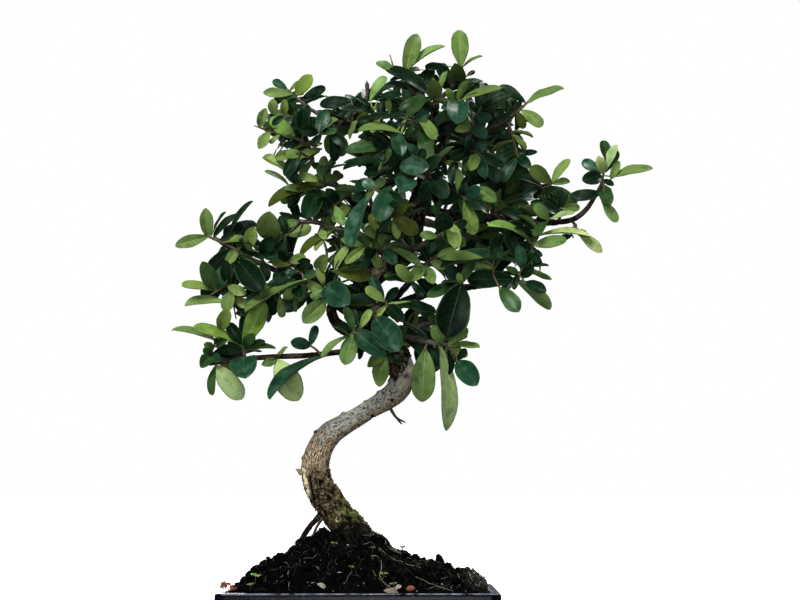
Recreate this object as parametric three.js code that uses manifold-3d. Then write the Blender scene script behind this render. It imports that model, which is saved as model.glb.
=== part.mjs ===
// A firethorn bonsai, about 0.49 m tall, in a rectangular glazed stoneware pot. Millimetres, +Z up.
// X runs to the right along the front of the pot, Y away from the viewer. The origin is the middle
// of the pot's foot, where it stands. The tree is grown by rule: the wood is a set of tapered limbs,
// and each leafy spray is one solid, its twigs and blades joined.
import * as THREE from 'three';
import { mergeVertices } from 'three/addons/utils/BufferGeometryUtils.js';
import Module from 'manifold-3d';

const wasm = await Module();
wasm.setup();

// Driving dimensions of the pot, its drain mesh and the soil
const RIM_HALF_X = 100;
const RIM_HALF_Y = 75;
const RIM_Z = 67.5;
const RIM_WIDTH = 7;
const RIM_DROP = 8;
const RIM_ROUND = 1.5;
const LIP_OVERHANG = 3;
const WALL = 6;
const FLOOR_Z = 10;
const FOOT_INSET = 8;
const CORNER_RADIUS = 9;
const DRAIN_X = 50;
const CHANNEL_WIDTH = 56;
const CHANNEL_DEPTH = 4;
const DRAIN_RADIUS = 8;
const SMALLEST_CORNER = 2.5;
const GAP = 0.35;
const MESH_SIZE = 30;
const MESH_THICK = 1.2;
const MESH_HOLE = 6;
const MESH_PITCH = 9;

// Driving dimensions of the foliage
const BLADE_THICK = 1.4;
const LARGE_BLADE = 30;
const SMALLEST_LEAF = 110;
const SUNK = 0.5;
const SPUR = 0.7;
const SEAT_SHIFT = 0.2;
const FAR_SEAT = 5.5;
const WIDTH_SHARE = 0.42;
const FORESHORTENED = 0.52;
const LONGEST_LEAF = 40;
const TWIG_SIDES = 3;
const LIMB_SIDES = 5;
const TRUNK_SIDES = 8;
const CLEAR = 0.45;
const FILL_LENGTHS = [16, 29];
const GOLDEN_ANGLE = 2.39996;

// Places of the tree are written as seen from the front: x, z, then depth, then a radius.
// A point that lies nearer or further than the trunk is moved along the line of sight to that depth.
const EYE = new THREE.Vector3(29, -1600, 144);

const TRUNK = [
  [-6.3, 82.8, 3, 11.5], [-4, 96.1, 2, 13], [-4.8, 105.6, 1, 13], [-9.9, 113.7, 0, 11.4],
  [-17.3, 121.8, -2, 10.8], [-23.9, 131.4, -4, 10.4], [-29.8, 141.7, -6, 10.6],
  [-32.8, 153.5, -7, 10.3], [-30.5, 165.2, -7, 9.7], [-23.9, 177, -5, 8.9], [-14.4, 184.4, -2, 7.9],
  [-2.6, 191, 1, 7.1], [9.2, 198.4, 4, 7.1], [20.2, 205, 6, 7.9], [29.1, 213.8, 7, 9],
  [31.3, 223.4, 7, 9.2], [26.9, 235.9, 6, 9.6], [18.8, 247.7, 5, 9], [9.2, 260.9, 4, 8.6],
  [2.6, 274.2, 2, 8.4], [2.6, 286, 0, 8.3], [9.9, 296.3, -2, 8.2], [22.4, 304.4, -3, 8.3],
  [32.8, 313.9, -2, 8.8], [36.4, 325, 0, 9.2], [38.6, 337.5, 2, 8.4], [43.1, 350, 4, 7.4],
  [47.5, 364, 5, 6.6], [50.4, 379.4, 5, 5.6], [52.6, 396.4, 4, 4.4], [54.8, 412.5, 3, 3.4],
  [56.3, 427.3, 2, 2.4],
];

const LIMBS = {
  root_left: [
    [-20, 127, -3, 3.2], [-26, 122, -4, 2.7], [-32, 117, -5, 2.3], [-38, 110, -6, 2.1],
    [-42, 103, -6, 1.9], [-45, 95, -7, 1.6],
  ],
  root_left_thin: [
    [-25, 121, -5, 1.5], [-30, 114, -8, 1], [-33, 108, -9, 0.9], [-36, 98, -10, 0.8],
  ],
  root_right: [
    [0, 114, -3, 4], [8, 107, -7, 2.8], [17, 103, -10, 2.3], [23, 96, -12, 1.9], [31, 91, -14, 1.6],
    [39, 86, -16, 1.2],
  ],
  root_front: [
    [-10, 112, -7, 4.2], [-11, 104, -13, 3.2], [-8, 95, -19, 2.4], [-6, 86, -26, 1.8],
  ],
  root_front_right: [
    [-1, 112, -6, 4], [5, 104, -14, 2.9], [11, 95, -22, 2.2], [19, 83, -32, 1.6],
  ],
  root_back: [
    [-6, 114, 7, 4.4], [-8, 105, 15, 3.2], [-11, 95, 26, 2.4], [-17, 84, 38, 1.7],
  ],
  root_back_right: [
    [0, 112, 6, 4], [10, 102, 15, 2.8], [20, 90, 26, 2], [31, 77, 36, 1.4],
  ],
  limb_left: [
    [19, 246, 4, 6.2], [7, 251, -3, 5.4], [-5, 254, -8, 4.9], [-15, 259, -10, 4.5], [-21, 268, -10, 4],
    [-20, 277, -8, 3.6], [-23, 286, -8, 3.1], [-32, 293, -8, 2.8], [-45, 297, -9, 2.5],
    [-59, 299, -10, 2.2], [-72, 304, -12, 2], [-84, 310, -14, 1.7], [-92, 315, -15, 1.5],
  ],
  limb_low_left: [
    [25, 240, 4, 3.2], [7, 242, -4, 2.6], [-11, 240, -12, 2.3], [-37, 237, -18, 2],
    [-63, 236, -22, 1.9], [-89, 234, -24, 1.8], [-110, 231, -25, 1.6],
  ],
  limb_right: [
    [42, 346, 3, 4.6], [55, 343, -2, 4], [70, 340, -6, 3.5], [90, 339, -10, 3.1], [117, 336, -12, 2.7],
    [141, 335, -12, 2.3], [156, 337, -12, 2], [166, 344, -12, 1.8], [173, 354, -12, 1.5],
    [178, 363, -12, 1.3],
  ],
  limb_low_right: [
    [11, 261, 2, 4.4], [21, 270, -10, 3.8], [35, 277, -18, 3.4], [55, 284, -24, 3],
    [78, 287, -28, 2.5], [100, 290, -30, 2.1], [114, 293, -31, 1.8],
  ],
  limb_fork: [
    [5, 268, -3, 3.6], [14, 272, -13, 3.2], [25, 279, -21, 2.9], [36, 290, -25, 2.4],
    [47, 302, -28, 1.9],
  ],
  limb_grey: [
    [4, 289, -2, 3], [12, 298, -10, 2.6], [18, 307, -15, 2.4], [17, 315, -17, 2.3],
    [13, 323, -18, 2.2], [11, 333, -18, 2], [10, 346, -16, 1.7],
  ],
  limb_up_left: [
    [42, 348, 4, 4], [28, 343, 12, 3.5], [11, 344, 15, 3.1], [-5, 350, 14, 2.8], [-17, 362, 12, 2.5],
    [-28, 371, 10, 2.2], [-35, 379, 8, 1.8],
  ],
  limb_top_left: [
    [52, 389, 4, 3.4], [38, 396, -2, 2.9], [20, 402, -6, 2.5], [1, 407, -8, 2.2], [-17, 410, -10, 1.9],
    [-31, 416, -10, 1.6],
  ],
  limb_top_right: [
    [50, 371, 5, 3.6], [59, 381, 0, 3.1], [73, 391, -4, 2.6], [91, 402, -6, 2.1], [106, 410, -8, 1.7],
  ],
  limb_right_mid: [
    [47, 358, 5, 3.2], [66, 361, 10, 2.7], [88, 366, 14, 2.3], [110, 371, 14, 1.9],
    [128, 365, 10, 1.5],
  ],
};

const SPRAYS = [
  {
    name: 'spray_top_right', tint: 'dark', fill: 1,
    twigs: [
      [[56, 426, 2, 1.9], [64, 432, -2, 1.6], [70, 439, -5, 1.3], [74, 446, -6, 1], [75, 452, -6, 0.8]],
      [[70, 440, -5, 0.8], [78, 444, -6, 0.6], [84, 448, -8, 0.4]],
    ],
    leaves: [
      [75, 452, 73, 479, 14, 'L'], [74, 451, 71, 463, 4.5, 'D'], [71, 439, 70, 454, 14.5, 'L'],
      [77, 450, 90, 460, 3, 'L'], [63, 438, 61, 454, 5, 'D'], [64, 452, 48, 451, 6, 'D'],
      [78, 445, 85, 448, 3, 'D'], [68, 435, 59, 439, 6, 'D'],
    ],
  },
  {
    name: 'spray_right_high', tint: 'dark', fill: 1,
    twigs: [
      [[79, 395, -5, 1.7], [82, 405, -9, 1.4], [86, 414, -12, 1.1], [89, 421, -14, 0.8]],
    ],
    leaves: [
      [89, 422, 112, 430, 7.5, 'D'], [89, 421, 100, 411, 4.5, 'D'], [88, 423, 104, 421, 3, 'D'],
      [83, 408, 93, 397, 11, 'B'], [82, 405, 70, 404, 6.5, 'L'], [86, 417, 81, 425, 5, 'D'],
      [84, 411, 97, 413, 9, 'B'],
    ],
  },
  {
    name: 'spray_right_top', tint: 'dark', fill: 1,
    twigs: [
      [[106, 410, -8, 1.6], [112, 415, -9, 1.3], [118, 419, -10, 1], [125, 426, -10, 0.7]],
    ],
    leaves: [
      [125, 425, 151, 435, 7.5, 'L'], [120, 418, 135, 407, 9.5, 'L'], [120, 426, 103, 437, 7.5, 'D'],
      [117, 417, 121, 405, 6.5, 'O'], [113, 414, 103, 413, 5, 'D'], [110, 413, 109, 423, 4.5, 'D'],
    ],
  },
  {
    name: 'spray_right_upper', tint: 'dark', fill: 3,
    twigs: [
      [[109, 410, -8, 1.3], [112, 401, -6, 1.1], [115, 390, -4, 0.9], [117, 382, -2, 0.7]],
    ],
    leaves: [
      [113, 401, 123, 390, 4.5, 'L'], [113, 403, 128, 399, 2, 'L'], [117, 385, 131, 388, 4.5, 'D'],
      [118, 382, 126, 376, 7.5, 'D'], [114, 393, 103, 388, 6.5, 'D'], [113, 398, 101, 402, 6.5, 'D'],
      [115, 389, 98, 382, 7.5, 'B'],
    ],
  },
  {
    name: 'spray_right_mid', tint: 'dark', fill: 3,
    twigs: [
      [[128, 365, 10, 1.4], [134, 361, 6, 1.2], [139, 362, 2, 1], [142, 365, 0, 0.7]],
    ],
    leaves: [
      [141, 364, 125, 376, 12, 'L'], [142, 365, 155, 382, 6.5, 'L'], [142, 363, 155, 366, 5, 'L'],
      [136, 357, 112, 369, 6.5, 'B'], [139, 361, 148, 355, 6, 'D'], [132, 360, 120, 355, 6.5, 'B'],
    ],
  },
  {
    name: 'spray_right_tip', tint: 'dark', fill: 0,
    twigs: [
      [[178, 363, -12, 1.2], [179, 368, -13, 0.9], [180, 373, -13, 0.7]],
      [[179, 367, -13, 0.9], [180, 360, -18, 0.8], [178, 354, -18, 0.7], [179, 349, -17, 0.6]],
    ],
    leaves: [
      [181, 374, 179, 396, 6, 'D'], [181, 374, 190, 393, 5, 'Y'], [183, 372, 190, 389, 6, 'L'],
      [179, 373, 176, 384, 6.5, 'Y'], [178, 374, 164, 381, 6, 'D'], [176, 367, 166, 370, 8, 'D'],
      [182, 368, 216, 376, 6, 'L'], [181, 367, 187, 363, 4.5, 'D'], [178, 362, 184, 347, 9.5, 'D'],
      [179, 349, 190, 336, 6, 'L'], [174, 359, 155, 354, 6, 'D'],
    ],
  },
  {
    name: 'spray_right_under', tint: 'dark', fill: 1,
    twigs: [
      [[156, 337, -12, 1.2], [159, 332, -14, 0.9], [161, 326, -16, 0.6]],
      [[159, 333, -14, 0.9], [155, 329, -18, 0.7], [157, 324, -19, 0.5]],
    ],
    leaves: [
      [162, 326, 178, 313, 8, 'L'], [156, 324, 147, 323, 4.5, 'D'], [160, 330, 167, 327, 3, 'D'],
    ],
  },
  {
    name: 'spray_right_fork', tint: 'dark', fill: 1,
    twigs: [
      [[136, 335, -12, 1.5], [132, 328, -16, 1.3], [128, 321, -19, 1.1], [126, 314, -20, 0.9]],
    ],
    leaves: [
      [125, 320, 96, 335, 6, 'Y'], [133, 324, 169, 326, 6, 'Y'], [131, 317, 152, 323, 9, 'L'],
      [128, 315, 117, 320, 6, 'D'], [127, 314, 119, 299, 9.5, 'D'], [128, 314, 134, 310, 3.5, 'D'],
    ],
  },
  {
    name: 'spray_right_branch_up', tint: 'dark', fill: 3,
    twigs: [
      [[147, 336, -12, 1.3], [147, 342, -14, 1], [148, 348, -16, 0.7]],
      [[147, 341, -14, 0.9], [142, 338, -19, 0.8], [138, 337, -22, 0.6]],
    ],
    leaves: [
      [138, 336, 129, 348, 9, 'L'], [140, 337, 158, 343, 4.5, 'Y'], [148, 349, 162, 346, 6.5, 'L'],
      [147, 345, 135, 352, 7.5, 'D'], [148, 348, 151, 358, 6.5, 'D'],
    ],
  },
  {
    name: 'spray_right_low_tip', tint: 'dark', fill: 1,
    twigs: [
      [[114, 293, -31, 1.6], [118, 298, -33, 1.2], [120, 302, -34, 0.8]],
      [[117, 297, -33, 0.9], [120, 293, -37, 0.7], [121, 290, -38, 0.6]],
    ],
    leaves: [
      [115, 307, 59, 301, 9.5, 'B'], [109, 295, 79, 293, 14.5, 'D'], [111, 290, 140, 271, 9, 'U'],
      [122, 291, 137, 284, 9, 'D'], [121, 301, 139, 303, 2, 'D'], [120, 299, 141, 293, 3.5, 'U'],
      [117, 301, 131, 315, 6, 'D'], [114, 302, 108, 328, 9, 'D'], [119, 295, 128, 302, 7.5, 'D'],
      [120, 304, 117, 318, 9, 'B'],
    ],
  },
  {
    name: 'spray_right_low_drop', tint: 'light', fill: 1,
    twigs: [
      [[98, 290, -30, 1.2], [98, 296, -36, 0.9], [98, 307, -40, 0.6]],
      [[98, 296, -36, 0.8], [101, 290, -40, 0.7], [103, 286, -40, 0.6]],
    ],
    leaves: [
      [103, 287, 117, 269, 13, 'U'], [100, 307, 60, 310, 8, 'L'], [97, 301, 78, 302, 6, 'U'],
      [98, 305, 104, 318, 6, 'D'],
    ],
  },
  {
    name: 'spray_big_leaf', tint: 'dark', fill: 0,
    twigs: [
      [[76, 287, -28, 1.4], [75, 289, -38, 1.2], [74, 290, -46, 0.9]],
    ],
    leaves: [
      [73, 288, 64, 251, 26, 'D'], [75, 290, 63, 279, 6.5, 'L'], [75, 290, 72, 298, 5, 'L'],
      [74, 290, 84, 307, 7.5, 'D'],
    ],
  },
  {
    name: 'spray_front_low_mid', tint: 'dark', fill: 1,
    twigs: [
      [[17, 245, 0, 1.6], [16, 240, -14, 1.3], [17, 236, -24, 0.9]],
    ],
    leaves: [
      [18, 234, 14, 214, 13, 'U'], [14, 236, 6, 229, 9, 'L'], [19, 237, 31, 233, 6.5, 'D'],
    ],
  },
  {
    name: 'spray_low_left_leaf', tint: 'dark', fill: 0,
    twigs: [
      [[-28, 238, -16, 1.2], [-28, 237, -23, 1], [-25, 237, -25, 0.8]],
      [[-28, 237, -23, 0.9], [-33, 242, -24, 0.8], [-38, 245, -24, 0.6]],
    ],
    leaves: [
      [-22, 239, -67, 207, 9.5, 'B'], [-38, 245, -50, 247, 9, 'B'], [-37, 246, -32, 259, 6.5, 'B'],
    ],
  },
  {
    name: 'spray_low_left_round', tint: 'light', fill: 1,
    twigs: [
      [[-61, 236, -22, 1.1], [-61, 233, -23, 0.9]],
    ],
    leaves: [
      [-60, 232, -45, 204, 20.5, 'L'], [-62, 232, -72, 230, 6.5, 'L'], [-61, 234, -53, 243, 3, 'L'],
    ],
  },
  {
    name: 'spray_low_left_rosette', tint: 'dark', fill: 0,
    twigs: [
      [[-85, 234, -24, 1.5], [-85, 240, -26, 1.2], [-86, 245, -28, 0.8]],
    ],
    leaves: [
      [-84, 246, -70, 276, 15.5, 'Y'], [-86, 245, -123, 257, 7.5, 'Y'], [-86, 245, -97, 261, 9.5, 'D'],
      [-86, 240, -105, 242, 7.5, 'D'], [-84, 240, -70, 248, 4.5, 'D'], [-84, 240, -62, 243, 2, 'D'],
      [-84, 236, -84, 221, 22, 'B'], [-84, 247, -78, 252, 7.5, 'D'],
    ],
  },
  {
    name: 'spray_low_left_tip', tint: 'dark', fill: 0,
    twigs: [
      [[-108, 232, -25, 1.2], [-109, 239, -26, 1], [-105, 249, -27, 0.8], [-102, 257, -28, 0.6]],
      [[-109, 238, -26, 0.9], [-106, 234, -31, 0.8], [-106, 228, -31, 0.6]],
    ],
    leaves: [
      [-106, 229, -86, 205, 16, 'L'], [-107, 227, -109, 208, 6.5, 'D'],
      [-102, 257, -97, 270, 10.5, 'L'], [-106, 248, -138, 257, 6, 'L'],
      [-109, 237, -116, 229, 9.5, 'D'], [-107, 242, -114, 245, 6, 'L'],
      [-106, 245, -98, 248, 7.5, 'D'], [-109, 237, -102, 233, 7.5, 'B'],
      [-111, 236, -114, 242, 6, 'D'],
    ],
  },
  {
    name: 'spray_left_tip', tint: 'dark', fill: 0,
    twigs: [
      [[-92, 315, -15, 1.3], [-99, 319, -15, 1.1], [-108, 323, -15, 0.9], [-115, 326, -15, 0.5]],
    ],
    leaves: [
      [-113, 321, -136, 318, 9.5, 'L'], [-110, 328, -114, 346, 10.5, 'L'],
      [-107, 326, -91, 342, 6, 'D'], [-108, 329, -99, 343, 2, 'D'], [-97, 325, -79, 351, 4.5, 'D'],
      [-102, 321, -84, 323, 6, 'L'], [-103, 323, -92, 329, 4.5, 'D'],
    ],
  },
  {
    name: 'spray_left_upper', tint: 'light', fill: 1,
    twigs: [
      [[-72, 304, -12, 1.5], [-72, 312, -16, 1.2], [-70, 320, -20, 0.9]],
    ],
    leaves: [
      [-67, 322, -67, 343, 19, 'L'], [-83, 315, -78, 332, 11, 'L'], [-71, 317, -59, 327, 9, 'D'],
      [-72, 314, -61, 308, 9, 'L'], [-70, 320, -89, 323, 6.5, 'D'], [-72, 311, -65, 324, 10.5, 'L'],
    ],
  },
  {
    name: 'spray_left_loop', tint: 'light', fill: 2,
    twigs: [
      [[-20, 276, -9, 1.5], [-25, 283, -16, 1.2], [-27, 290, -22, 0.9]],
      [[-25, 282, -15, 0.9], [-26, 279, -18, 0.8], [-25, 276, -18, 0.6]],
    ],
    leaves: [
      [-26, 293, -8, 275, 20.5, 'B'], [-24, 277, -41, 262, 14.5, 'L'], [-31, 299, -25, 311, 10.5, 'L'],
      [-25, 282, -39, 290, 8, 'L'], [-27, 286, -36, 279, 6.5, 'U'], [-28, 292, -31, 304, 6.5, 'L'],
    ],
  },
  {
    name: 'spray_centre_arch', tint: 'dark', fill: 1,
    twigs: [
      [[3, 287, -2, 1.8], [-6, 293, -16, 1.5], [-15, 298, -24, 1.1], [-21, 299, -28, 0.8]],
    ],
    leaves: [
      [-21, 299, 9, 296, 13, 'O'], [-17, 298, 8, 307, 9.5, 'D'], [-11, 295, 14, 280, 6, 'D'],
      [-20, 301, -8, 318, 6.5, 'L'], [-22, 299, -14, 315, 6, 'D'], [-8, 293, 4, 311, 9, 'L'],
    ],
  },
  {
    name: 'spray_centre_grey', tint: 'light', fill: 2,
    twigs: [
      [[17, 311, -16, 1.4], [10, 315, -24, 1.1], [1, 318, -30, 0.8]],
      [[11, 315, -24, 1], [16, 315, -30, 0.8], [20, 318, -31, 0.6]],
    ],
    leaves: [
      [19, 318, 44, 303, 6.5, 'L'], [1, 318, -11, 305, 7.5, 'L'], [8, 315, 6, 307, 9.5, 'D'],
      [20, 315, 26, 304, 9, 'B'], [1, 320, -14, 323, 6, 'L'], [10, 315, 14, 301, 7.5, 'L'],
    ],
  },
  {
    name: 'spray_front_fork_tip', tint: 'light', fill: 1,
    twigs: [
      [[47, 302, -28, 1.8], [51, 307, -34, 1.4], [56, 310, -38, 1]],
      [[50, 305, -32, 1.1], [42, 296, -37, 0.9], [35, 290, -37, 0.7]],
    ],
    leaves: [
      [34, 290, 27, 303, 9.5, 'L'], [35, 290, 47, 303, 9.5, 'L'], [49, 306, 64, 331, 13, 'D'],
      [49, 302, 54, 290, 9, 'L'], [56, 310, 70, 315, 6.5, 'L'], [51, 307, 63, 301, 6.5, 'L'],
      [38, 289, 47, 280, 6, 'D'],
    ],
  },
  {
    name: 'spray_front_high_right', tint: 'dark', fill: 3,
    twigs: [
      [[66, 361, 9, 1.7], [70, 358, -12, 1.4], [75, 355, -28, 1.1], [78, 352, -38, 0.8]],
    ],
    leaves: [
      [76, 348, 84, 326, 12, 'O'], [85, 361, 100, 351, 10.5, 'O'], [75, 355, 78, 364, 7.5, 'B'],
      [78, 351, 92, 346, 10.5, 'D'], [78, 352, 88, 361, 9, 'B'], [72, 357, 61, 349, 10.5, 'D'],
      [79, 351, 91, 336, 7.5, 'D'],
    ],
  },
  {
    name: 'spray_front_top_left', tint: 'dark', fill: 1,
    twigs: [
      [[20, 402, -6, 1.6], [17, 408, -20, 1.3], [13, 414, -32, 1], [8, 420, -40, 0.7]],
    ],
    leaves: [
      [7, 426, 19, 444, 7.5, 'L'], [13, 427, 31, 431, 6, 'D'], [3, 418, -13, 420, 4.5, 'D'],
      [11, 414, -2, 410, 5, 'D'], [22, 417, 20, 427, 5, 'L'], [17, 408, 29, 405, 6.5, 'D'],
      [8, 420, -3, 429, 3.5, 'D'], [10, 417, 1, 421, 6, 'D'],
    ],
  },
  {
    name: 'spray_crown_left', tint: 'dark', fill: 1,
    twigs: [
      [[-6, 408, -9, 1.5], [-6, 415, -12, 1.2], [-6, 423, -14, 0.9]],
      [[-6, 415, -12, 1.2], [0, 420, -16, 1.1], [5, 427, -18, 1], [5, 438, -20, 1.6]],
    ],
    leaves: [
      [-6, 426, -30, 423, 9.5, 'D'], [-6, 421, -13, 413, 4.5, 'D'], [-8, 397, -2, 411, 4.5, 'L'],
      [-6, 423, 0, 433, 2, 'D'], [4, 423, -3, 417, 6, 'D'], [-6, 417, -18, 417, 4.5, 'D'],
      [4, 426, 13, 432, 6, 'D'],
    ],
  },
  {
    name: 'spray_crown_left_low', tint: 'dark', fill: 2,
    twigs: [
      [[-15, 410, -10, 1.4], [-18, 404, -12, 1.2], [-25, 401, -15, 0.9], [-34, 402, -18, 0.6]],
    ],
    leaves: [
      [-36, 402, -25, 419, 10.5, 'B'], [-35, 402, -17, 413, 6.5, 'L'], [-27, 399, -17, 404, 5, 'Y'],
      [-31, 401, -45, 404, 9, 'D'], [-22, 402, -11, 393, 8, 'D'], [-28, 401, -36, 392, 6, 'D'],
    ],
  },
  {
    name: 'spray_left_sweep', tint: 'dark', fill: 2,
    twigs: [
      [[-17, 362, 12, 1.5], [-25, 364, 2, 1.2], [-31, 367, -4, 0.9]],
      [[-24, 363, 4, 0.8], [-31, 360, 8, 0.7], [-43, 358, 10, 0.5]],
    ],
    leaves: [
      [-22, 364, -68, 348, 10.5, 'O'], [-52, 362, -70, 374, 3.5, 'L'], [-31, 367, -45, 370, 6.5, 'L'],
      [-44, 355, -53, 346, 6.5, 'D'], [-31, 360, -39, 339, 16, 'D'], [-40, 361, -56, 360, 6, 'L'],
    ],
  },
  {
    name: 'spray_left_under', tint: 'dark', fill: 3,
    twigs: [
      [[-11, 355, 13, 1.4], [-17, 349, 6, 1.1], [-22, 346, 0, 0.8]],
    ],
    leaves: [
      [-14, 351, -28, 340, 7.5, 'D'], [-22, 346, -33, 352, 9, 'D'], [-8, 348, -20, 336, 9.5, 'L'],
      [-17, 351, -25, 360, 8, 'D'], [-18, 346, -12, 333, 8, 'L'],
    ],
  },
  {
    name: 'spray_mid_left', tint: 'dark', fill: 3,
    twigs: [
      [[10, 343, -14, 1.6], [7, 355, -20, 1.3], [8, 367, -26, 1.1], [16, 376, -30, 0.8]],
    ],
    leaves: [
      [17, 381, -13, 376, 8, 'B'], [16, 376, 3, 371, 8, 'D'], [8, 367, -3, 360, 9, 'B'],
      [20, 382, 22, 390, 4.5, 'L'], [17, 376, 29, 382, 6.5, 'D'], [8, 360, 19, 367, 6.5, 'L'],
      [7, 357, -6, 352, 7.5, 'D'],
    ],
  },
  {
    name: 'spray_mid_inner', tint: 'dark', fill: 4,
    twigs: [
      [[28, 399, -4, 1.5], [23, 392, -16, 1.2], [17, 388, -26, 0.9]],
    ],
    leaves: [
      [17, 388, -11, 390, 9, 'D'], [19, 389, 8, 398, 8, 'D'], [23, 390, 38, 383, 9, 'D'],
      [22, 390, 29, 401, 6.5, 'D'], [17, 386, 10, 377, 7.5, 'B'],
    ],
  },
  {
    name: 'spray_mid_right', tint: 'dark', fill: 3,
    twigs: [
      [[74, 391, -4, 1.6], [82, 389, -18, 1.3], [89, 385, -30, 1]],
    ],
    leaves: [
      [81, 390, 79, 398, 10.5, 'B'], [89, 385, 106, 377, 8, 'D'], [84, 388, 94, 393, 7.5, 'B'],
      [88, 385, 81, 373, 9, 'L'], [82, 389, 67, 382, 9, 'O'], [89, 383, 92, 368, 9, 'B'],
    ],
  },
  {
    name: 'spray_under_right', tint: 'dark', fill: 1,
    twigs: [
      [[17, 252, 0, 3.2], [29, 251, -18, 2.5], [44, 248, -30, 2.1], [57, 245, -37, 1.6]],
      [[57, 245, -37, 1.6], [63, 245, -40, 1.2], [66, 243, -41, 0.9]],
      [[50, 247, -33, 1.1], [47, 240, -36, 0.8]],
      [[64, 243, -40, 1], [70, 238, -43, 0.8], [72, 230, -44, 0.6]],
    ],
    leaves: [
      [32, 251, 61, 229, 12.5, 'D'], [59, 240, 64, 182, 12.5, 'L'], [47, 240, 42, 204, 19, 'L'],
      [64, 244, 73, 226, 4.5, 'D'], [66, 242, 79, 237, 6.5, 'L'], [66, 243, 88, 243, 4.5, 'L'],
      [64, 245, 79, 257, 9, 'L'], [61, 246, 53, 259, 9.5, 'L'], [63, 242, 66, 223, 5, 'D'],
      [73, 229, 86, 215, 16, 'B'], [72, 233, 78, 242, 5, 'D'],
    ],
  },
  {
    name: 'spray_front_low', tint: 'dark', fill: 1,
    twigs: [
      [[8, 265, -4, 3.6], [14, 274, -22, 2.8], [8, 267, -38, 2.2], [0, 257, -45, 1.7]],
      [[0, 257, -45, 1.6], [-4, 254, -48, 1.3], [-8, 251, -50, 0.9]],
      [[8, 266, -38, 1.2], [13, 264, -44, 0.9]],
      [[14, 274, -22, 1.7], [19, 276, -30, 1.4], [20, 273, -36, 1.1]],
    ],
    leaves: [
      [12, 263, 29, 240, 20, 'B'], [-1, 251, 18, 237, 15.5, 'B'], [-3, 251, -11, 230, 13, 'L'],
      [-9, 252, -28, 237, 4.5, 'L'], [1, 257, 8, 271, 6, 'L'], [-5, 255, -11, 273, 6.5, 'Y'],
      [-2, 257, -6, 271, 4.5, 'D'], [19, 277, -10, 276, 6.5, 'D'], [20, 273, 56, 268, 6, 'D'],
      [22, 274, 44, 270, 5, 'L'], [17, 277, 8, 295, 8, 'B'], [21, 271, 32, 262, 10.5, 'D'],
      [19, 279, 4, 287, 8, 'L'], [20, 274, 11, 265, 5, 'L'], [18, 276, 28, 287, 6.5, 'D'],
    ],
  },
  {
    name: 'spray_front_left', tint: 'dark', fill: 1,
    twigs: [
      [[36, 329, -5, 3.2], [31, 335, -26, 2.6], [25, 342, -44, 2.1], [20, 351, -58, 1.5]],
      [[20, 351, -58, 1.4], [16, 357, -62, 1.1], [8, 361, -64, 0.8]],
      [[29, 336, -30, 1.6], [25, 339, -38, 1.3], [22, 340, -44, 0.9]],
    ],
    leaves: [
      [7, 360, -8, 318, 11, 'B'], [22, 362, 14, 337, 16, 'B'], [10, 361, 4, 352, 4.5, 'O'],
      [19, 355, 32, 349, 12, 'D'], [14, 360, 1, 367, 7.5, 'B'], [20, 342, 43, 327, 12.5, 'O'],
      [11, 329, 8, 342, 6, 'O'], [23, 340, 35, 352, 10.5, 'O'], [22, 337, 14, 327, 6.5, 'D'],
      [23, 336, 28, 323, 6.5, 'L'],
    ],
  },
  {
    name: 'spray_front_mid', tint: 'dark', fill: 2,
    twigs: [
      [[31, 311, -6, 3.4], [36, 315, -26, 2.7], [45, 318, -44, 2.2], [53, 323, -56, 1.6]],
      [[53, 323, -56, 1.5], [59, 326, -60, 1.2], [64, 330, -62, 0.8]],
    ],
    leaves: [
      [66, 335, 72, 315, 11, 'L'], [60, 326, 78, 318, 10.5, 'L'], [63, 329, 59, 343, 14.5, 'D'],
      [57, 324, 44, 326, 6.5, 'L'], [64, 330, 79, 336, 6.5, 'D'], [54, 323, 51, 312, 6.5, 'D'],
    ],
  },
  {
    name: 'spray_front_high', tint: 'dark', fill: 1,
    twigs: [
      [[47, 362, 0, 3], [51, 366, -22, 2.4], [51, 369, -40, 1.9], [48, 373, -54, 1.4]],
      [[48, 373, -54, 1.4], [42, 374, -60, 1.1], [35, 374, -64, 0.8]],
      [[50, 371, -46, 0.9], [56, 364, -52, 0.7]],
    ],
    leaves: [
      [29, 377, 50, 376, 14.5, 'B'], [36, 368, 31, 358, 16, 'B'], [53, 368, 64, 354, 13, 'B'],
      [47, 376, 59, 385, 9, 'D'], [42, 376, 47, 390, 7.5, 'D'], [38, 371, 26, 364, 8, 'D'],
      [56, 364, 44, 351, 10.5, 'D'],
    ],
  },
  {
    name: 'spray_front_top', tint: 'dark', fill: 1,
    twigs: [
      [[53, 396, 2, 2.7], [51, 402, -16, 2.2], [47, 405, -32, 1.8], [44, 408, -46, 1.3]],
      [[44, 408, -46, 1.3], [38, 411, -52, 1], [31, 413, -56, 0.7]],
    ],
    leaves: [
      [42, 416, 56, 397, 9, 'L'], [29, 414, 1, 413, 6, 'L'], [31, 401, -1, 405, 7.5, 'L'],
      [32, 413, 47, 430, 9, 'L'], [26, 402, 31, 385, 11, 'B'], [36, 410, 26, 408, 5, 'D'],
      [39, 410, 51, 417, 6.5, 'B'],
    ],
  },
  {
    name: 'spray_crown_right', tint: 'dark', fill: 2,
    twigs: [
      [[55, 411, 2, 2.5], [63, 415, -14, 2], [70, 421, -28, 1.6], [73, 426, -38, 1.2]],
      [[73, 426, -38, 1.2], [76, 426, -42, 0.9]],
      [[72, 423, -34, 0.9], [67, 427, -36, 0.6]],
    ],
    leaves: [
      [75, 427, 105, 436, 7.5, 'L'], [71, 427, 71, 410, 17.5, 'B'], [67, 427, 64, 435, 6, 'Y'],
      [70, 423, 60, 420, 6, 'B'],
    ],
  },
  {
    name: 'spray_left_mid', tint: 'light', fill: 1,
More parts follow.
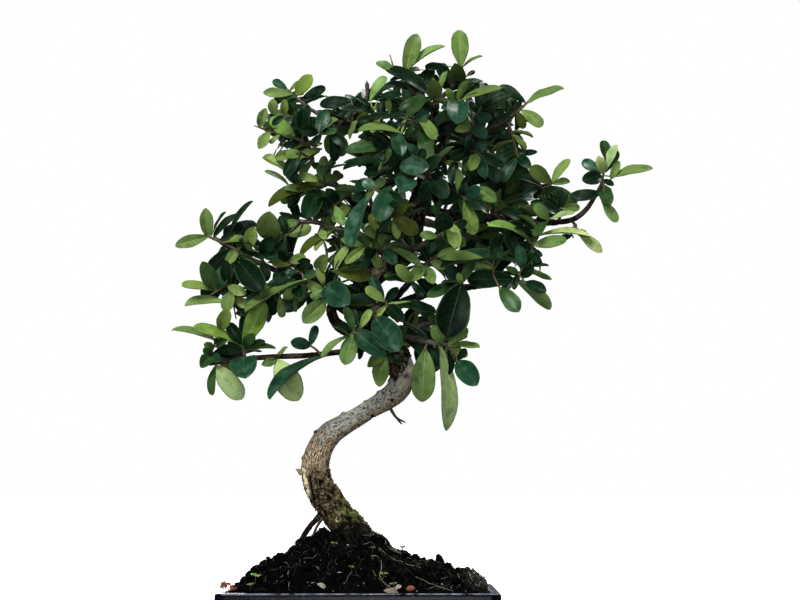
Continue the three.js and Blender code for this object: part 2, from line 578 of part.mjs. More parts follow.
    twigs: [
      [
        [14, 321, -18, 2.1], [-2, 326, -8, 1.9], [-18, 330, 0, 1.9], [-31, 335, 4, 1.7],
        [-45, 336, 6, 1.4],
      ],
      [[-18, 330, 0, 1.3], [-21, 328, -6, 1]],
      [[-28, 334, 3, 0.9], [-31, 327, -4, 0.6]],
      [[-45, 336, 6, 1.2], [-50, 330, 4, 1], [-56, 324, 2, 0.7]],
    ],
    leaves: [
      [-20, 329, -45, 311, 7.5, 'O'], [-31, 329, -25, 323, 6, 'L'], [-22, 329, -33, 314, 5, 'L'],
      [-57, 322, -36, 332, 9.5, 'U'], [-43, 337, -56, 333, 6.5, 'L'], [-56, 324, -72, 318, 6.5, 'D'],
      [-55, 326, -59, 340, 7.5, 'D'],
    ],
  },
  {
    name: 'spray_back_left', tint: 'dark', fill: 8,
    twigs: [
      [[36, 321, 2, 3.8], [29, 324, 22, 3.2], [17, 324, 42, 2.6], [3, 320, 60, 2], [-11, 317, 74, 1.5]],
      [[3, 320, 60, 1.6], [-6, 315, 70, 1.3], [-15, 312, 80, 0.9]],
      [[17, 324, 42, 1.5], [11, 333, 54, 1.2], [4, 342, 64, 0.8]],
    ],
    leaves: [],
  },
  {
    name: 'spray_back_right', tint: 'dark', fill: 10,
    twigs: [
      [[39, 336, 4, 3.8], [50, 335, 24, 3.2], [64, 330, 44, 2.6], [79, 326, 60, 2], [91, 323, 72, 1.4]],
      [[79, 326, 60, 1.6], [88, 321, 70, 1.3], [95, 317, 78, 0.8]],
      [[64, 330, 44, 1.5], [72, 339, 56, 1.2], [81, 346, 66, 0.8]],
      [[79, 326, 60, 1.4], [97, 340, 56, 1.2], [109, 354, 50, 0.8]],
    ],
    leaves: [],
  },
  {
    name: 'spray_back_high', tint: 'dark', fill: 8,
    twigs: [
      [
        [45, 355, 6, 3.4], [39, 360, 26, 2.8], [31, 365, 46, 2.3], [19, 371, 62, 1.8],
        [7, 376, 74, 1.3],
      ],
      [[19, 371, 62, 1.6], [10, 376, 72, 1.3], [1, 379, 80, 0.8]],
      [[31, 365, 46, 1.5], [32, 374, 60, 1.2], [36, 383, 70, 0.8]],
    ],
    leaves: [],
  },
  {
    name: 'spray_back_crown', tint: 'dark', fill: 9,
    twigs: [
      [[50, 376, 6, 3], [60, 380, 26, 2.4], [72, 386, 44, 2], [84, 392, 58, 1.4]],
      [[72, 386, 44, 1.6], [82, 390, 56, 1.3], [91, 393, 66, 0.8]],
      [[60, 380, 26, 1.5], [61, 390, 40, 1.2], [64, 401, 52, 0.8]],
      [[72, 386, 44, 1.4], [88, 396, 38, 1.2], [98, 404, 32, 0.8]],
    ],
    leaves: [],
  },
  {
    name: 'spray_back_top', tint: 'dark', fill: 5,
    twigs: [
      [[53, 399, 4, 2.6], [48, 405, 20, 2.1], [41, 413, 36, 1.6], [35, 420, 48, 1.2]],
      [[41, 413, 36, 1.5], [33, 420, 48, 1.2], [26, 424, 58, 0.8]],
    ],
    leaves: [],
  },
  {
    name: 'spray_back_low_right', tint: 'dark', fill: 4,
    twigs: [
      [[20, 245, 8, 3.2], [31, 252, 26, 2.6], [44, 258, 42, 2.2], [57, 262, 56, 1.6]],
      [[57, 262, 56, 1.4], [63, 259, 64, 1.1], [67, 254, 70, 0.8]],
    ],
    leaves: [
      [66, 255, 78, 251, 10.5, 'L'], [63, 258, 50, 265, 9, 'L'],
    ],
  },
  {
    name: 'spray_back_low_left', tint: 'dark', fill: 5,
    twigs: [
      [[6, 265, 7, 3], [-6, 270, 26, 2.4], [-20, 276, 42, 1.9], [-33, 280, 56, 1.3]],
      [[-33, 280, 56, 1.2], [-40, 283, 64, 1], [-46, 284, 70, 0.7]],
    ],
    leaves: [
      [-37, 282, -31, 267, 10.5, 'D'],
    ],
  },
  {
    name: 'spray_left_end', tint: 'dark', fill: 1,
    twigs: [
      [[-91, 315, -15, 1.2], [-90, 310, -22, 0.9]],
      [[-90, 311, -20, 1.4], [-92, 301, -22, 1.3], [-98, 290, -22, 1.1], [-109, 282, -23, 0.8]],
      [[-98, 290, -22, 0.8], [-94, 279, -20, 0.7], [-91, 264, -20, 0.4]],
    ],
    leaves: [
      [-91, 310, -108, 284, 12, 'B'], [-89, 307, -72, 285, 18.5, 'D'], [-93, 314, -98, 304, 8, 'L'],
      [-90, 310, -95, 284, 9, 'D'], [-110, 283, -131, 290, 6, 'L'], [-99, 276, -129, 275, 8, 'L'],
      [-109, 284, -116, 306, 13, 'D'], [-98, 289, -99, 307, 9, 'D'], [-95, 284, -98, 270, 10.5, 'L'],
      [-93, 279, -81, 273, 7.5, 'L'], [-95, 289, -84, 282, 8, 'L'],
    ],
  },
  {
    name: 'spray_left_twig', tint: 'light', fill: 1,
    twigs: [
      [
        [-35, 379, 8, 1.6], [-37, 389, 4, 1.4], [-44, 396, 0, 1.2], [-55, 400, -2, 1],
        [-67, 403, -3, 0.8], [-78, 407, -4, 0.4],
      ],
      [[-36, 384, 6, 1.3], [-38, 383, -2, 1.1], [-42, 386, -8, 0.9], [-45, 388, -12, 0.7]],
    ],
    leaves: [
      [-47, 399, -67, 413, 12, 'Y'], [-75, 410, -70, 420, 7.5, 'L'], [-67, 402, -75, 390, 8, 'L'],
      [-59, 399, -67, 394, 3.5, 'L'], [-55, 399, -59, 393, 2, 'D'], [-47, 390, -63, 383, 8, 'L'],
      [-28, 394, -49, 391, 5, 'Y'], [-52, 372, -72, 384, 8, 'L'], [-45, 387, -56, 370, 9.5, 'D'],
      [-30, 388, -50, 368, 6, 'D'], [-31, 382, -45, 365, 6, 'L'], [-28, 390, -45, 384, 6.5, 'L'],
      [-42, 386, -55, 386, 7.5, 'L'],
    ],
  },
  {
    name: 'spray_left_high', tint: 'dark', fill: 0,
    twigs: [
      [
        [-31, 416, -10, 1.4], [-39, 421, -10, 1.2], [-46, 427, -10, 1], [-52, 433, -10, 0.7],
        [-59, 437, -10, 0.4],
      ],
      [[-37, 420, -10, 1.1], [-43, 415, -16, 0.9], [-50, 414, -20, 0.7], [-59, 415, -22, 0.5]],
    ],
    leaves: [
      [-45, 432, -36, 445, 10.5, 'Y'], [-43, 427, -26, 436, 7.5, 'D'], [-53, 435, -65, 441, 6, 'B'],
      [-53, 428, -72, 432, 7.5, 'L'], [-51, 435, -44, 441, 3.5, 'L'], [-40, 424, -26, 429, 3, 'D'],
      [-42, 421, -39, 413, 7.5, 'D'], [-50, 432, -42, 431, 3.5, 'D'], [-47, 427, -56, 420, 6.5, 'D'],
      [-64, 415, -65, 427, 7.5, 'L'], [-61, 417, -56, 427, 6, 'L'], [-45, 418, -63, 416, 8, 'L'],
      [-43, 401, -42, 420, 10.5, 'D'], [-50, 404, -45, 418, 6.5, 'D'], [-49, 413, -55, 424, 6, 'D'],
      [-56, 414, -65, 408, 5, 'D'],
    ],
  },
  {
    name: 'spray_top_left', tint: 'light', fill: 0,
    twigs: [
      [
        [56, 421, 3, 1.9], [47, 427, -3, 1.6], [38, 433, -8, 1.3], [33, 442, -10, 1.1],
        [34, 449, -10, 0.8],
      ],
      [[33, 442, -10, 0.8], [26, 448, -12, 0.7], [22, 460, -12, 0.4]],
      [[47, 427, -3, 1.4], [52, 427, -12, 1.2], [56, 429, -18, 0.9]],
    ],
    leaves: [
      [33, 450, 42, 476, 13, 'L'], [37, 449, 62, 468, 6.5, 'L'], [29, 448, 12, 455, 6.5, 'L'],
      [53, 430, 19, 451, 10.5, 'D'], [41, 433, 45, 446, 6.5, 'D'], [35, 443, 22, 441, 3.5, 'D'],
      [56, 430, 54, 443, 12.5, 'L'], [59, 432, 64, 448, 4.5, 'L'], [54, 427, 29, 418, 9, 'L'],
      [57, 423, 42, 420, 7.5, 'D'],
    ],
  },
  {
    name: 'spray_left_inner', tint: 'light', fill: 1,
    twigs: [
      [[-45, 297, -9, 1.5], [-49, 304, -12, 1.2], [-55, 307, -15, 0.9]],
      [[-47, 301, -11, 1.1], [-42, 296, -18, 1], [-42, 289, -20, 0.8]],
      [[-42, 289, -20, 1], [-52, 287, -21, 0.9], [-61, 289, -21, 0.8], [-70, 284, -21, 0.6]],
    ],
    leaves: [
      [-36, 293, -84, 269, 6.5, 'L'], [-50, 304, -65, 305, 6.5, 'L'], [-52, 305, -40, 310, 7.5, 'L'],
      [-42, 289, -68, 290, 6.5, 'D'], [-43, 295, -31, 298, 6.5, 'Y'], [-55, 307, -61, 314, 6, 'D'],
      [-46, 301, -37, 307, 9, 'D'], [-42, 287, -56, 279, 9, 'L'], [-70, 284, -84, 274, 9.5, 'B'],
      [-67, 289, -81, 290, 7.5, 'L'], [-59, 280, -57, 265, 6.5, 'O'], [-47, 287, -43, 279, 9, 'D'],
      [-65, 290, -53, 284, 6.5, 'L'], [-68, 286, -72, 276, 9, 'L'],
    ],
  },
  {
    name: 'spray_back_side', tint: 'dark', fill: 5,
    twigs: [
      [[1, 407, -8, 1.5], [-3, 408, 14, 1.2], [-9, 411, 32, 1], [-14, 413, 46, 0.7]],
    ],
    leaves: [],
  },
];

const CROWN = [
  [-47, 432], [-22, 432], [-6, 433], [8, 438], [23, 442], [35, 449], [51, 455], [75, 455], [85, 443],
  [103, 439], [122, 429], [125, 411], [119, 399], [129, 389], [129, 376], [142, 364], [162, 358],
  [166, 345], [148, 335], [137, 333], [131, 320], [134, 307], [131, 292], [109, 284], [81, 284],
  [61, 279], [57, 257], [75, 245], [70, 226], [47, 221], [32, 233], [17, 230], [1, 220], [-12, 233],
  [-15, 248], [-25, 264], [-43, 267], [-56, 270], [-72, 257], [-89, 259], [-96, 275], [-115, 277],
  [-121, 289], [-118, 304], [-102, 315], [-108, 324], [-95, 335], [-77, 342], [-59, 343], [-47, 342],
  [-55, 349], [-62, 352], [-56, 364], [-68, 376], [-72, 388], [-59, 395], [-71, 402], [-72, 420],
  [-65, 432],
];
const LOW_CROWN = [
  [-11, 249], [-11, 224], [-45, 211], [-72, 224], [-92, 211], [-112, 221], [-120, 237], [-109, 252],
  [-89, 257], [-72, 248], [-45, 246],
];
const WINDOWS = [
  [[47, 337], [60, 337], [59, 330], [49, 324]],
  [[-37, 324], [-22, 320], [-28, 310], [-39, 308]],
  [[54, 301], [62, 296], [59, 290], [52, 291]],
  [[56, 282], [44, 279], [36, 278], [42, 273], [56, 273]],
  [[-8, 377], [3, 374], [1, 366], [-8, 368]],
  [[-36, 307], [-36, 302], [-18, 299], [-22, 296]],
];
const FINISH = {
  pot: { color: 0x141c33, roughness: 0.28, metalness: 0 },
  mesh: { color: 0x1b1c1c, roughness: 0.6, metalness: 0 },
  soil: { color: 0x15120f, roughness: 0.98, metalness: 0 },
  wood: { color: 0x7d7264, roughness: 0.85, metalness: 0 },
  dark: { color: 0x1f4a33, roughness: 0.42, metalness: 0 },
  light: { color: 0x6d9350, roughness: 0.48, metalness: 0 },
};

// Small helpers
function vec(x, y, z) {
  return new THREE.Vector3(x, y, z);
}

function fromFront(x, z, depth) {
  const scale = 1 + depth / -EYE.y;
  return vec(EYE.x + (x - EYE.x) * scale, depth, EYE.z + (z - EYE.z) * scale);
}

function seenFromFront(point) {
  const scale = 1 + point.y / -EYE.y;
  return [EYE.x + (point.x - EYE.x) / scale, EYE.z + (point.z - EYE.z) / scale];
}

function seeded(seed) {
  let state = seed >>> 0;
  return () => {
    state = (state + 0x6d2b79f5) >>> 0;
    let t = state;
    t = Math.imul(t ^ (t >>> 15), t | 1);
    t ^= t + Math.imul(t ^ (t >>> 7), t | 61);
    return ((t ^ (t >>> 14)) >>> 0) / 4294967296;
  };
}

function insidePolygon([x, z], polygon) {
  let inside = false;
  for (let i = 0, j = polygon.length - 1; i < polygon.length; j = i, i += 1) {
    const [xi, zi] = polygon[i];
    const [xj, zj] = polygon[j];
    if ((zi > z) !== (zj > z) && x < ((xj - xi) * (z - zi)) / (zj - zi) + xi) {
      inside = !inside;
    }
  }
  return inside;
}

// Solids: every shape is a closed triangle mesh, joined and cut where it needs to be
function surface(points, faces) {
  const geometry = new THREE.BufferGeometry();
  const positions = new Float32Array(points.flatMap((p) => [p.x, p.y, p.z]));
  geometry.setAttribute('position', new THREE.BufferAttribute(positions, 3));
  geometry.setIndex(faces.flat());
  return geometry;
}

function solidOf(geometry) {
  const bare = geometry.clone();
  bare.deleteAttribute('normal');
  bare.deleteAttribute('uv');
  const merged = mergeVertices(bare, 1e-4);
  return new wasm.Manifold(new wasm.Mesh({
    numProp: 3,
    vertProperties: new Float32Array(merged.attributes.position.array),
    triVerts: new Uint32Array(merged.index.array),
  }));
}

function joined(solids) {
  return solids.reduce((all, one) => all.add(one));
}

function largestBody(solid) {
  return solid.decompose().sort((a, b) => b.volume() - a.volume())[0];
}

function meshOf(name, solid, finish) {
  const { vertProperties, triVerts } = solid.getMesh();
  const geometry = new THREE.BufferGeometry();
  geometry.setAttribute('position', new THREE.BufferAttribute(new Float32Array(vertProperties), 3));
  geometry.setIndex(new THREE.BufferAttribute(new Uint32Array(triVerts), 1));
  const flat = geometry.toNonIndexed();
  flat.computeVertexNormals();
  const mesh = new THREE.Mesh(flat, new THREE.MeshStandardMaterial(FINISH[finish]));
  mesh.name = name;
  return mesh;
}

function box(sizeX, sizeY, sizeZ, x, y, z) {
  return solidOf(new THREE.BoxGeometry(sizeX, sizeY, sizeZ).translate(x, y, z));
}

// Rings with the same number of points are skinned one after another and closed at both ends
function skin(rings) {
  const count = rings[0].length;
  const points = rings.flat();
  const faces = [];
  for (let r = 0; r < rings.length - 1; r += 1) {
    for (let i = 0; i < count; i += 1) {
      const j = (i + 1) % count;
      const [a, b] = [r * count + i, r * count + j];
      faces.push([a, b, b + count], [a, b + count, a + count]);
    }
  }
  const last = (rings.length - 1) * count;
  for (let i = 1; i < count - 1; i += 1) {
    faces.push([0, i + 1, i], [last, last + i, last + i + 1]);
  }
  return surface(points, faces);
}

// A tapered tube along a path of points that each carry a radius
function tube(path, sides, shape = () => 1) {
  const rings = [];
  let across = null;
  path.forEach((point, i) => {
    const before = path[Math.max(i - 1, 0)].at;
    const after = path[Math.min(i + 1, path.length - 1)].at;
    const along = after.clone().sub(before).normalize();
    if (across === null) {
      across = vec(0, 1, 0).cross(along);
      if (across.length() < 0.1) across = vec(1, 0, 0).cross(along);
    }
    across.addScaledVector(along, -across.dot(along)).normalize();
    const up = along.clone().cross(across);
    const ring = [];
    for (let s = 0; s < sides; s += 1) {
      const angle = (s / sides) * Math.PI * 2;
      const radius = point.radius * shape(angle, i);
      ring.push(point.at.clone()
        .addScaledVector(across, Math.cos(angle) * radius)
        .addScaledVector(up, Math.sin(angle) * radius));
    }
    rings.push(ring);
  });
  return solidOf(skin(rings));
}

function pathOf(rows, extra = 0) {
  return rows.map(([x, z, depth, radius]) => ({ at: fromFront(x, z, depth), radius: radius + extra }));
}

// The pot
function roundedRing(halfX, halfY, radius, z, stepsX = 1, stepsY = 1) {
  const ring = [];
  const corners = [[1, 1, stepsX], [-1, 1, stepsY], [-1, -1, stepsX], [1, -1, stepsY]];
  corners.forEach(([signX, signY, steps], quarter) => {
    const [cx, cy] = [signX * (halfX - radius), signY * (halfY - radius)];
    for (let i = 0; i <= 4; i += 1) {
      const angle = (quarter + i / 4) * Math.PI / 2;
      ring.push(vec(cx + Math.cos(angle) * radius, cy + Math.sin(angle) * radius, z));
    }
    const [nextX, nextY] = [corners[(quarter + 1) % 4][0], corners[(quarter + 1) % 4][1]];
    const end = ring[ring.length - 1];
    const turn = ((quarter + 1) * Math.PI) / 2;
    const next = vec(nextX * (halfX - radius) + Math.cos(turn) * radius,
      nextY * (halfY - radius) + Math.sin(turn) * radius, z);
    for (let i = 1; i < steps; i += 1) ring.push(end.clone().lerp(next, i / steps));
  });
  return ring;
}

function potRing(inset, z, ...steps) {
  const radius = Math.max(CORNER_RADIUS - inset, SMALLEST_CORNER);
  return roundedRing(RIM_HALF_X - inset, RIM_HALF_Y - inset, radius, z, ...steps);
}

const INNER_TOP = RIM_WIDTH + 0.5;
const INNER_BOTTOM = FOOT_INSET + WALL;

function makePot() {
  const under = RIM_Z - RIM_DROP;
  const body = solidOf(skin([
    potRing(FOOT_INSET + 1.5, 0), potRing(FOOT_INSET, 2), potRing(LIP_OVERHANG, under),
    potRing(RIM_ROUND, under), potRing(0, under + RIM_ROUND),
    potRing(0, RIM_Z - RIM_ROUND), potRing(RIM_ROUND, RIM_Z),
    potRing(RIM_WIDTH - RIM_ROUND / 2, RIM_Z), potRing(INNER_TOP, RIM_Z - RIM_ROUND),
    potRing(INNER_BOTTOM, FLOOR_Z + 3), potRing(INNER_BOTTOM + 3, FLOOR_Z),
  ]));
  const cuts = [-DRAIN_X, DRAIN_X].map((x) => {
    const hole = new THREE.CylinderGeometry(DRAIN_RADIUS, DRAIN_RADIUS, FLOOR_Z + 4, 12);
    hole.rotateX(Math.PI / 2).translate(x, 0, FLOOR_Z / 2);
    const channel = box(CHANNEL_WIDTH, RIM_HALF_Y * 2 + 10, CHANNEL_DEPTH * 2, x, 0, 0);
    return channel.add(solidOf(hole));
  });
  return meshOf('pot', body.subtract(joined(cuts)), 'pot');
}

// A square of plastic mesh lies over each drain hole
function makeDrainMesh(name, x) {
  const middle = FLOOR_Z + GAP + MESH_THICK / 2;
  const holes = [];
  for (let i = -1; i <= 1; i += 1) {
    for (let j = -1; j <= 1; j += 1) {
      holes.push(box(MESH_HOLE, MESH_HOLE, MESH_THICK * 3, x + i * MESH_PITCH, j * MESH_PITCH, middle));
    }
  }
  const plate = box(MESH_SIZE, MESH_SIZE, MESH_THICK, x, 0, middle);
  return meshOf(name, plate.subtract(joined(holes)), 'mesh');
}

// The soil fills the pot and rises to a rough mound round the foot of the tree
const MOUND = [
  [-94, -1], [-89, 4], [-75, 14.5], [-52, 24.5], [-42, 35.5], [-28, 41.5], [-17, 38.5], [9, 38.5],
  [18, 34.5], [23, 27.5], [36, 22.5], [51, 18.5], [64, 16.5], [77, 10.5], [90, 5], [94, -1],
];

function moundHeight(x, y) {
  let height = MOUND[0][1];
  for (let i = 1; i < MOUND.length; i += 1) {
    const [x0, h0] = MOUND[i - 1];
    const [x1, h1] = MOUND[i];
    if (x >= x0) height = h0 + (h1 - h0) * Math.min((x - x0) / (x1 - x0), 1);
  }
  const across = Math.min(Math.abs(y) / 68, 1);
  const lumps = Math.sin(x * 0.31 + y * 0.17) * Math.cos(y * 0.29 - x * 0.11)
    + 0.6 * Math.sin(x * 0.53 - y * 0.41 + 1.3);
  const calm = Math.min((1 - across) * 4, 1) * Math.min((96 - Math.abs(x)) / 20, 1);
  return RIM_Z - 2 + height * (1 - across ** 2.2) + lumps * 1.6 * Math.max(calm, 0);
}

function makeSoil(thickWood) {
  const steps = [5, 3];
  const top = potRing(INNER_TOP + GAP, RIM_Z - 3, ...steps);
  const rings = [
    potRing(INNER_BOTTOM + 3 + GAP, FLOOR_Z + GAP, ...steps),
    potRing(INNER_BOTTOM + GAP, FLOOR_Z + 3 + GAP, ...steps),
    top,
  ];
  for (const share of [0.94, 0.84, 0.7, 0.54, 0.38, 0.2, 0.07]) {
    rings.push(top.map((p) => vec(p.x * share, p.y * share, moundHeight(p.x * share, p.y * share))));
  }
  const pockets = [-DRAIN_X, DRAIN_X].map((x) => box(
    MESH_SIZE + GAP * 2, MESH_SIZE + GAP * 2, (MESH_THICK + GAP * 2) * 2, x, 0, FLOOR_Z));
  return meshOf('soil', largestBody(solidOf(skin(rings)).subtract(joined([...pockets, thickWood]))), 'soil');
}

// The wood: trunk, limbs and roots grown together
function barkShape(angle, i) {
  return 1 + 0.06 * Math.sin(2 * angle + i * 0.5) + 0.045 * Math.sin(3 * angle - i * 0.9);
}

function makeWood(extra) {
  const limbs = Object.values(LIMBS).map((rows) => tube(pathOf(rows, extra), LIMB_SIDES));
  return joined([tube(pathOf(TRUNK, extra), TRUNK_SIDES, barkShape), ...limbs]);
}

// A blade: an obovate outline, arched from base to tip and slightly folded along its rib
function halfWidth(blade, v) {
  return (blade.width / 2) * Math.sin(Math.PI * v ** 1.35) ** 0.8;
}

function onBlade(blade, v, s) {
  const half = halfWidth(blade, v);
  const lift = blade.arch * blade.length * 4 * v * (1 - v) + blade.fold * Math.abs(s) * half;
  return blade.base.clone()
    .addScaledVector(blade.along, blade.length * v)
    .addScaledVector(blade.up, lift)
    .addScaledVector(blade.side, s * half);
}

const OUTLINES = {
  large: [[0.3, -1], [0.62, -1], [0.87, -1], [1, 0], [0.87, 1], [0.62, 1], [0.3, 1]],
  small: [[0.38, -1], [0.8, -1], [1, 0], [0.8, 1], [0.38, 1]],
};

function bladePoints(blade) {
  const outline = OUTLINES[blade.length > LARGE_BLADE ? 'large' : 'small'];
  const middle = onBlade(blade, 0.5, 0);
  const above = middle.clone().addScaledVector(blade.up, BLADE_THICK / 2);
  const below = middle.clone().addScaledVector(blade.up, -BLADE_THICK / 2);
  return [...outline.map(([v, s]) => onBlade(blade, v, s)), above, below];
}

function bladeSolid(blade) {
  const root = blade.base.clone().addScaledVector(blade.along, -SUNK);
  const points = [root, ...bladePoints(blade)];
  const edge = points.length - 2;
  const faces = [];
  for (let i = 0; i < edge; i += 1) {
    const j = (i + 1) % edge;
    faces.push([edge, i, j], [edge + 1, j, i]);
  }
  return solidOf(surface(points, faces));
}

// What a blade, twig or limb takes up: a few points with a radius, and the axes it may be parted on
function item(points, axes, radius, owner) {
  const centre = points.reduce((sum, p) => sum.add(p), vec(0, 0, 0)).divideScalar(points.length);
  const reach = Math.max(...points.map((p) => p.distanceTo(centre))) + radius;
  return { points, axes, radius, owner, centre, reach };
}

function bladeItems(blade, owner) {
  const points = bladePoints(blade);
  const axes = [blade.along, blade.up, blade.side];
  return {
    whole: item([blade.base, ...points], axes, 0, owner),
    outer: item(points, axes, 0, owner),
  };
}

function limbItems(path, owner) {
  return path.slice(1).map((point, i) => {
    const along = point.at.clone().sub(path[i].at).normalize();
    return item([path[i].at, point.at], [along], Math.max(point.radius, path[i].radius), owner);
  });
}

function parted(a, b, gap) {
  const between = b.centre.clone().sub(a.centre);
  if (between.length() > a.reach + b.reach + gap) return true;
  const axes = [...a.axes, ...b.axes, between];
  for (const p of a.axes) for (const q of b.axes) axes.push(p.clone().cross(q));
  return axes.some((axis) => {
    const size = axis.length();
    if (size < 1e-6) return false;
    const spanA = a.points.map((p) => p.dot(axis) / size);
    const spanB = b.points.map((p) => p.dot(axis) / size);
    const room = Math.max(Math.min(...spanB) - Math.max(...spanA), Math.min(...spanA) - Math.max(...spanB));
    return room > gap + a.radius + b.radius;
  });
}

// The sprays grow in three passes: twigs, then the leaves placed one by one, then the rest by rule
const placed = [];

// The nearest place on the twigs, never right at a twig's tip
function nearestOnTwigs(twigs, distance) {
  let best = null;
  twigs.forEach((path) => path.slice(1).forEach((point, i) => {
    const steps = i === path.length - 2 ? 9 : 10;
    for (let step = 0; step <= steps; step += 1) {
      const at = path[i].at.clone().lerp(point.at, step / 10);
      const away = distance(at);
      if (best === null || away < best.away) best = { at, away, from: path[i].at, to: point.at };
    }
  }));
  return best;
}

// Every twig of a spray after the first starts on one of the twigs before it
function twigPaths(twigs) {
  const paths = [];
  for (const rows of twigs) {
    const path = pathOf(rows);
    const start = path[0];
    const seat = paths.length > 0 ? nearestOnTwigs(paths, (at) => at.distanceTo(start.at)) : null;
    if (seat !== null && seat.away > start.radius * 0.3) path.unshift({ at: seat.at, radius: start.radius });
    paths.push(path);
  }
  return paths;
}

function makeBlade(base, tip, width, roll, under) {
  const along = tip.clone().sub(base);
  const length = along.length();
  along.normalize();
  const facing = vec(0, -1, 0);
  facing.addScaledVector(along, -facing.dot(along)).normalize();
  const side = along.clone().cross(facing);
  if (side.z < 0) side.negate();
  const up = side.clone().multiplyScalar(Math.sin(roll))
    .addScaledVector(facing, Math.cos(roll) * (under ? -1 : 1)).normalize();
  return {
    base, along, up, side: up.clone().cross(along), length, width, arch: 0.07, fold: 0.14,
  };
}

function seatedBlade(spray, row, seed, attempt) {
  const [x, z, tipX, tipZ, seenWidth, tint] = row;
  const random = seeded(seed);
  const seat = nearestOnTwigs(spray.paths, (at) => {
    const [seenX, seenZ] = seenFromFront(at);
    return Math.hypot(seenX - x, seenZ - z);
  });
  const seen = Math.hypot(tipX - x, tipZ - z);
  const foreshortened = seenWidth > seen * FORESHORTENED;
  const length = foreshortened ? Math.min(seenWidth / 0.5, LONGEST_LEAF) : seen;
  const width = Math.max(seenWidth, WIDTH_SHARE * length * (0.9 + 0.2 * random()));
  const sideways = seen * (0.15 - 0.4 * random());
  const lean = foreshortened ? -Math.sqrt(Math.max(length ** 2 - seen ** 2, 0)) : sideways;
  const nudge = [0, -5, 5, -10, 10, -15][attempt % 6];
  const roll = Math.acos(Math.min(seenWidth / width, 1)) * (attempt < 6 ? 1 : 0.7);
  const onTwig = seat.at.clone().lerp([seat.from, seat.at, seat.to][seed % 3], SEAT_SHIFT);
  const base = seat.away > FAR_SEAT ? fromFront(x, z, seat.at.y) : onTwig;
  const tip = fromFront(tipX, tipZ, seat.at.y + lean + nudge);
  return { ...makeBlade(base, tip, width, roll, tint === 'U'), seat };
}

function grownBlade(spray, index, attempt) {
  const random = seeded(spray.seed * 1009 + index * 31 + attempt * 7 + 5);
  const path = spray.paths[index % spray.paths.length];
  const reach = 0.3 + 0.7 * ((index * 0.618 + 0.37 * attempt) % 1);
  const place = reach * (path.length - 1);
  const i = Math.min(Math.floor(place), path.length - 2);
  const base = path[i].at.clone().lerp(path[i + 1].at, place - i);
  const twig = path[i + 1].at.clone().sub(path[i].at).normalize();
  const across = twig.clone().cross(vec(0.1, 0.2, 1)).normalize();
  const over = twig.clone().cross(across);
  const angle = index * GOLDEN_ANGLE + attempt * 1.3 + random() * 0.6;
  const spread = (80 - 50 * reach + 25 * random()) * (Math.PI / 180);
  const along = twig.clone().multiplyScalar(Math.cos(spread))
    .addScaledVector(across, Math.sin(spread) * Math.cos(angle))
    .addScaledVector(over, Math.sin(spread) * Math.sin(angle))
    .add(vec(0, 0, 0.2)).normalize();
  const length = FILL_LENGTHS[0] + (FILL_LENGTHS[1] - FILL_LENGTHS[0]) * random() * (1 - attempt * 0.04);
  const up = vec(0, -0.25, 1).addScaledVector(along, -along.z + 0.25 * along.y);
  const tilt = (random() - 0.5) * 1.6;
  up.addScaledVector(along, -up.dot(along)).normalize().applyAxisAngle(along, tilt);
  const blade = {
    base, along, up, side: up.clone().cross(along), length, width: length * (0.42 + 0.1 * random()),
    arch: 0.05 + 0.05 * random(), fold: 0.14,
  };
  return { ...blade, seat: { at: base, away: 0 } };
}

function insideCrown(blade) {
  return [[0.3, 1], [0.3, -1], [0.7, 1], [0.7, -1], [1, 0]].every(([v, s]) => {
    const seen = seenFromFront(onBlade(blade, v, s));
    return (insidePolygon(seen, CROWN) || insidePolygon(seen, LOW_CROWN))
      && !WINDOWS.some((window) => insidePolygon(seen, window));
  });
}

function fits(items, owner) {
  return placed.every((other) => {
    if (other.owner === owner) return other.twig || parted(items.outer, other, 0.05);
    if (other.owner === 'wood') return parted(items.outer, other, CLEAR);
    return parted(items.whole, other, CLEAR);
  });
}

function place(spray, blade, items) {
  placed.push(items.outer, items.whole);
  spray.blades.push(blade);
}

function growSprays() {
  placed.push(...limbItems(pathOf(TRUNK), 'wood'));
  Object.values(LIMBS).forEach((rows) => placed.push(...limbItems(pathOf(rows), 'wood')));
  const sprays = SPRAYS.map((rows, i) => (
    { ...rows, seed: i + 1, paths: twigPaths(rows.twigs), blades: [] }));
  sprays.forEach((spray) => spray.paths.forEach((path) => {
    placed.push(...limbItems(path, spray.name).map((one) => ({ ...one, twig: true })));
  }));
  sprays.forEach((spray) => spray.leaves.forEach((row, i) => {
    if (row[4] * Math.hypot(row[2] - row[0], row[3] - row[1]) < SMALLEST_LEAF) return;
    for (let attempt = 0; attempt < 12; attempt += 1) {
      const blade = seatedBlade(spray, row, spray.seed * 101 + i, attempt);
      const items = bladeItems(blade, spray.name);
      if (fits(items, spray.name)) {
        place(spray, blade, items);
        return;
      }
    }
  }));
  const rounds = Math.max(...sprays.map((spray) => spray.fill));
  for (let round = 0; round < rounds; round += 1) {
    for (const spray of sprays.filter((one) => round < one.fill)) {
      for (let attempt = 0; attempt < 10; attempt += 1) {
        const blade = grownBlade(spray, round, attempt);
        const items = bladeItems(blade, spray.name);
        if (insideCrown(blade) && fits(items, spray.name)) {
          place(spray, blade, items);
          break;
        }
      }
    }
  }
  return sprays;
}

function spraySolid(spray) {
  const parts = spray.paths.map((path) => tube(path, path[0].radius > 2 ? TWIG_SIDES + 1 : TWIG_SIDES));
  for (const blade of spray.blades) {
    parts.push(bladeSolid(blade));
    if (blade.seat.away > FAR_SEAT) {
      const end = blade.base.clone().addScaledVector(blade.along, SUNK);
      parts.push(tube([{ at: blade.seat.at, radius: SPUR }, { at: end, radius: SPUR }], TWIG_SIDES));
    }
  }
  return joined(parts);
}

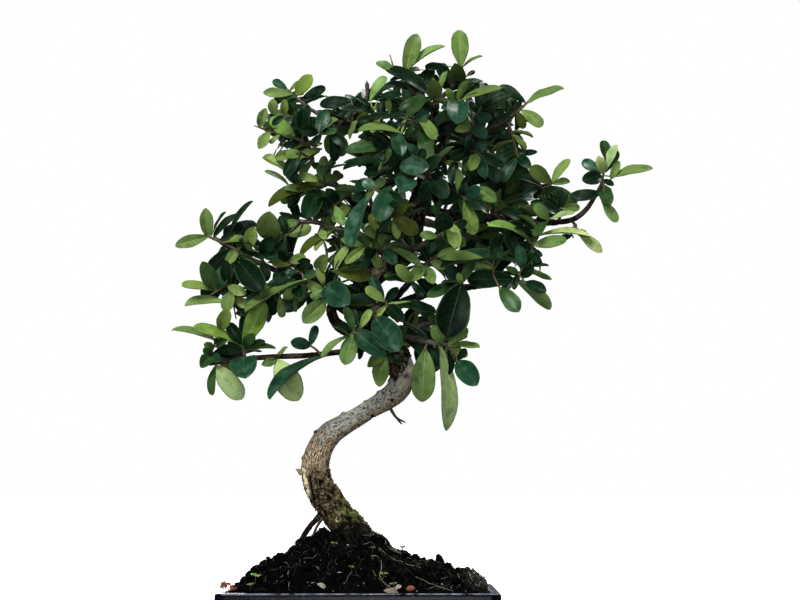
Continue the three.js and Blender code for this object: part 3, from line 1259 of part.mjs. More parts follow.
const tree = new THREE.Group();
const thickWood = makeWood(GAP);
tree.add(makePot());
tree.add(makeDrainMesh('drain_mesh_left', -DRAIN_X));
tree.add(makeDrainMesh('drain_mesh_right', DRAIN_X));
tree.add(makeSoil(thickWood));
tree.add(meshOf('trunk', makeWood(0), 'wood'));
for (const spray of growSprays()) {
  tree.add(meshOf(spray.name, largestBody(spraySolid(spray).subtract(thickWood)), spray.tint));
}

export default tree;
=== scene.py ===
"""A firethorn bonsai in its glazed pot: the fine surface of every piece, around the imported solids.

Places are in millimetres, as in the solids, and turn to metres where a mesh is made. X runs to the
right along the front of the pot, Y away from the viewer and Z up.
"""
import logging
import math
from dataclasses import dataclass, field
from enum import Enum
from typing import Callable

import bpy
import numpy as np
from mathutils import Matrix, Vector


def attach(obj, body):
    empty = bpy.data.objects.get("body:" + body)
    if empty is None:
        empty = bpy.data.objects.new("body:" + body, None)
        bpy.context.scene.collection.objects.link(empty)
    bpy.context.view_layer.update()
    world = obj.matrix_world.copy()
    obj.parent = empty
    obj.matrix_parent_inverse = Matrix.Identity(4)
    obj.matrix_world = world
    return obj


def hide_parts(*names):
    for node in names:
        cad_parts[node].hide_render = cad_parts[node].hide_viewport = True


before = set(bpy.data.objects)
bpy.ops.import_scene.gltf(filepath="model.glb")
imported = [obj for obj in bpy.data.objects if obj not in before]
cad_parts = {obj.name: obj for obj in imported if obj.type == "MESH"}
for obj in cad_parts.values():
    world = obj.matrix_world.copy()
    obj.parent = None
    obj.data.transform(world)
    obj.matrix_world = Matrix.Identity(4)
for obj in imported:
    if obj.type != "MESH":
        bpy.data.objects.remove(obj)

Place = tuple[float, float, float, float]
LeafRow = tuple[float, float, float, float, float, str]
Outline = list[tuple[float, float]]
Colour = tuple[float, float, float]
Paint = np.ndarray | tuple[float, float, float, float]

MM = 0.001
SEEDS = 1 << 30
# The eye that seen places are read from, in millimetres; the camera stands within half a millimetre of it.
EYE = np.array([29.0, -1600.0, 144.0])
TOWARDS_VIEWER = np.array([0.0, -1.0, 0.0])
log = logging.getLogger("bonsai")


@dataclass(frozen=True)
class SprayRows:
    """One leafy spray as read from the front: its twigs, and the leaves that are placed one by one."""

    name: str
    slot: str
    fill: int
    twigs: list[list[Place]]
    leaves: list[LeafRow]


# Places on the wood as seen from the front: x, z, then depth away from the viewer, then a radius.
# A leaf row is the x and z of its base, those of its tip, its seen width and the code of its tint.
TRUNK: list[Place] = [
    (-6.3, 82.8, 3, 11.5), (-4, 96.1, 2, 13), (-4.8, 105.6, 1, 13), (-9.9, 113.7, 0, 11.4),
    (-17.3, 121.8, -2, 10.8), (-23.9, 131.4, -4, 10.4), (-29.8, 141.7, -6, 10.6),
    (-32.8, 153.5, -7, 10.3), (-30.5, 165.2, -7, 9.7), (-23.9, 177, -5, 8.9),
    (-14.4, 184.4, -2, 7.9), (-2.6, 191, 1, 7.1), (9.2, 198.4, 4, 7.1), (20.2, 205, 6, 7.9),
    (29.1, 213.8, 7, 9), (31.3, 223.4, 7, 9.2), (26.9, 235.9, 6, 9.6), (18.8, 247.7, 5, 9),
    (9.2, 260.9, 4, 8.6), (2.6, 274.2, 2, 8.4), (2.6, 286, 0, 8.3), (9.9, 296.3, -2, 8.2),
    (22.4, 304.4, -3, 8.3), (32.8, 313.9, -2, 8.8), (36.4, 325, 0, 9.2), (38.6, 337.5, 2, 8.4),
    (43.1, 350, 4, 7.4), (47.5, 364, 5, 6.6), (50.4, 379.4, 5, 5.6), (52.6, 396.4, 4, 4.4),
    (54.8, 412.5, 3, 3.4), (56.3, 427.3, 2, 2.4),
]

LIMBS: dict[str, list[Place]] = {
    "root_left": [
        (-20, 127, -3, 3.2), (-26, 122, -4, 2.7), (-32, 117, -5, 2.3), (-38, 110, -6, 2.1),
        (-42, 103, -6, 1.9), (-45, 95, -7, 1.6),
    ],
    "root_left_thin": [
        (-25, 121, -5, 1.5), (-30, 114, -8, 1), (-33, 108, -9, 0.9), (-36, 98, -10, 0.8),
    ],
    "root_right": [
        (0, 114, -3, 4), (8, 107, -7, 2.8), (17, 103, -10, 2.3), (23, 96, -12, 1.9),
        (31, 91, -14, 1.6), (39, 86, -16, 1.2),
    ],
    "root_front": [
        (-10, 112, -7, 4.2), (-11, 104, -13, 3.2), (-8, 95, -19, 2.4), (-6, 86, -26, 1.8),
    ],
    "root_front_right": [
        (-1, 112, -6, 4), (5, 104, -14, 2.9), (11, 95, -22, 2.2), (19, 83, -32, 1.6),
    ],
    "root_back": [
        (-6, 114, 7, 4.4), (-8, 105, 15, 3.2), (-11, 95, 26, 2.4), (-17, 84, 38, 1.7),
    ],
    "root_back_right": [
        (0, 112, 6, 4), (10, 102, 15, 2.8), (20, 90, 26, 2), (31, 77, 36, 1.4),
    ],
    "limb_left": [
        (19, 246, 4, 6.2), (7, 251, -3, 5.4), (-5, 254, -8, 4.9), (-15, 259, -10, 4.5),
        (-21, 268, -10, 4), (-20, 277, -8, 3.6), (-23, 286, -8, 3.1), (-32, 293, -8, 2.8),
        (-45, 297, -9, 2.5), (-59, 299, -10, 2.2), (-72, 304, -12, 2), (-84, 310, -14, 1.7),
        (-92, 315, -15, 1.5),
    ],
    "limb_low_left": [
        (25, 240, 4, 3.2), (7, 242, -4, 2.6), (-11, 240, -12, 2.3), (-37, 237, -18, 2),
        (-63, 236, -22, 1.9), (-89, 234, -24, 1.8), (-110, 231, -25, 1.6),
    ],
    "limb_right": [
        (42, 346, 3, 4.6), (55, 343, -2, 4), (70, 340, -6, 3.5), (90, 339, -10, 3.1),
        (117, 336, -12, 2.7), (141, 335, -12, 2.3), (156, 337, -12, 2), (166, 344, -12, 1.8),
        (173, 354, -12, 1.5), (178, 363, -12, 1.3),
    ],
    "limb_low_right": [
        (11, 261, 2, 4.4), (21, 270, -10, 3.8), (35, 277, -18, 3.4), (55, 284, -24, 3),
        (78, 287, -28, 2.5), (100, 290, -30, 2.1), (114, 293, -31, 1.8),
    ],
    "limb_fork": [
        (5, 268, -3, 3.6), (14, 272, -13, 3.2), (25, 279, -21, 2.9), (36, 290, -25, 2.4),
        (47, 302, -28, 1.9),
    ],
    "limb_grey": [
        (4, 289, -2, 3), (12, 298, -10, 2.6), (18, 307, -15, 2.4), (17, 315, -17, 2.3),
        (13, 323, -18, 2.2), (11, 333, -18, 2), (10, 346, -16, 1.7),
    ],
    "limb_up_left": [
        (42, 348, 4, 4), (28, 343, 12, 3.5), (11, 344, 15, 3.1), (-5, 350, 14, 2.8),
        (-17, 362, 12, 2.5), (-28, 371, 10, 2.2), (-35, 379, 8, 1.8),
    ],
    "limb_top_left": [
        (52, 389, 4, 3.4), (38, 396, -2, 2.9), (20, 402, -6, 2.5), (1, 407, -8, 2.2),
        (-17, 410, -10, 1.9), (-31, 416, -10, 1.6),
    ],
    "limb_top_right": [
        (50, 371, 5, 3.6), (59, 381, 0, 3.1), (73, 391, -4, 2.6), (91, 402, -6, 2.1),
        (106, 410, -8, 1.7),
    ],
    "limb_right_mid": [
        (47, 358, 5, 3.2), (66, 361, 10, 2.7), (88, 366, 14, 2.3), (110, 371, 14, 1.9),
        (128, 365, 10, 1.5),
    ],
}

SPRAYS: list[SprayRows] = [
    SprayRows("spray_top_right", "leaf_dark", 1, [
        [(56, 426, 2, 1.9), (64, 432, -2, 1.6), (70, 439, -5, 1.3), (74, 446, -6, 1), (75, 452, -6, 0.8)],
        [(70, 440, -5, 0.8), (78, 444, -6, 0.6), (84, 448, -8, 0.4)],
    ], [
        (75, 452, 73, 479, 14, "L"), (74, 451, 71, 463, 4.5, "D"), (71, 439, 70, 454, 14.5, "L"),
        (77, 450, 90, 460, 3, "L"), (63, 438, 61, 454, 5, "D"), (64, 452, 48, 451, 6, "D"),
        (78, 445, 85, 448, 3, "D"), (68, 435, 59, 439, 6, "D"),
    ]),
    SprayRows("spray_right_high", "leaf_dark", 1, [
        [(79, 395, -5, 1.7), (82, 405, -9, 1.4), (86, 414, -12, 1.1), (89, 421, -14, 0.8)],
    ], [
        (89, 422, 112, 430, 7.5, "D"), (89, 421, 100, 411, 4.5, "D"), (88, 423, 104, 421, 3, "D"),
        (83, 408, 93, 397, 11, "B"), (82, 405, 70, 404, 6.5, "L"), (86, 417, 81, 425, 5, "D"),
        (84, 411, 97, 413, 9, "B"),
    ]),
    SprayRows("spray_right_top", "leaf_dark", 1, [
        [(106, 410, -8, 1.6), (112, 415, -9, 1.3), (118, 419, -10, 1), (125, 426, -10, 0.7)],
    ], [
        (125, 425, 151, 435, 7.5, "L"), (120, 418, 135, 407, 9.5, "L"), (120, 426, 103, 437, 7.5, "D"),
        (117, 417, 121, 405, 6.5, "O"), (113, 414, 103, 413, 5, "D"), (110, 413, 109, 423, 4.5, "D"),
    ]),
    SprayRows("spray_right_upper", "leaf_dark", 3, [
        [(109, 410, -8, 1.3), (112, 401, -6, 1.1), (115, 390, -4, 0.9), (117, 382, -2, 0.7)],
    ], [
        (113, 401, 123, 390, 4.5, "L"), (113, 403, 128, 399, 2, "L"), (117, 385, 131, 388, 4.5, "D"),
        (118, 382, 126, 376, 7.5, "D"), (114, 393, 103, 388, 6.5, "D"), (113, 398, 101, 402, 6.5, "D"),
        (115, 389, 98, 382, 7.5, "B"),
    ]),
    SprayRows("spray_right_mid", "leaf_dark", 3, [
        [(128, 365, 10, 1.4), (134, 361, 6, 1.2), (139, 362, 2, 1), (142, 365, 0, 0.7)],
    ], [
        (141, 364, 125, 376, 12, "L"), (142, 365, 155, 382, 6.5, "L"), (142, 363, 155, 366, 5, "L"),
        (136, 357, 112, 369, 6.5, "B"), (139, 361, 148, 355, 6, "D"), (132, 360, 120, 355, 6.5, "B"),
    ]),
    SprayRows("spray_right_tip", "leaf_dark", 0, [
        [(178, 363, -12, 1.2), (179, 368, -13, 0.9), (180, 373, -13, 0.7)],
        [(179, 367, -13, 0.9), (180, 360, -18, 0.8), (178, 354, -18, 0.7), (179, 349, -17, 0.6)],
    ], [
        (184, 376, 179, 396, 8.5, "M"), (181, 374, 190, 393, 7, "P"), (183, 372, 190, 389, 8, "M"),
        (179, 373, 176, 384, 8, "P"), (178, 374, 164, 381, 8, "B"), (179, 369, 165, 367, 11, "D"),
        (186, 369, 216, 376, 8, "L"), (181, 367, 187, 363, 4.5, "D"), (178, 362, 184, 347, 11, "M"),
        (174, 350, 189.5, 335.5, 8, "L"), (174, 359, 155, 354, 9, "D"), (185, 367, 191, 381, 6, "L"),
    ]),
    SprayRows("spray_right_under", "leaf_dark", 1, [
        [(156, 337, -12, 1.2), (159, 332, -14, 0.9), (161, 326, -16, 0.6)],
        [(159, 333, -14, 0.9), (155, 329, -18, 0.7), (157, 324, -19, 0.5)],
    ], [
        (162, 326, 178, 313, 8, "P"), (156, 324, 147, 323, 4.5, "D"), (160, 330, 167, 327, 3, "D"),
    ]),
    SprayRows("spray_right_fork", "leaf_dark", 1, [
        [(136, 335, -12, 1.5), (132, 328, -16, 1.3), (128, 321, -19, 1.1), (126, 314, -20, 0.9)],
    ], [
        (125, 320, 96, 335, 6, "Y"), (133, 324, 169, 326, 6, "P"), (131, 317, 152, 323, 9, "L"),
        (128, 315, 117, 320, 6, "D"), (127, 314, 119, 299, 9.5, "D"), (128, 314, 134, 310, 3.5, "D"),
    ]),
    SprayRows("spray_right_branch_up", "leaf_dark", 3, [
        [(147, 336, -12, 1.3), (147, 342, -14, 1), (148, 348, -16, 0.7)],
        [(147, 341, -14, 0.9), (142, 338, -19, 0.8), (138, 337, -22, 0.6)],
    ], [
        (138, 336, 129, 348, 9, "L"), (140, 337, 158, 343, 4.5, "P"), (148, 349, 162, 346, 6.5, "L"),
        (147, 345, 135, 352, 7.5, "D"), (148, 348, 151, 358, 6.5, "D"),
    ]),
    SprayRows("spray_right_low_tip", "leaf_dark", 1, [
        [(114, 293, -31, 1.6), (118, 298, -33, 1.2), (120, 302, -34, 0.8)],
        [(117, 297, -33, 0.9), (120, 293, -37, 0.7), (121, 290, -38, 0.6)],
    ], [
        (115, 307, 59, 301, 9.5, "B"), (109, 295, 79, 293, 14.5, "D"), (111, 290, 140, 271, 9, "U"),
        (122, 291, 137, 284, 9, "D"), (121, 301, 139, 303, 2, "D"), (120, 299, 141, 293, 3.5, "U"),
        (117, 301, 131, 315, 6, "D"), (114, 302, 108, 328, 9, "D"), (119, 295, 128, 302, 7.5, "D"),
        (120, 304, 117, 318, 9, "B"),
    ]),
    SprayRows("spray_right_low_drop", "leaf_light", 1, [
        [(98, 290, -30, 1.2), (98, 296, -36, 0.9), (98, 307, -40, 0.6)],
        [(98, 296, -36, 0.8), (101, 290, -40, 0.7), (103, 286, -40, 0.6)],
    ], [
        (103, 287, 117, 269, 13, "M"), (100, 307, 60, 310, 8, "L"), (97, 301, 78, 302, 6, "U"),
        (98, 305, 104, 318, 6, "D"),
    ]),
    SprayRows("spray_big_leaf", "leaf_dark", 0, [
        [(76, 287, -28, 1.4), (75, 289, -38, 1.2), (74, 290, -46, 0.9)],
    ], [
        (73, 288, 64, 251, 26, "E"), (75, 290, 63, 279, 6.5, "L"), (75, 290, 72, 298, 5, "L"),
        (74, 290, 84, 307, 7.5, "M"),
    ]),
    SprayRows("spray_front_low_mid", "leaf_dark", 1, [
        [(17, 245, 0, 1.6), (16, 240, -14, 1.3), (17, 236, -24, 0.9)],
    ], [
        (18, 234, 14, 214, 13, "L"), (14, 236, 6, 229, 9, "L"), (19, 237, 31, 233, 6.5, "D"),
    ]),
    SprayRows("spray_low_left_leaf", "leaf_dark", 0, [
        [(-28, 238, -16, 1.2), (-28, 237, -23, 1), (-25, 237, -25, 0.8)],
        [(-28, 237, -23, 0.9), (-33, 242, -24, 0.8), (-38, 245, -24, 0.6)],
    ], [
        (-22, 239, -67, 207, 9.5, "B"), (-38, 245, -50, 247, 9, "B"), (-37, 246, -32, 259, 6.5, "B"),
    ]),
    SprayRows("spray_low_left_round", "leaf_light", 1, [
        [(-61, 236, -22, 1.1), (-61, 233, -23, 0.9)],
    ], [
        (-60, 232, -45, 204, 20.5, "P"), (-62, 232, -72, 230, 6.5, "L"), (-61, 234, -53, 243, 3, "L"),
    ]),
    SprayRows("spray_low_left_rosette", "leaf_dark", 0, [
        [(-85, 234, -24, 1.5), (-85, 240, -26, 1.2), (-86, 245, -28, 0.8)],
    ], [
        (-84, 246, -70, 276, 15.5, "Y"), (-86, 245, -123, 257, 7.5, "Y"), (-86, 245, -97, 261, 9.5, "D"),
        (-86, 240, -105, 242, 7.5, "D"), (-84, 240, -70, 248, 4.5, "M"), (-84, 240, -62, 243, 2, "M"),
        (-84, 236, -84, 221, 22, "B"), (-84, 247, -78, 252, 7.5, "M"),
    ]),
    SprayRows("spray_low_left_tip", "leaf_dark", 0, [
        [(-108, 232, -25, 1.2), (-109, 239, -26, 1), (-105, 249, -27, 0.8), (-102, 257, -28, 0.6)],
        [(-109, 238, -26, 0.9), (-106, 234, -31, 0.8), (-106, 228, -31, 0.6)],
    ], [
        (-106, 229, -86, 205, 16, "P"), (-107, 227, -109, 208, 6.5, "M"), (-102, 257, -97, 270, 10.5, "L"),
        (-106, 248, -138, 257, 6, "L"), (-109, 237, -116, 229, 9.5, "M"), (-107, 242, -114, 245, 6, "L"),
        (-106, 245, -98, 248, 7.5, "M"), (-109, 237, -102, 233, 7.5, "B"), (-111, 236, -114, 242, 6, "M"),
    ]),
    SprayRows("spray_left_tip", "leaf_dark", 0, [
        [(-92, 315, -15, 1.3), (-99, 319, -15, 1.1), (-108, 323, -15, 0.9), (-115, 326, -15, 0.5)],
    ], [
        (-113, 321, -136, 318, 9.5, "L"), (-110, 328, -114, 346, 10.5, "L"), (-107, 326, -91, 342, 6, "D"),
        (-108, 329, -99, 343, 2, "D"), (-97, 325, -79, 351, 4.5, "D"), (-102, 321, -84, 323, 6, "L"),
        (-103, 323, -92, 329, 4.5, "D"),
    ]),
    SprayRows("spray_left_upper", "leaf_light", 1, [
        [(-72, 304, -12, 1.5), (-72, 312, -16, 1.2), (-70, 320, -20, 0.9)],
    ], [
        (-67, 322, -67, 343, 19, "L"), (-83, 315, -78, 332, 11, "L"), (-71, 317, -59, 327, 9, "D"),
        (-72, 314, -61, 308, 9, "D"), (-70, 320, -89, 323, 6.5, "D"), (-72, 311, -65, 324, 10.5, "D"),
    ]),
    SprayRows("spray_left_loop", "leaf_light", 2, [
        [(-20, 276, -9, 1.5), (-25, 283, -16, 1.2), (-27, 290, -22, 0.9)],
        [(-25, 282, -15, 0.9), (-26, 279, -18, 0.8), (-25, 276, -18, 0.6)],
    ], [
        (-26, 293, -8, 275, 20.5, "B"), (-24, 277, -41, 262, 14.5, "L"), (-31, 299, -25, 311, 10.5, "L"),
        (-25, 282, -39, 290, 8, "L"), (-27, 286, -36, 279, 6.5, "U"), (-28, 292, -31, 304, 6.5, "L"),
    ]),
    SprayRows("spray_centre_arch", "leaf_dark", 1, [
        [(3, 287, -2, 1.8), (-6, 293, -16, 1.5), (-15, 298, -24, 1.1), (-21, 299, -28, 0.8)],
    ], [
        (-21, 299, 9, 296, 13, "O"), (-17, 298, 8, 307, 9.5, "D"), (-11, 295, 14, 280, 6, "D"),
        (-20, 301, -8, 318, 6.5, "L"), (-22, 299, -14, 315, 6, "D"), (-8, 293, 4, 311, 9, "L"),
    ]),
    SprayRows("spray_centre_grey", "leaf_light", 2, [
        [(17, 311, -16, 1.4), (10, 315, -24, 1.1), (1, 318, -30, 0.8)],
        [(11, 315, -24, 1), (16, 315, -30, 0.8), (20, 318, -31, 0.6)],
    ], [
        (19, 318, 44, 303, 6.5, "L"), (1, 318, -11, 305, 7.5, "L"), (8, 315, 6, 307, 9.5, "D"),
        (20, 315, 26, 304, 9, "B"), (1, 320, -14, 323, 6, "L"), (10, 315, 14, 301, 7.5, "L"),
    ]),
    SprayRows("spray_front_fork_tip", "leaf_light", 1, [
        [(47, 302, -28, 1.8), (51, 307, -34, 1.4), (56, 310, -38, 1)],
        [(50, 305, -32, 1.1), (42, 296, -37, 0.9), (35, 290, -37, 0.7)],
    ], [
        (34, 290, 27, 303, 9.5, "L"), (35, 290, 47, 303, 9.5, "L"), (49, 306, 64, 331, 13, "D"),
        (49, 302, 54, 290, 9, "L"), (56, 310, 70, 315, 6.5, "L"), (51, 307, 63, 301, 6.5, "L"),
        (38, 289, 47, 280, 6, "D"),
    ]),
    SprayRows("spray_front_high_right", "leaf_dark", 3, [
        [(66, 361, 9, 1.7), (70, 358, -12, 1.4), (75, 355, -28, 1.1), (78, 352, -38, 0.8)],
    ], [
        (76, 348, 84, 326, 12, "L"), (85, 361, 100, 351, 10.5, "L"), (75, 355, 78, 364, 7.5, "B"),
        (78, 351, 92, 346, 10.5, "D"), (78, 352, 88, 361, 9, "B"), (72, 357, 61, 349, 10.5, "D"),
        (79, 351, 91, 336, 7.5, "D"),
    ]),
    SprayRows("spray_front_top_left", "leaf_dark", 1, [
        [(20, 402, -6, 1.6), (17, 408, -20, 1.3), (13, 414, -32, 1), (8, 420, -40, 0.7)],
    ], [
        (7, 426, 19, 444, 7.5, "L"), (13, 427, 31, 431, 6, "D"), (3, 418, -13, 420, 4.5, "D"),
        (11, 414, -2, 410, 5, "D"), (22, 417, 20, 427, 5, "L"), (17, 408, 29, 405, 6.5, "D"),
        (8, 420, -3, 429, 3.5, "D"), (10, 417, 1, 421, 6, "D"),
    ]),
    SprayRows("spray_crown_left", "leaf_dark", 1, [
        [(-6, 408, -9, 1.5), (-6, 415, -12, 1.2), (-6, 423, -14, 0.9)],
        [(-6, 415, -12, 1.2), (0, 420, -16, 1.1), (5, 427, -18, 1), (5, 438, -20, 1.6)],
    ], [
        (-6, 426, -30, 423, 9.5, "D"), (-6, 421, -13, 413, 4.5, "D"), (-8, 397, -2, 411, 4.5, "L"),
        (-6, 423, 0, 433, 2, "D"), (4, 423, -3, 417, 6, "D"), (-6, 417, -18, 417, 4.5, "D"),
        (4, 426, 13, 432, 6, "D"),
    ]),
    SprayRows("spray_crown_left_low", "leaf_dark", 2, [
        [(-15, 410, -10, 1.4), (-18, 404, -12, 1.2), (-25, 401, -15, 0.9), (-34, 402, -18, 0.6)],
    ], [
        (-36, 402, -25, 419, 10.5, "B"), (-35, 402, -17, 413, 6.5, "L"), (-27, 399, -17, 404, 5, "M"),
        (-31, 401, -45, 404, 9, "D"), (-22, 402, -11, 393, 8, "D"), (-28, 401, -36, 392, 6, "D"),
    ]),
    SprayRows("spray_left_sweep", "leaf_dark", 2, [
        [(-17, 362, 12, 1.5), (-25, 364, 2, 1.2), (-31, 367, -4, 0.9)],
        [(-24, 363, 4, 0.8), (-31, 360, 8, 0.7), (-43, 358, 10, 0.5)],
    ], [
        (-22, 364, -68, 348, 10.5, "O"), (-52, 362, -70, 374, 3.5, "L"), (-31, 367, -45, 370, 6.5, "L"),
        (-44, 355, -53, 346, 6.5, "D"), (-31, 360, -39, 339, 16, "D"), (-40, 361, -56, 360, 6, "L"),
    ]),
    SprayRows("spray_left_under", "leaf_dark", 3, [
        [(-11, 355, 13, 1.4), (-17, 349, 6, 1.1), (-22, 346, 0, 0.8)],
    ], [
        (-14, 351, -28, 340, 7.5, "D"), (-22, 346, -33, 352, 9, "D"), (-8, 348, -20, 336, 9.5, "L"),
        (-17, 351, -25, 360, 8, "D"), (-18, 346, -12, 333, 8, "L"),
    ]),
    SprayRows("spray_mid_left", "leaf_dark", 3, [
        [(10, 343, -14, 1.6), (7, 355, -20, 1.3), (8, 367, -26, 1.1), (16, 376, -30, 0.8)],
    ], [
        (17, 381, -13, 376, 8, "D"), (16, 376, 3, 371, 8, "D"), (8, 367, -3, 360, 9, "B"),
        (20, 382, 22, 390, 4.5, "L"), (17, 376, 29, 382, 6.5, "D"), (8, 360, 19, 367, 6.5, "L"),
        (7, 357, -6, 352, 7.5, "D"),
    ]),
    SprayRows("spray_mid_inner", "leaf_dark", 4, [
        [(28, 399, -4, 1.5), (23, 392, -16, 1.2), (17, 388, -26, 0.9)],
    ], [
        (17, 388, -11, 390, 9, "M"), (19, 389, 8, 398, 8, "D"), (23, 390, 38, 383, 9, "D"),
        (22, 390, 29, 401, 6.5, "D"), (17, 386, 10, 377, 7.5, "B"),
    ]),
    SprayRows("spray_mid_right", "leaf_dark", 3, [
        [(74, 391, -4, 1.6), (82, 389, -18, 1.3), (89, 385, -30, 1)],
    ], [
        (81, 390, 79, 398, 10.5, "B"), (89, 385, 106, 377, 8, "D"), (84, 388, 94, 393, 7.5, "B"),
        (88, 385, 81, 373, 9, "L"), (82, 389, 67, 382, 9, "E"), (89, 383, 92, 368, 9, "B"),
    ]),
    SprayRows("spray_under_right", "leaf_dark", 1, [
        [(17, 252, 0, 3.2), (29, 251, -18, 2.5), (44, 248, -30, 2.1), (57, 245, -37, 1.6)],
        [(57, 245, -37, 1.6), (63, 245, -40, 1.2), (66, 243, -41, 0.9)],
        [(50, 247, -33, 1.1), (47, 240, -36, 0.8)],
        [(64, 243, -40, 1), (70, 238, -43, 0.8), (72, 230, -44, 0.6)],
    ], [
        (32, 251, 61, 229, 12.5, "D"), (59, 240, 64, 182, 12.5, "P"), (52, 241, 45.5, 203, 19, "L"),
        (64, 244, 73, 226, 4.5, "D"), (66, 242, 79, 237, 6.5, "L"), (66, 243, 88, 243, 4.5, "L"),
        (64, 245, 79, 257, 9, "L"), (61, 246, 53, 259, 9.5, "L"), (63, 242, 66, 223, 5, "D"),
        (73, 229, 86, 215, 16, "B"), (72, 233, 78, 242, 5, "D"),
    ]),
    SprayRows("spray_front_low", "leaf_dark", 1, [
        [(8, 265, -4, 3.6), (14, 274, -22, 2.8), (8, 267, -38, 2.2), (0, 257, -45, 1.7)],
        [(0, 257, -45, 1.6), (-4, 254, -48, 1.3), (-8, 251, -50, 0.9)],
        [(8, 266, -38, 1.2), (13, 264, -44, 0.9)],
        [(14, 274, -22, 1.7), (19, 276, -30, 1.4), (20, 273, -36, 1.1)],
    ], [
        (12, 263, 29, 240, 20, "B"), (-1, 251, 18, 237, 15.5, "B"), (-3, 251, -11, 230, 13, "L"),
        (-9, 252, -28, 237, 4.5, "L"), (1, 257, 8, 271, 6, "L"), (-5, 255, -11, 273, 6.5, "M"),
        (-2, 257, -6, 271, 4.5, "D"), (19, 277, -10, 276, 6.5, "D"), (20, 273, 56, 268, 6, "D"),
        (22, 274, 44, 270, 5, "L"), (17, 277, 8, 295, 8, "B"), (21, 271, 32, 262, 10.5, "D"),
        (19, 279, 4, 287, 8, "L"), (20, 274, 11, 265, 5, "L"), (18, 276, 28, 287, 6.5, "D"),
    ]),
    SprayRows("spray_front_left", "leaf_dark", 1, [
        [(36, 329, -5, 3.2), (31, 335, -26, 2.6), (25, 342, -44, 2.1), (20, 351, -58, 1.5)],
        [(20, 351, -58, 1.4), (16, 357, -62, 1.1), (8, 361, -64, 0.8)],
        [(29, 336, -30, 1.6), (25, 339, -38, 1.3), (22, 340, -44, 0.9)],
    ], [
        (7, 360, -8, 318, 11, "B"), (22, 362, 14, 337, 16, "B"), (10, 361, 4, 352, 4.5, "O"),
        (19, 355, 32, 349, 12, "D"), (14, 360, 1, 367, 7.5, "B"), (20, 342, 43, 327, 12.5, "O"),
        (11, 329, 8, 342, 6, "O"), (23, 340, 35, 352, 10.5, "O"), (22, 337, 14, 327, 6.5, "D"),
        (23, 336, 28, 323, 6.5, "L"),
    ]),
    SprayRows("spray_front_mid", "leaf_dark", 2, [
        [(31, 311, -6, 3.4), (36, 315, -26, 2.7), (45, 318, -44, 2.2), (53, 323, -56, 1.6)],
        [(53, 323, -56, 1.5), (59, 326, -60, 1.2), (64, 330, -62, 0.8)],
    ], [
        (66, 335, 72, 315, 11, "L"), (60, 326, 78, 318, 10.5, "M"), (63, 329, 59, 343, 14.5, "D"),
        (57, 324, 44, 326, 6.5, "L"), (64, 330, 79, 336, 6.5, "D"), (54, 323, 51, 312, 6.5, "D"),
    ]),
    SprayRows("spray_front_high", "leaf_dark", 1, [
        [(47, 362, 0, 3), (51, 366, -22, 2.4), (51, 369, -40, 1.9), (48, 373, -54, 1.4)],
        [(48, 373, -54, 1.4), (42, 374, -60, 1.1), (35, 374, -64, 0.8)],
        [(50, 371, -46, 0.9), (56, 364, -52, 0.7)],
    ], [
        (29, 377, 50, 376, 14.5, "B"), (36, 368, 31, 358, 16, "B"), (53, 368, 64, 354, 13, "D"),
        (47, 376, 59, 385, 9, "D"), (42, 376, 47, 390, 7.5, "D"), (38, 371, 26, 364, 8, "D"),
        (56, 364, 44, 351, 10.5, "D"),
    ]),
    SprayRows("spray_front_top", "leaf_dark", 1, [
        [(53, 396, 2, 2.7), (51, 402, -16, 2.2), (47, 405, -32, 1.8), (44, 408, -46, 1.3)],
        [(44, 408, -46, 1.3), (38, 411, -52, 1), (31, 413, -56, 0.7)],
    ], [
        (42, 416, 56, 397, 9, "L"), (29, 414, 1, 413, 6, "E"), (31, 401, -1, 405, 7.5, "L"),
        (32, 413, 47, 430, 9, "M"), (26, 402, 31, 385, 11, "B"), (36, 410, 26, 408, 5, "D"),
        (39, 410, 51, 417, 6.5, "B"),
    ]),
    SprayRows("spray_crown_right", "leaf_dark", 2, [
        [(55, 411, 2, 2.5), (63, 415, -14, 2), (70, 421, -28, 1.6), (73, 426, -38, 1.2)],
        [(73, 426, -38, 1.2), (76, 426, -42, 0.9)],
        [(72, 423, -34, 0.9), (67, 427, -36, 0.6)],
    ], [
        (75, 427, 105, 436, 7.5, "L"), (71, 427, 71, 410, 17.5, "B"), (67, 427, 64, 435, 6, "Y"),
        (70, 423, 60, 420, 6, "B"),
    ]),
    SprayRows("spray_left_mid", "leaf_light", 1, [
        [(14, 321, -18, 2.1), (-2, 326, -8, 1.9), (-18, 330, 0, 1.9), (-31, 335, 4, 1.7), (-45, 336, 6, 1.4)],
        [(-18, 330, 0, 1.3), (-21, 328, -6, 1)],
        [(-28, 334, 3, 0.9), (-31, 327, -4, 0.6)],
        [(-45, 336, 6, 1.2), (-50, 330, 4, 1), (-56, 324, 2, 0.7)],
    ], [
        (-20, 329, -45, 311, 7.5, "O"), (-31, 329, -25, 323, 6, "L"), (-22, 329, -33, 314, 5, "L"),
        (-57, 322, -36, 332, 9.5, "U"), (-43, 337, -56, 333, 6.5, "L"), (-56, 324, -72, 318, 6.5, "D"),
        (-55, 326, -59, 340, 7.5, "D"),
    ]),
    SprayRows("spray_back_left", "leaf_dark", 8, [
        [(36, 321, 2, 3.8), (29, 324, 22, 3.2), (17, 324, 42, 2.6), (3, 320, 60, 2), (-11, 317, 74, 1.5)],
        [(3, 320, 60, 1.6), (-6, 315, 70, 1.3), (-15, 312, 80, 0.9)],
        [(17, 324, 42, 1.5), (11, 333, 54, 1.2), (4, 342, 64, 0.8)],
    ], []),
    SprayRows("spray_back_right", "leaf_dark", 10, [
        [(39, 336, 4, 3.8), (50, 335, 24, 3.2), (64, 330, 44, 2.6), (79, 326, 60, 2), (91, 323, 72, 1.4)],
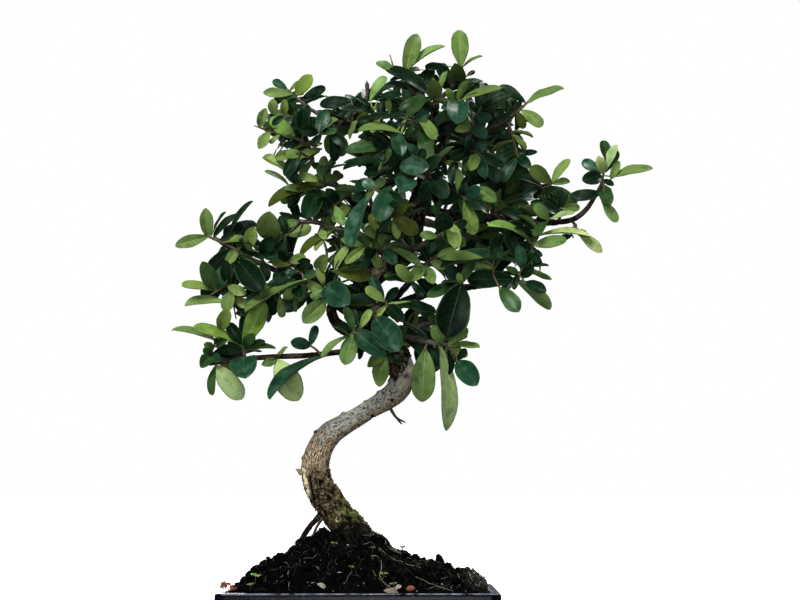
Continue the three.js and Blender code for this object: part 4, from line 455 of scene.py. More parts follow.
        [(79, 326, 60, 1.6), (88, 321, 70, 1.3), (95, 317, 78, 0.8)],
        [(64, 330, 44, 1.5), (72, 339, 56, 1.2), (81, 346, 66, 0.8)],
        [(79, 326, 60, 1.4), (97, 340, 56, 1.2), (109, 354, 50, 0.8)],
    ], []),
    SprayRows("spray_back_high", "leaf_dark", 8, [
        [(45, 355, 6, 3.4), (39, 360, 26, 2.8), (31, 365, 46, 2.3), (19, 371, 62, 1.8), (7, 376, 74, 1.3)],
        [(19, 371, 62, 1.6), (10, 376, 72, 1.3), (1, 379, 80, 0.8)],
        [(31, 365, 46, 1.5), (32, 374, 60, 1.2), (36, 383, 70, 0.8)],
    ], []),
    SprayRows("spray_back_crown", "leaf_dark", 9, [
        [(50, 376, 6, 3), (60, 380, 26, 2.4), (72, 386, 44, 2), (84, 392, 58, 1.4)],
        [(72, 386, 44, 1.6), (82, 390, 56, 1.3), (91, 393, 66, 0.8)],
        [(60, 380, 26, 1.5), (61, 390, 40, 1.2), (64, 401, 52, 0.8)],
        [(72, 386, 44, 1.4), (88, 396, 38, 1.2), (98, 404, 32, 0.8)],
    ], []),
    SprayRows("spray_back_top", "leaf_dark", 5, [
        [(53, 399, 4, 2.6), (48, 405, 20, 2.1), (41, 413, 36, 1.6), (35, 420, 48, 1.2)],
        [(41, 413, 36, 1.5), (33, 420, 48, 1.2), (26, 424, 58, 0.8)],
    ], []),
    SprayRows("spray_back_low_right", "leaf_dark", 4, [
        [(20, 245, 8, 3.2), (31, 252, 26, 2.6), (44, 258, 42, 2.2), (57, 262, 56, 1.6)],
        [(57, 262, 56, 1.4), (63, 259, 64, 1.1), (67, 254, 70, 0.8)],
    ], [
        (66, 255, 78, 251, 10.5, "L"), (63, 258, 50, 265, 9, "L"),
    ]),
    SprayRows("spray_back_low_left", "leaf_dark", 5, [
        [(6, 265, 7, 3), (-6, 270, 26, 2.4), (-20, 276, 42, 1.9), (-33, 280, 56, 1.3)],
        [(-33, 280, 56, 1.2), (-40, 283, 64, 1), (-46, 284, 70, 0.7)],
    ], [
        (-37, 282, -31, 267, 10.5, "D"),
    ]),
    SprayRows("spray_left_end", "leaf_dark", 1, [
        [(-91, 315, -15, 1.2), (-90, 310, -22, 0.9)],
        [(-90, 311, -20, 1.4), (-92, 301, -22, 1.3), (-98, 290, -22, 1.1), (-109, 282, -23, 0.8)],
        [(-98, 290, -22, 0.8), (-94, 279, -20, 0.7), (-91, 264, -20, 0.4)],
    ], [
        (-91, 310, -108, 284, 12, "B"), (-89, 307, -72, 285, 18.5, "E"), (-93, 314, -98, 304, 8, "L"),
        (-90, 310, -95, 284, 9, "D"), (-110, 283, -131, 290, 6, "L"), (-99, 276, -129, 275, 8, "L"),
        (-109, 284, -116, 306, 13, "M"), (-98, 289, -99, 307, 9, "D"), (-95, 284, -98, 270, 10.5, "L"),
        (-93, 279, -81, 273, 7.5, "L"), (-95, 289, -84, 282, 8, "L"),
    ]),
    SprayRows("spray_left_twig", "leaf_light", 1, [
        [
            (-35, 379, 8, 1.6), (-37, 389, 4, 1.4), (-44, 396, 0, 1.2), (-55, 400, -2, 1), (-67, 403, -3, 0.8),
            (-78, 407, -4, 0.4),
        ],
        [(-36, 384, 6, 1.3), (-38, 383, -2, 1.1), (-42, 386, -8, 0.9), (-45, 388, -12, 0.7)],
    ], [
        (-47, 399, -67, 413, 12, "Y"), (-75, 410, -70, 420, 7.5, "L"), (-67, 402, -75, 390, 8, "L"),
        (-59, 399, -67, 394, 3.5, "L"), (-55, 399, -59, 393, 2, "D"), (-47, 390, -63, 383, 8, "L"),
        (-28, 394, -49, 391, 5, "Y"), (-52, 372, -72, 384, 8, "L"), (-45, 387, -56, 370, 9.5, "D"),
        (-30, 388, -50, 368, 6, "D"), (-31, 382, -45, 365, 6, "L"), (-28, 390, -45, 384, 6.5, "L"),
        (-42, 386, -55, 386, 7.5, "L"),
    ]),
    SprayRows("spray_left_high", "leaf_dark", 0, [
        [(-31, 416, -10, 1.4), (-39, 421, -10, 1.2), (-46, 427, -10, 1), (-52, 433, -10, 0.7), (-59, 437, -10, 0.4)],
        [(-37, 420, -10, 1.1), (-43, 415, -16, 0.9), (-50, 414, -20, 0.7), (-59, 415, -22, 0.5)],
    ], [
        (-45, 432, -36, 445, 10.5, "Y"), (-43, 427, -26, 436, 7.5, "D"), (-53, 435, -65, 441, 6, "B"),
        (-53, 428, -72, 432, 7.5, "L"), (-51, 435, -44, 441, 3.5, "L"), (-40, 424, -26, 429, 3, "D"),
        (-42, 421, -39, 413, 7.5, "D"), (-50, 432, -42, 431, 3.5, "D"), (-47, 427, -56, 420, 6.5, "D"),
        (-64, 415, -65, 427, 7.5, "L"), (-61, 417, -56, 427, 6, "L"), (-45, 418, -63, 416, 8, "L"),
        (-43, 401, -42, 420, 10.5, "D"), (-50, 404, -45, 418, 6.5, "D"), (-49, 413, -55, 424, 6, "D"),
        (-56, 414, -65, 408, 5, "D"),
    ]),
    SprayRows("spray_top_left", "leaf_light", 0, [
        [(56, 421, 3, 1.9), (47, 427, -3, 1.6), (38, 433, -8, 1.3), (33, 442, -10, 1.1), (34, 449, -10, 0.8)],
        [(33, 442, -10, 0.8), (26, 448, -12, 0.7), (22, 460, -12, 0.4)],
        [(47, 427, -3, 1.4), (52, 427, -12, 1.2), (56, 429, -18, 0.9)],
    ], [
        (33, 450, 42, 476, 13, "L"), (37, 449, 62, 468, 6.5, "L"), (29, 448, 12, 455, 6.5, "L"),
        (53, 430, 19, 451, 10.5, "D"), (41, 433, 45, 446, 6.5, "D"), (35, 443, 22, 441, 3.5, "D"),
        (56, 430, 54, 443, 12.5, "L"), (59, 432, 64, 448, 4.5, "L"), (54, 427, 29, 418, 9, "M"),
        (57, 423, 42, 420, 7.5, "D"),
    ]),
    SprayRows("spray_left_inner", "leaf_light", 1, [
        [(-45, 297, -9, 1.5), (-49, 304, -12, 1.2), (-55, 307, -15, 0.9)],
        [(-47, 301, -11, 1.1), (-42, 296, -18, 1), (-42, 289, -20, 0.8)],
        [(-42, 289, -20, 1), (-52, 287, -21, 0.9), (-61, 289, -21, 0.8), (-70, 284, -21, 0.6)],
    ], [
        (-36, 293, -84, 269, 6.5, "L"), (-50, 304, -65, 305, 6.5, "L"), (-52, 305, -40, 310, 7.5, "L"),
        (-42, 289, -68, 290, 6.5, "D"), (-43, 295, -31, 298, 6.5, "M"), (-55, 307, -61, 314, 6, "D"),
        (-46, 301, -37, 307, 9, "D"), (-42, 287, -56, 279, 9, "L"), (-70, 284, -84, 274, 9.5, "B"),
        (-67, 289, -81, 290, 7.5, "L"), (-59, 280, -57, 265, 6.5, "L"), (-47, 287, -43, 279, 9, "D"),
        (-65, 290, -53, 284, 6.5, "L"), (-68, 286, -72, 276, 9, "L"),
    ]),
    SprayRows("spray_back_side", "leaf_dark", 5, [
        [(1, 407, -8, 1.5), (-3, 408, 14, 1.2), (-9, 411, 32, 1), (-14, 413, 46, 0.7)],
    ], []),
]

CROWN: Outline = [
    (-47, 432), (-22, 432), (-6, 433), (8, 438), (23, 442), (35, 449), (51, 455), (75, 455),
    (85, 443), (103, 439), (122, 429), (125, 411), (119, 399), (129, 389), (129, 376), (142, 364),
    (162, 358), (166, 345), (148, 335), (137, 333), (131, 320), (134, 307), (131, 292), (109, 284),
    (81, 284), (61, 279), (57, 257), (75, 245), (70, 226), (47, 221), (32, 233), (17, 230),
    (1, 220), (-12, 233), (-15, 248), (-25, 264), (-43, 267), (-56, 270), (-72, 257), (-89, 259),
    (-96, 275), (-115, 277), (-121, 289), (-118, 304), (-102, 315), (-108, 324), (-95, 335),
    (-77, 342), (-59, 343), (-47, 342), (-55, 349), (-62, 352), (-56, 364), (-68, 376), (-72, 388),
    (-59, 395), (-71, 402), (-72, 420), (-65, 432),
]

LOW_CROWN: Outline = [
    (-72, 250), (-72, 233), (-82, 228), (-98, 222), (-112, 223), (-120, 235), (-109, 252),
    (-89, 257),
]

WINDOWS: list[Outline] = [
    [(47, 337), (60, 337), (59, 330), (49, 324)],
    [(-37, 324), (-22, 320), (-28, 310), (-39, 308)],
    [(54, 301), (62, 296), (59, 290), (52, 291)],
    [(56, 282), (44, 279), (36, 278), (42, 273), (56, 273)],
    [(-8, 377), (3, 374), (1, 366), (-8, 368)],
    [(-36, 307), (-36, 302), (-18, 299), (-22, 296)],
]


def from_front(x: float, z: float, depth: float) -> np.ndarray:
    """Find the place that is seen from the front at x, z and lies at a depth.

    Args:
        x: Sideways place, in the plane of the trunk.
        z: Height, in the plane of the trunk.
        depth: Distance behind the plane of the trunk, minus towards the viewer.

    Returns:
        The place as an array of three numbers.
    """
    scale = 1 + depth / -EYE[1]
    return np.array([EYE[0] + (x - EYE[0]) * scale, depth, EYE[2] + (z - EYE[2]) * scale])


def seen_from_front(points: np.ndarray) -> np.ndarray:
    """Find where points are seen from the front, in the plane of the trunk.

    Args:
        points: Places, one to a row.

    Returns:
        An array of x and z, one pair to a row.
    """
    scale = 1 + points[:, 1] / -EYE[1]
    return np.stack([EYE[0] + (points[:, 0] - EYE[0]) / scale, EYE[2] + (points[:, 2] - EYE[2]) / scale], axis=1)


def seeded(seed: int) -> Callable[[], float]:
    """Make a small random generator, the same one that the solids are grown with.

    Args:
        seed: Any whole number.

    Returns:
        A function that gives the next number from 0 to 1.
    """
    word = 0xFFFFFFFF
    state = seed & word

    def draw() -> float:
        """Give the next number."""
        nonlocal state
        state = (state + 0x6D2B79F5) & word
        mixed = ((state ^ (state >> 15)) * (state | 1)) & word
        mixed ^= (mixed + (((mixed ^ (mixed >> 7)) * (mixed | 61)) & word)) & word
        return ((mixed ^ (mixed >> 14)) & word) / (word + 1)

    return draw


def inside(points: np.ndarray, outline: Outline) -> np.ndarray:
    """Tell which seen points lie inside an outline.

    Args:
        points: Seen places, x and z to a row.
        outline: Corners of the outline in order.

    Returns:
        True or False for each point.
    """
    x, z = points[:, 0], points[:, 1]
    within = np.zeros(len(points), dtype=bool)
    for (x0, z0), (x1, z1) in zip(outline, outline[-1:] + outline[:-1]):
        if z0 == z1:
            continue
        crossed = ((z0 > z) != (z1 > z)) & (x < (x1 - x0) * (z - z0) / (z1 - z0) + x0)
        within ^= crossed
    return within


def unit(vector: np.ndarray) -> np.ndarray:
    """Scale a vector to length one."""
    return vector / max(float(np.linalg.norm(vector)), 1e-9)


def across_of(facing: np.ndarray, along: np.ndarray) -> np.ndarray:
    """Turn a direction until it is square to another, and scale it to length one."""
    return unit(facing - along * (facing @ along))


def smooth_step(low: float, high: float, x: np.ndarray) -> np.ndarray:
    """Rise smoothly from 0 at low to 1 at high; low may be the larger of the two."""
    share = np.clip((x - low) / (high - low), 0, 1)
    return share * share * (3 - 2 * share)


def smoothed(path: np.ndarray, steps: int) -> np.ndarray:
    """Draw a smooth curve through the rows of a path.

    Args:
        path: Rows of x, y, z and a radius.
        steps: Steps between one row and the next.

    Returns:
        The finer path, which passes through every row.
    """
    padded = np.vstack([2 * path[0] - path[1], path, 2 * path[-1] - path[-2]])
    rows = []
    for i in range(1, len(padded) - 2):
        before, start, end, after = padded[i - 1:i + 3]
        for step in range(steps):
            t = step / steps
            rows.append(0.5 * (2 * start + (end - before) * t
                               + (2 * before - 5 * start + 4 * end - after) * t ** 2
                               + (3 * start - before - 3 * end + after) * t ** 3))
    rows.append(path[-1])
    return np.array(rows)


def placed_path(rows: list[Place], steps: int = 4) -> np.ndarray:
    """Turn rows as seen from the front into a smooth path in space, with a radius."""
    path = np.array([[*from_front(x, z, depth), radius] for x, z, depth, radius in rows])
    return smoothed(path, steps)


def lumpy(points: np.ndarray, depth: float, size: float, seed: int, octaves: int) -> np.ndarray:
    """Give a ball's points with smooth random dents; depth is a share of its radius."""
    return points * (1 + depth * ripple(points, size, seed, octaves))[:, None]


def lengths_along(path: np.ndarray) -> np.ndarray:
    """Give the length of a path up to each of its rows."""
    return np.append(0, np.cumsum(np.linalg.norm(np.diff(path[:, :3], axis=0), axis=1)))


def ripple(points: np.ndarray, size: float, seed: int, octaves: int = 3) -> np.ndarray:
    """Give smooth random relief from -1 to 1 at points, as sums of turned waves.

    Args:
        points: Places, one to a row.
        size: Length of the largest waves.
        seed: Seed of the waves' directions.
        octaves: How often the waves are halved.

    Returns:
        One number for each point.
    """
    random = np.random.default_rng(seed)
    total = np.zeros(len(points))
    weight = 1.0
    for octave in range(octaves):
        for _ in range(6):
            direction = unit(random.normal(size=points.shape[1])) * 2 * math.pi / (size * random.uniform(0.7, 1.4))
            total += weight * np.sin(points @ direction + random.uniform(0, 2 * math.pi))
        size *= 0.5
        weight *= 0.55
    return total / (6 * 0.5)


class Bench:
    """Blender's operators as they are used by hand, on one piece at a time."""

    @staticmethod
    def start(add: Callable, name: str = "helper", **settings: object) -> bpy.types.Object:
        """Add one of Blender's plain shapes.

        Args:
            add: The operator that adds it.
            name: The new piece's name.
            settings: Options of the operator.

        Returns:
            The new piece, selected alone.
        """
        bpy.ops.object.select_all(action="DESELECT")
        add(**settings)
        piece = bpy.context.object
        piece.name = name
        return piece

    @staticmethod
    def ball(level: int) -> tuple[np.ndarray, np.ndarray]:
        """Give the points and the faces of a ball of radius one; a higher level is finer."""
        ball = Bench.start(bpy.ops.mesh.primitive_ico_sphere_add, subdivisions=level, radius=1)
        points = Bench.points(ball) * MM
        faces = Bench.faces(ball)
        Bench.discard(ball)
        return points, faces

    @staticmethod
    def only(piece: bpy.types.Object) -> None:
        """Select one piece and nothing else."""
        bpy.ops.object.select_all(action="DESELECT")
        piece.select_set(True)
        bpy.context.view_layer.objects.active = piece

    @staticmethod
    def apply(piece: bpy.types.Object, kind: str, **settings: object) -> None:
        """Add a modifier to a piece and apply it.

        Args:
            piece: The piece that is shaped.
            kind: The modifier's type.
            settings: Values of the modifier.
        """
        Bench.only(piece)
        bpy.ops.object.modifier_add(type=kind)
        modifier = piece.modifiers[-1]
        for name, value in settings.items():
            setattr(modifier, name, value)
        bpy.ops.object.modifier_apply(modifier=modifier.name)

    @staticmethod
    def points(piece: bpy.types.Object) -> np.ndarray:
        """Read the places of a mesh's points, in millimetres."""
        flat = np.empty(len(piece.data.vertices) * 3)
        piece.data.vertices.foreach_get("co", flat)
        return flat.reshape(-1, 3) / MM

    @staticmethod
    def move_points(piece: bpy.types.Object, points: np.ndarray) -> None:
        """Write the places of a mesh's points, given in millimetres."""
        piece.data.vertices.foreach_set("co", (points * MM).ravel())
        piece.data.update()

    @staticmethod
    def faces(piece: bpy.types.Object) -> np.ndarray:
        """Read the corners of a mesh's faces, four to a row; a triangle repeats its last one."""
        corners = [tuple(face.vertices) for face in piece.data.polygons]
        return np.array([face if len(face) == 4 else (*face, face[-1]) for face in corners])

    @staticmethod
    def paint(piece: bpy.types.Object, name: str, values: np.ndarray) -> None:
        """Store rows of four numbers at a mesh's points, under a name that its material reads."""
        layer = piece.data.color_attributes.new(name, "FLOAT_COLOR", "POINT")
        layer.data.foreach_set("color", np.ascontiguousarray(values, dtype=np.float32).ravel())

    @staticmethod
    def discard(piece: bpy.types.Object) -> None:
        """Remove a helper piece with its mesh."""
        bpy.data.meshes.remove(piece.data)


def dress(piece: bpy.types.Object, slot: str, *nodes: str) -> bpy.types.Object:
    """Seat a finished piece on the part, and hide the solids that it stands for.

    Args:
        piece: The finished piece.
        slot: Not used; the name of its material slot.
        nodes: The solids that it replaces.

    Returns:
        The piece.
    """
    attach(piece, "root")
    if nodes:
        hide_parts(*nodes)
    log.info("%s: %d faces", piece.name, len(piece.data.polygons))
    return piece


@dataclass
class Shape:
    """Points, faces and painted values that are gathered until they make one mesh."""

    points: list[np.ndarray] = field(default_factory=list)
    faces: list[np.ndarray] = field(default_factory=list)
    finishes: list[np.ndarray] = field(default_factory=list)
    paints: dict[str, list[np.ndarray]] = field(default_factory=dict)
    count: int = 0

    def add(self, points: np.ndarray, faces: np.ndarray, finish: int = 0, **paints: Paint) -> None:
        """Add one copy of something.

        Args:
            points: Its points, in millimetres.
            faces: Its four cornered faces; a triangle repeats its last corner.
            finish: Which of the piece's materials it wears.
            paints: Four numbers for each point or for all of them, by name.
        """
        self.points.append(points)
        self.faces.append(faces + self.count)
        self.finishes.append(np.full(len(faces), finish))
        for name, values in paints.items():
            self.paints.setdefault(name, []).append(np.broadcast_to(values, (len(points), 4)))
        self.count += len(points)

    def make(self, name: str, materials: list[bpy.types.Material], angle: float = 50) -> bpy.types.Object:
        """Make the mesh and its object.

        Args:
            name: The piece's name.
            materials: Its materials in order.
            angle: Edges flatter than this many degrees are shaded smooth.

        Returns:
            The new piece.
        """
        faces = np.vstack(self.faces)
        corners = [tuple(dict.fromkeys(face)) for face in faces.tolist()]
        mesh = bpy.data.meshes.new(name)
        mesh.from_pydata((np.vstack(self.points) * MM).tolist(), [], corners)
        for material in materials:
            mesh.materials.append(material)
        mesh.polygons.foreach_set("material_index", np.concatenate(self.finishes).astype(np.int32))
        piece = bpy.data.objects.new(name, mesh)
        bpy.context.scene.collection.objects.link(piece)
        for paint, values in self.paints.items():
            Bench.paint(piece, paint, np.vstack(values))
        Bench.only(piece)
        bpy.ops.object.shade_smooth_by_angle(angle=math.radians(angle))
        return piece


def tube(path: np.ndarray, sides: int, tip: bool = False) -> tuple[np.ndarray, np.ndarray]:
    """Skin a tube along a path.

    Args:
        path: Rows of x, y, z and a radius.
        sides: Sides of the tube.
        tip: Whether the far end comes to a point.

    Returns:
        The points and the four cornered faces of the closed tube.
    """
    at, radius = path[:, :3], path[:, 3]
    along = np.gradient(at, axis=0)
    along /= np.linalg.norm(along, axis=1, keepdims=True) + 1e-9
    across = np.cross([0.0, 1.0, 0.0], along[0])
    if np.linalg.norm(across) < 0.1:
        across = np.cross([1.0, 0.0, 0.0], along[0])
    turn = np.arange(sides) * 2 * math.pi / sides
    rings = []
    for place, direction, size in zip(at, along, radius):
        across = unit(across - direction * (across @ direction))
        over = np.cross(direction, across)
        rings.append(place + size * (np.outer(np.cos(turn), across) + np.outer(np.sin(turn), over)))
    points = np.vstack(rings)
    ring = np.arange(sides)
    beside = (ring + 1) % sides
    faces = [np.stack([ring, beside, beside + sides, ring + sides], axis=1) + sides * i for i in range(len(at) - 1)]
    ends = [at[0], at[-1] + along[-1] * radius[-1] * (2.0 if tip else 0.3)]
    points = np.vstack([points, ends])
    near, far, last = len(points) - 2, len(points) - 1, sides * (len(at) - 1)
    faces.append(np.stack([beside, ring, np.full(sides, near), np.full(sides, near)], axis=1))
    faces.append(np.stack([ring + last, beside + last, np.full(sides, far), np.full(sides, far)], axis=1))
    return points, np.vstack(faces)


class Number:
    """A number in a material, on which arithmetic adds Math nodes."""

    def __init__(self, recipe: "Recipe", socket: bpy.types.NodeSocket) -> None:
        """Wrap a socket of a recipe."""
        self.recipe = recipe
        self.socket = socket

    def _math(self, operation: str, first: object, second: object = None, third: object = None) -> "Number":
        """Add one Math node and wrap its result."""
        inputs = {index: value for index, value in enumerate((first, second, third)) if value is not None}
        node = self.recipe.node("ShaderNodeMath", {"operation": operation}, inputs)
        return Number(self.recipe, node.outputs[0])

    def __add__(self, other: object) -> "Number":
        """Add."""
        return self._math("ADD", self, other)

    __radd__ = __add__

    def __mul__(self, other: object) -> "Number":
        """Multiply."""
        return self._math("MULTIPLY", self, other)

    __rmul__ = __mul__

    def __sub__(self, other: object) -> "Number":
        """Subtract."""
        return self._math("SUBTRACT", self, other)

    def __rsub__(self, other: object) -> "Number":
        """Subtract this from another."""
        return self._math("SUBTRACT", other, self)

    def __pow__(self, other: object) -> "Number":
        """Raise to a power."""
        return self._math("POWER", self, other)

    def size(self) -> "Number":
        """Drop the sign."""
        return self._math("ABSOLUTE", self)

    def rest(self) -> "Number":
        """Keep what follows the decimal point."""
        return self._math("FRACT", self)

    def most(self, other: object) -> "Number":
        """Take the larger of two."""
        return self._math("MAXIMUM", self, other)

    def step(self, low: float, high: float) -> "Number":
        """Rise smoothly from 0 at low to 1 at high; low may be the larger."""
        if low > high:
            return 1 - self.step(high, low)
        inputs = {"Value": self, "From Min": low, "From Max": high}
        node = self.recipe.node("ShaderNodeMapRange", {"interpolation_type": "SMOOTHSTEP"}, inputs)
        return Number(self.recipe, node.outputs[0])


class Recipe:
    """The nodes of one material."""

    NOISE_ROUGHNESS = 0.55

    def __init__(self, name: str) -> None:
        """Start an empty material with a Principled shader."""
        self.material = bpy.data.materials.new(name)
        self.material.use_nodes = True
        self.tree = self.material.node_tree
        self.tree.nodes.clear()
        self.shader = self.tree.nodes.new("ShaderNodeBsdfPrincipled")
        output = self.tree.nodes.new("ShaderNodeOutputMaterial")
        self.tree.links.new(self.shader.outputs[0], output.inputs["Surface"])
        self.place = self.node("ShaderNodeTexCoord", {}, {}).outputs["Object"]

    def node(self, kind: str, settings: dict[str, object], inputs: dict[object, object]) -> bpy.types.Node:
        """Add one node.

        Args:
            kind: The node's type.
            settings: Its settings, set before its sockets.
            inputs: Values or links of its sockets, by name or number.

        Returns:
            The node.
        """
        node = self.tree.nodes.new(kind)
        for name, value in settings.items():
            setattr(node, name, value)
        for key, value in inputs.items():
            self.feed(node.inputs[key], value)
        return node

    def feed(self, socket: bpy.types.NodeSocket, value: object) -> None:
        """Link a socket, or set its value."""
        if isinstance(value, Number):
            value = value.socket
        if isinstance(value, bpy.types.NodeSocket):
            self.tree.links.new(value, socket)
        elif isinstance(value, tuple) and socket.type == "RGBA":
            socket.default_value = (*value[:3], 1.0)
        else:
            socket.default_value = value

    def noise(self, scale: float, detail: float) -> Number:
        """Add fractal noise from 0 to 1; scale is in waves to the metre."""
        inputs = {"Vector": self.place, "Scale": scale, "Detail": detail, "Roughness": self.NOISE_ROUGHNESS}
        return Number(self, self.node("ShaderNodeTexNoise", {}, inputs).outputs["Fac"])

    def cells(self, scale: float) -> Number:
        """Add the distances of a cell pattern; scale is in cells to the metre."""
        inputs = {"Vector": self.place, "Scale": scale}
        return Number(self, self.node("ShaderNodeTexVoronoi", {}, inputs).outputs["Distance"])

    def axes(self) -> tuple[Number, Number, Number]:
        """Give the piece's own x, y and z in metres."""
        split = self.node("ShaderNodeSeparateXYZ", {}, {"Vector": self.place})
        first, second, third = (Number(self, socket) for socket in split.outputs)
        return first, second, third

    def painted(self, name: str) -> bpy.types.NodeSocket:
        """Read the colour painted on the piece under a name."""
        return self.node("ShaderNodeAttribute", {"attribute_name": name}, {}).outputs["Color"]

    def parts_of(self, name: str) -> tuple[Number, Number, Number, Number]:
        """Read four numbers painted on the piece under a name."""
        attribute = self.node("ShaderNodeAttribute", {"attribute_name": name}, {})
        split = self.node("ShaderNodeSeparateColor", {}, {"Color": attribute.outputs["Color"]})
        first, second, third = (Number(self, split.outputs[i]) for i in range(3))
        return first, second, third, Number(self, attribute.outputs["Alpha"])

    def mix(self, share: object, first: object, second: object, blend: str = "MIX") -> bpy.types.NodeSocket:
        """Blend two colours.

        Args:
            share: How much of the second.
            first: A colour or a link.
            second: A colour or a link.
            blend: The kind of blend.

        Returns:
            The blended colour's socket.
        """
        node = self.node("ShaderNodeMix", {"data_type": "RGBA", "blend_type": blend, "clamp_factor": True}, {})
        for index, value in ((0, share), (6, first), (7, second)):
            self.feed(node.inputs[index], value)
        return node.outputs[2]

    def bump(self, height: object, strength: float, distance: float) -> None:
        """Feed a height to the shader's normal; distance is in metres."""
        inputs = {"Height": height, "Strength": strength, "Distance": distance}
        self.feed(self.shader.inputs["Normal"], self.node("ShaderNodeBump", {}, inputs).outputs[0])

    def finish(self, **inputs: object) -> bpy.types.Material:
        """Feed the shader's sockets, named with underscores, and give the material."""
        for name, value in inputs.items():
            self.feed(self.shader.inputs[name.replace("_", " ")], value)
        return self.material


def tone(red: int, green: int, blue: int) -> Colour:
    """Turn a colour, given from 0 to 255, into linear light."""
    share = np.array([red, green, blue]) / 255
    linear = np.where(share <= 0.04045, share / 12.92, ((share + 0.055) / 1.055) ** 2.4)
    return tuple(float(value) for value in linear)


@dataclass(frozen=True)
class LeafFinish:
    """Leathery leaves: glossy and dark above, paler and dull below, with a pale rib, fine veins and patches of painted
    sheen above.
    """

    name: str = "leaf"
    rib: Colour = tone(138, 158, 98)
    edge: Colour = tone(60, 80, 44)
    # The pale grey green of the painted sheen on the upper side.
    painted_sheen: Colour = tone(96, 124, 104)
    speck: Colour = tone(52, 36, 22)

    def material(self) -> bpy.types.Material:
        """Build the material."""
        recipe = Recipe(self.name)
        across01, along, own, upper = recipe.parts_of("marks")
        _, green, _, sheen = recipe.parts_of("tone")
        across = (across01 * 2 - 1).size()
        mottle = recipe.noise(90, 3)
        fine = recipe.noise(900, 2)
        blotch = recipe.noise(150, 4)
        base = recipe.mix(mottle.step(0.35, 0.7) * 0.55, recipe.painted("tone"), (0.62, 0.6, 0.44), "SOFT_LIGHT")
        base = recipe.mix(blotch.step(0.5, 0.36) * 0.5, base, (0.45, 0.55, 0.5), "MULTIPLY")
        shade = recipe.mix(1.0, base, recipe.mix((fine - 0.5).size() * 1.2, (1, 1, 1), (0.72, 0.78, 0.7)), "MULTIPLY")
        slope = (along * 9.0 - across * 2.4 + own * 3).rest()
        vein = (slope - 0.5).size().step(0.07, 0.0) * across.step(1.0, 0.7)
        rib = (across * (7.5 + along * 15)).step(1.0, 0.25)
        # Painted sheen: patches of the upper side are lightened towards pale grey green, most on the glossiest tints.
        painted_sheen = upper * sheen * mottle.step(0.4, 0.72) * (1 - across * 0.6)
        with_painted_sheen = recipe.mix(painted_sheen * 0.42, shade, self.painted_sheen)
        veined = recipe.mix(vein * (0.3 - upper * 0.25), with_painted_sheen, self.rib)
        ribbed = recipe.mix(rib * (0.55 - upper * (0.47 - green.step(0.04, 0.18) * 0.39)), veined, self.rib)
        edged = recipe.mix(across.step(0.87, 0.97) * 0.7, ribbed, self.edge)
        spots = recipe.cells(260).step(0.13, 0.06) * own.step(0.62, 0.8)
        colour = recipe.mix(spots * 0.8, edged, self.speck)
        recipe.bump(mottle * 0.5 + fine * 0.1 - rib * upper * 0.9 + rib * (1 - upper) * 0.9 - vein * upper * 0.25,
                    0.5, 0.0006)
        return recipe.finish(Base_Color=colour, Roughness=0.58 - upper * 0.2 + mottle * 0.14,
                             Specular_IOR_Level=0.06, Coat_Weight=upper * sheen * blotch.step(0.36, 0.62) * 0.6,
                             Coat_Roughness=0.3)


@dataclass(frozen=True)
class TwigFinish:
    """Twigs: grey brown and rough where old, reddish green at the tips."""

    name: str = "twig"
    old: Colour = tone(50, 41, 34)
    pale: Colour = tone(90, 81, 70)
    young: Colour = tone(96, 82, 48)

    def material(self) -> bpy.types.Material:
        """Build the material."""
        recipe = Recipe(self.name)
        young, _, _, _ = recipe.parts_of("marks")
        grain = recipe.noise(500, 4)
        colour = recipe.mix(grain.step(0.4, 0.7), self.old, self.pale)
        recipe.bump(grain, 0.6, 0.0006)
        return recipe.finish(Base_Color=recipe.mix(young, colour, self.young), Roughness=0.8 - young * 0.25)


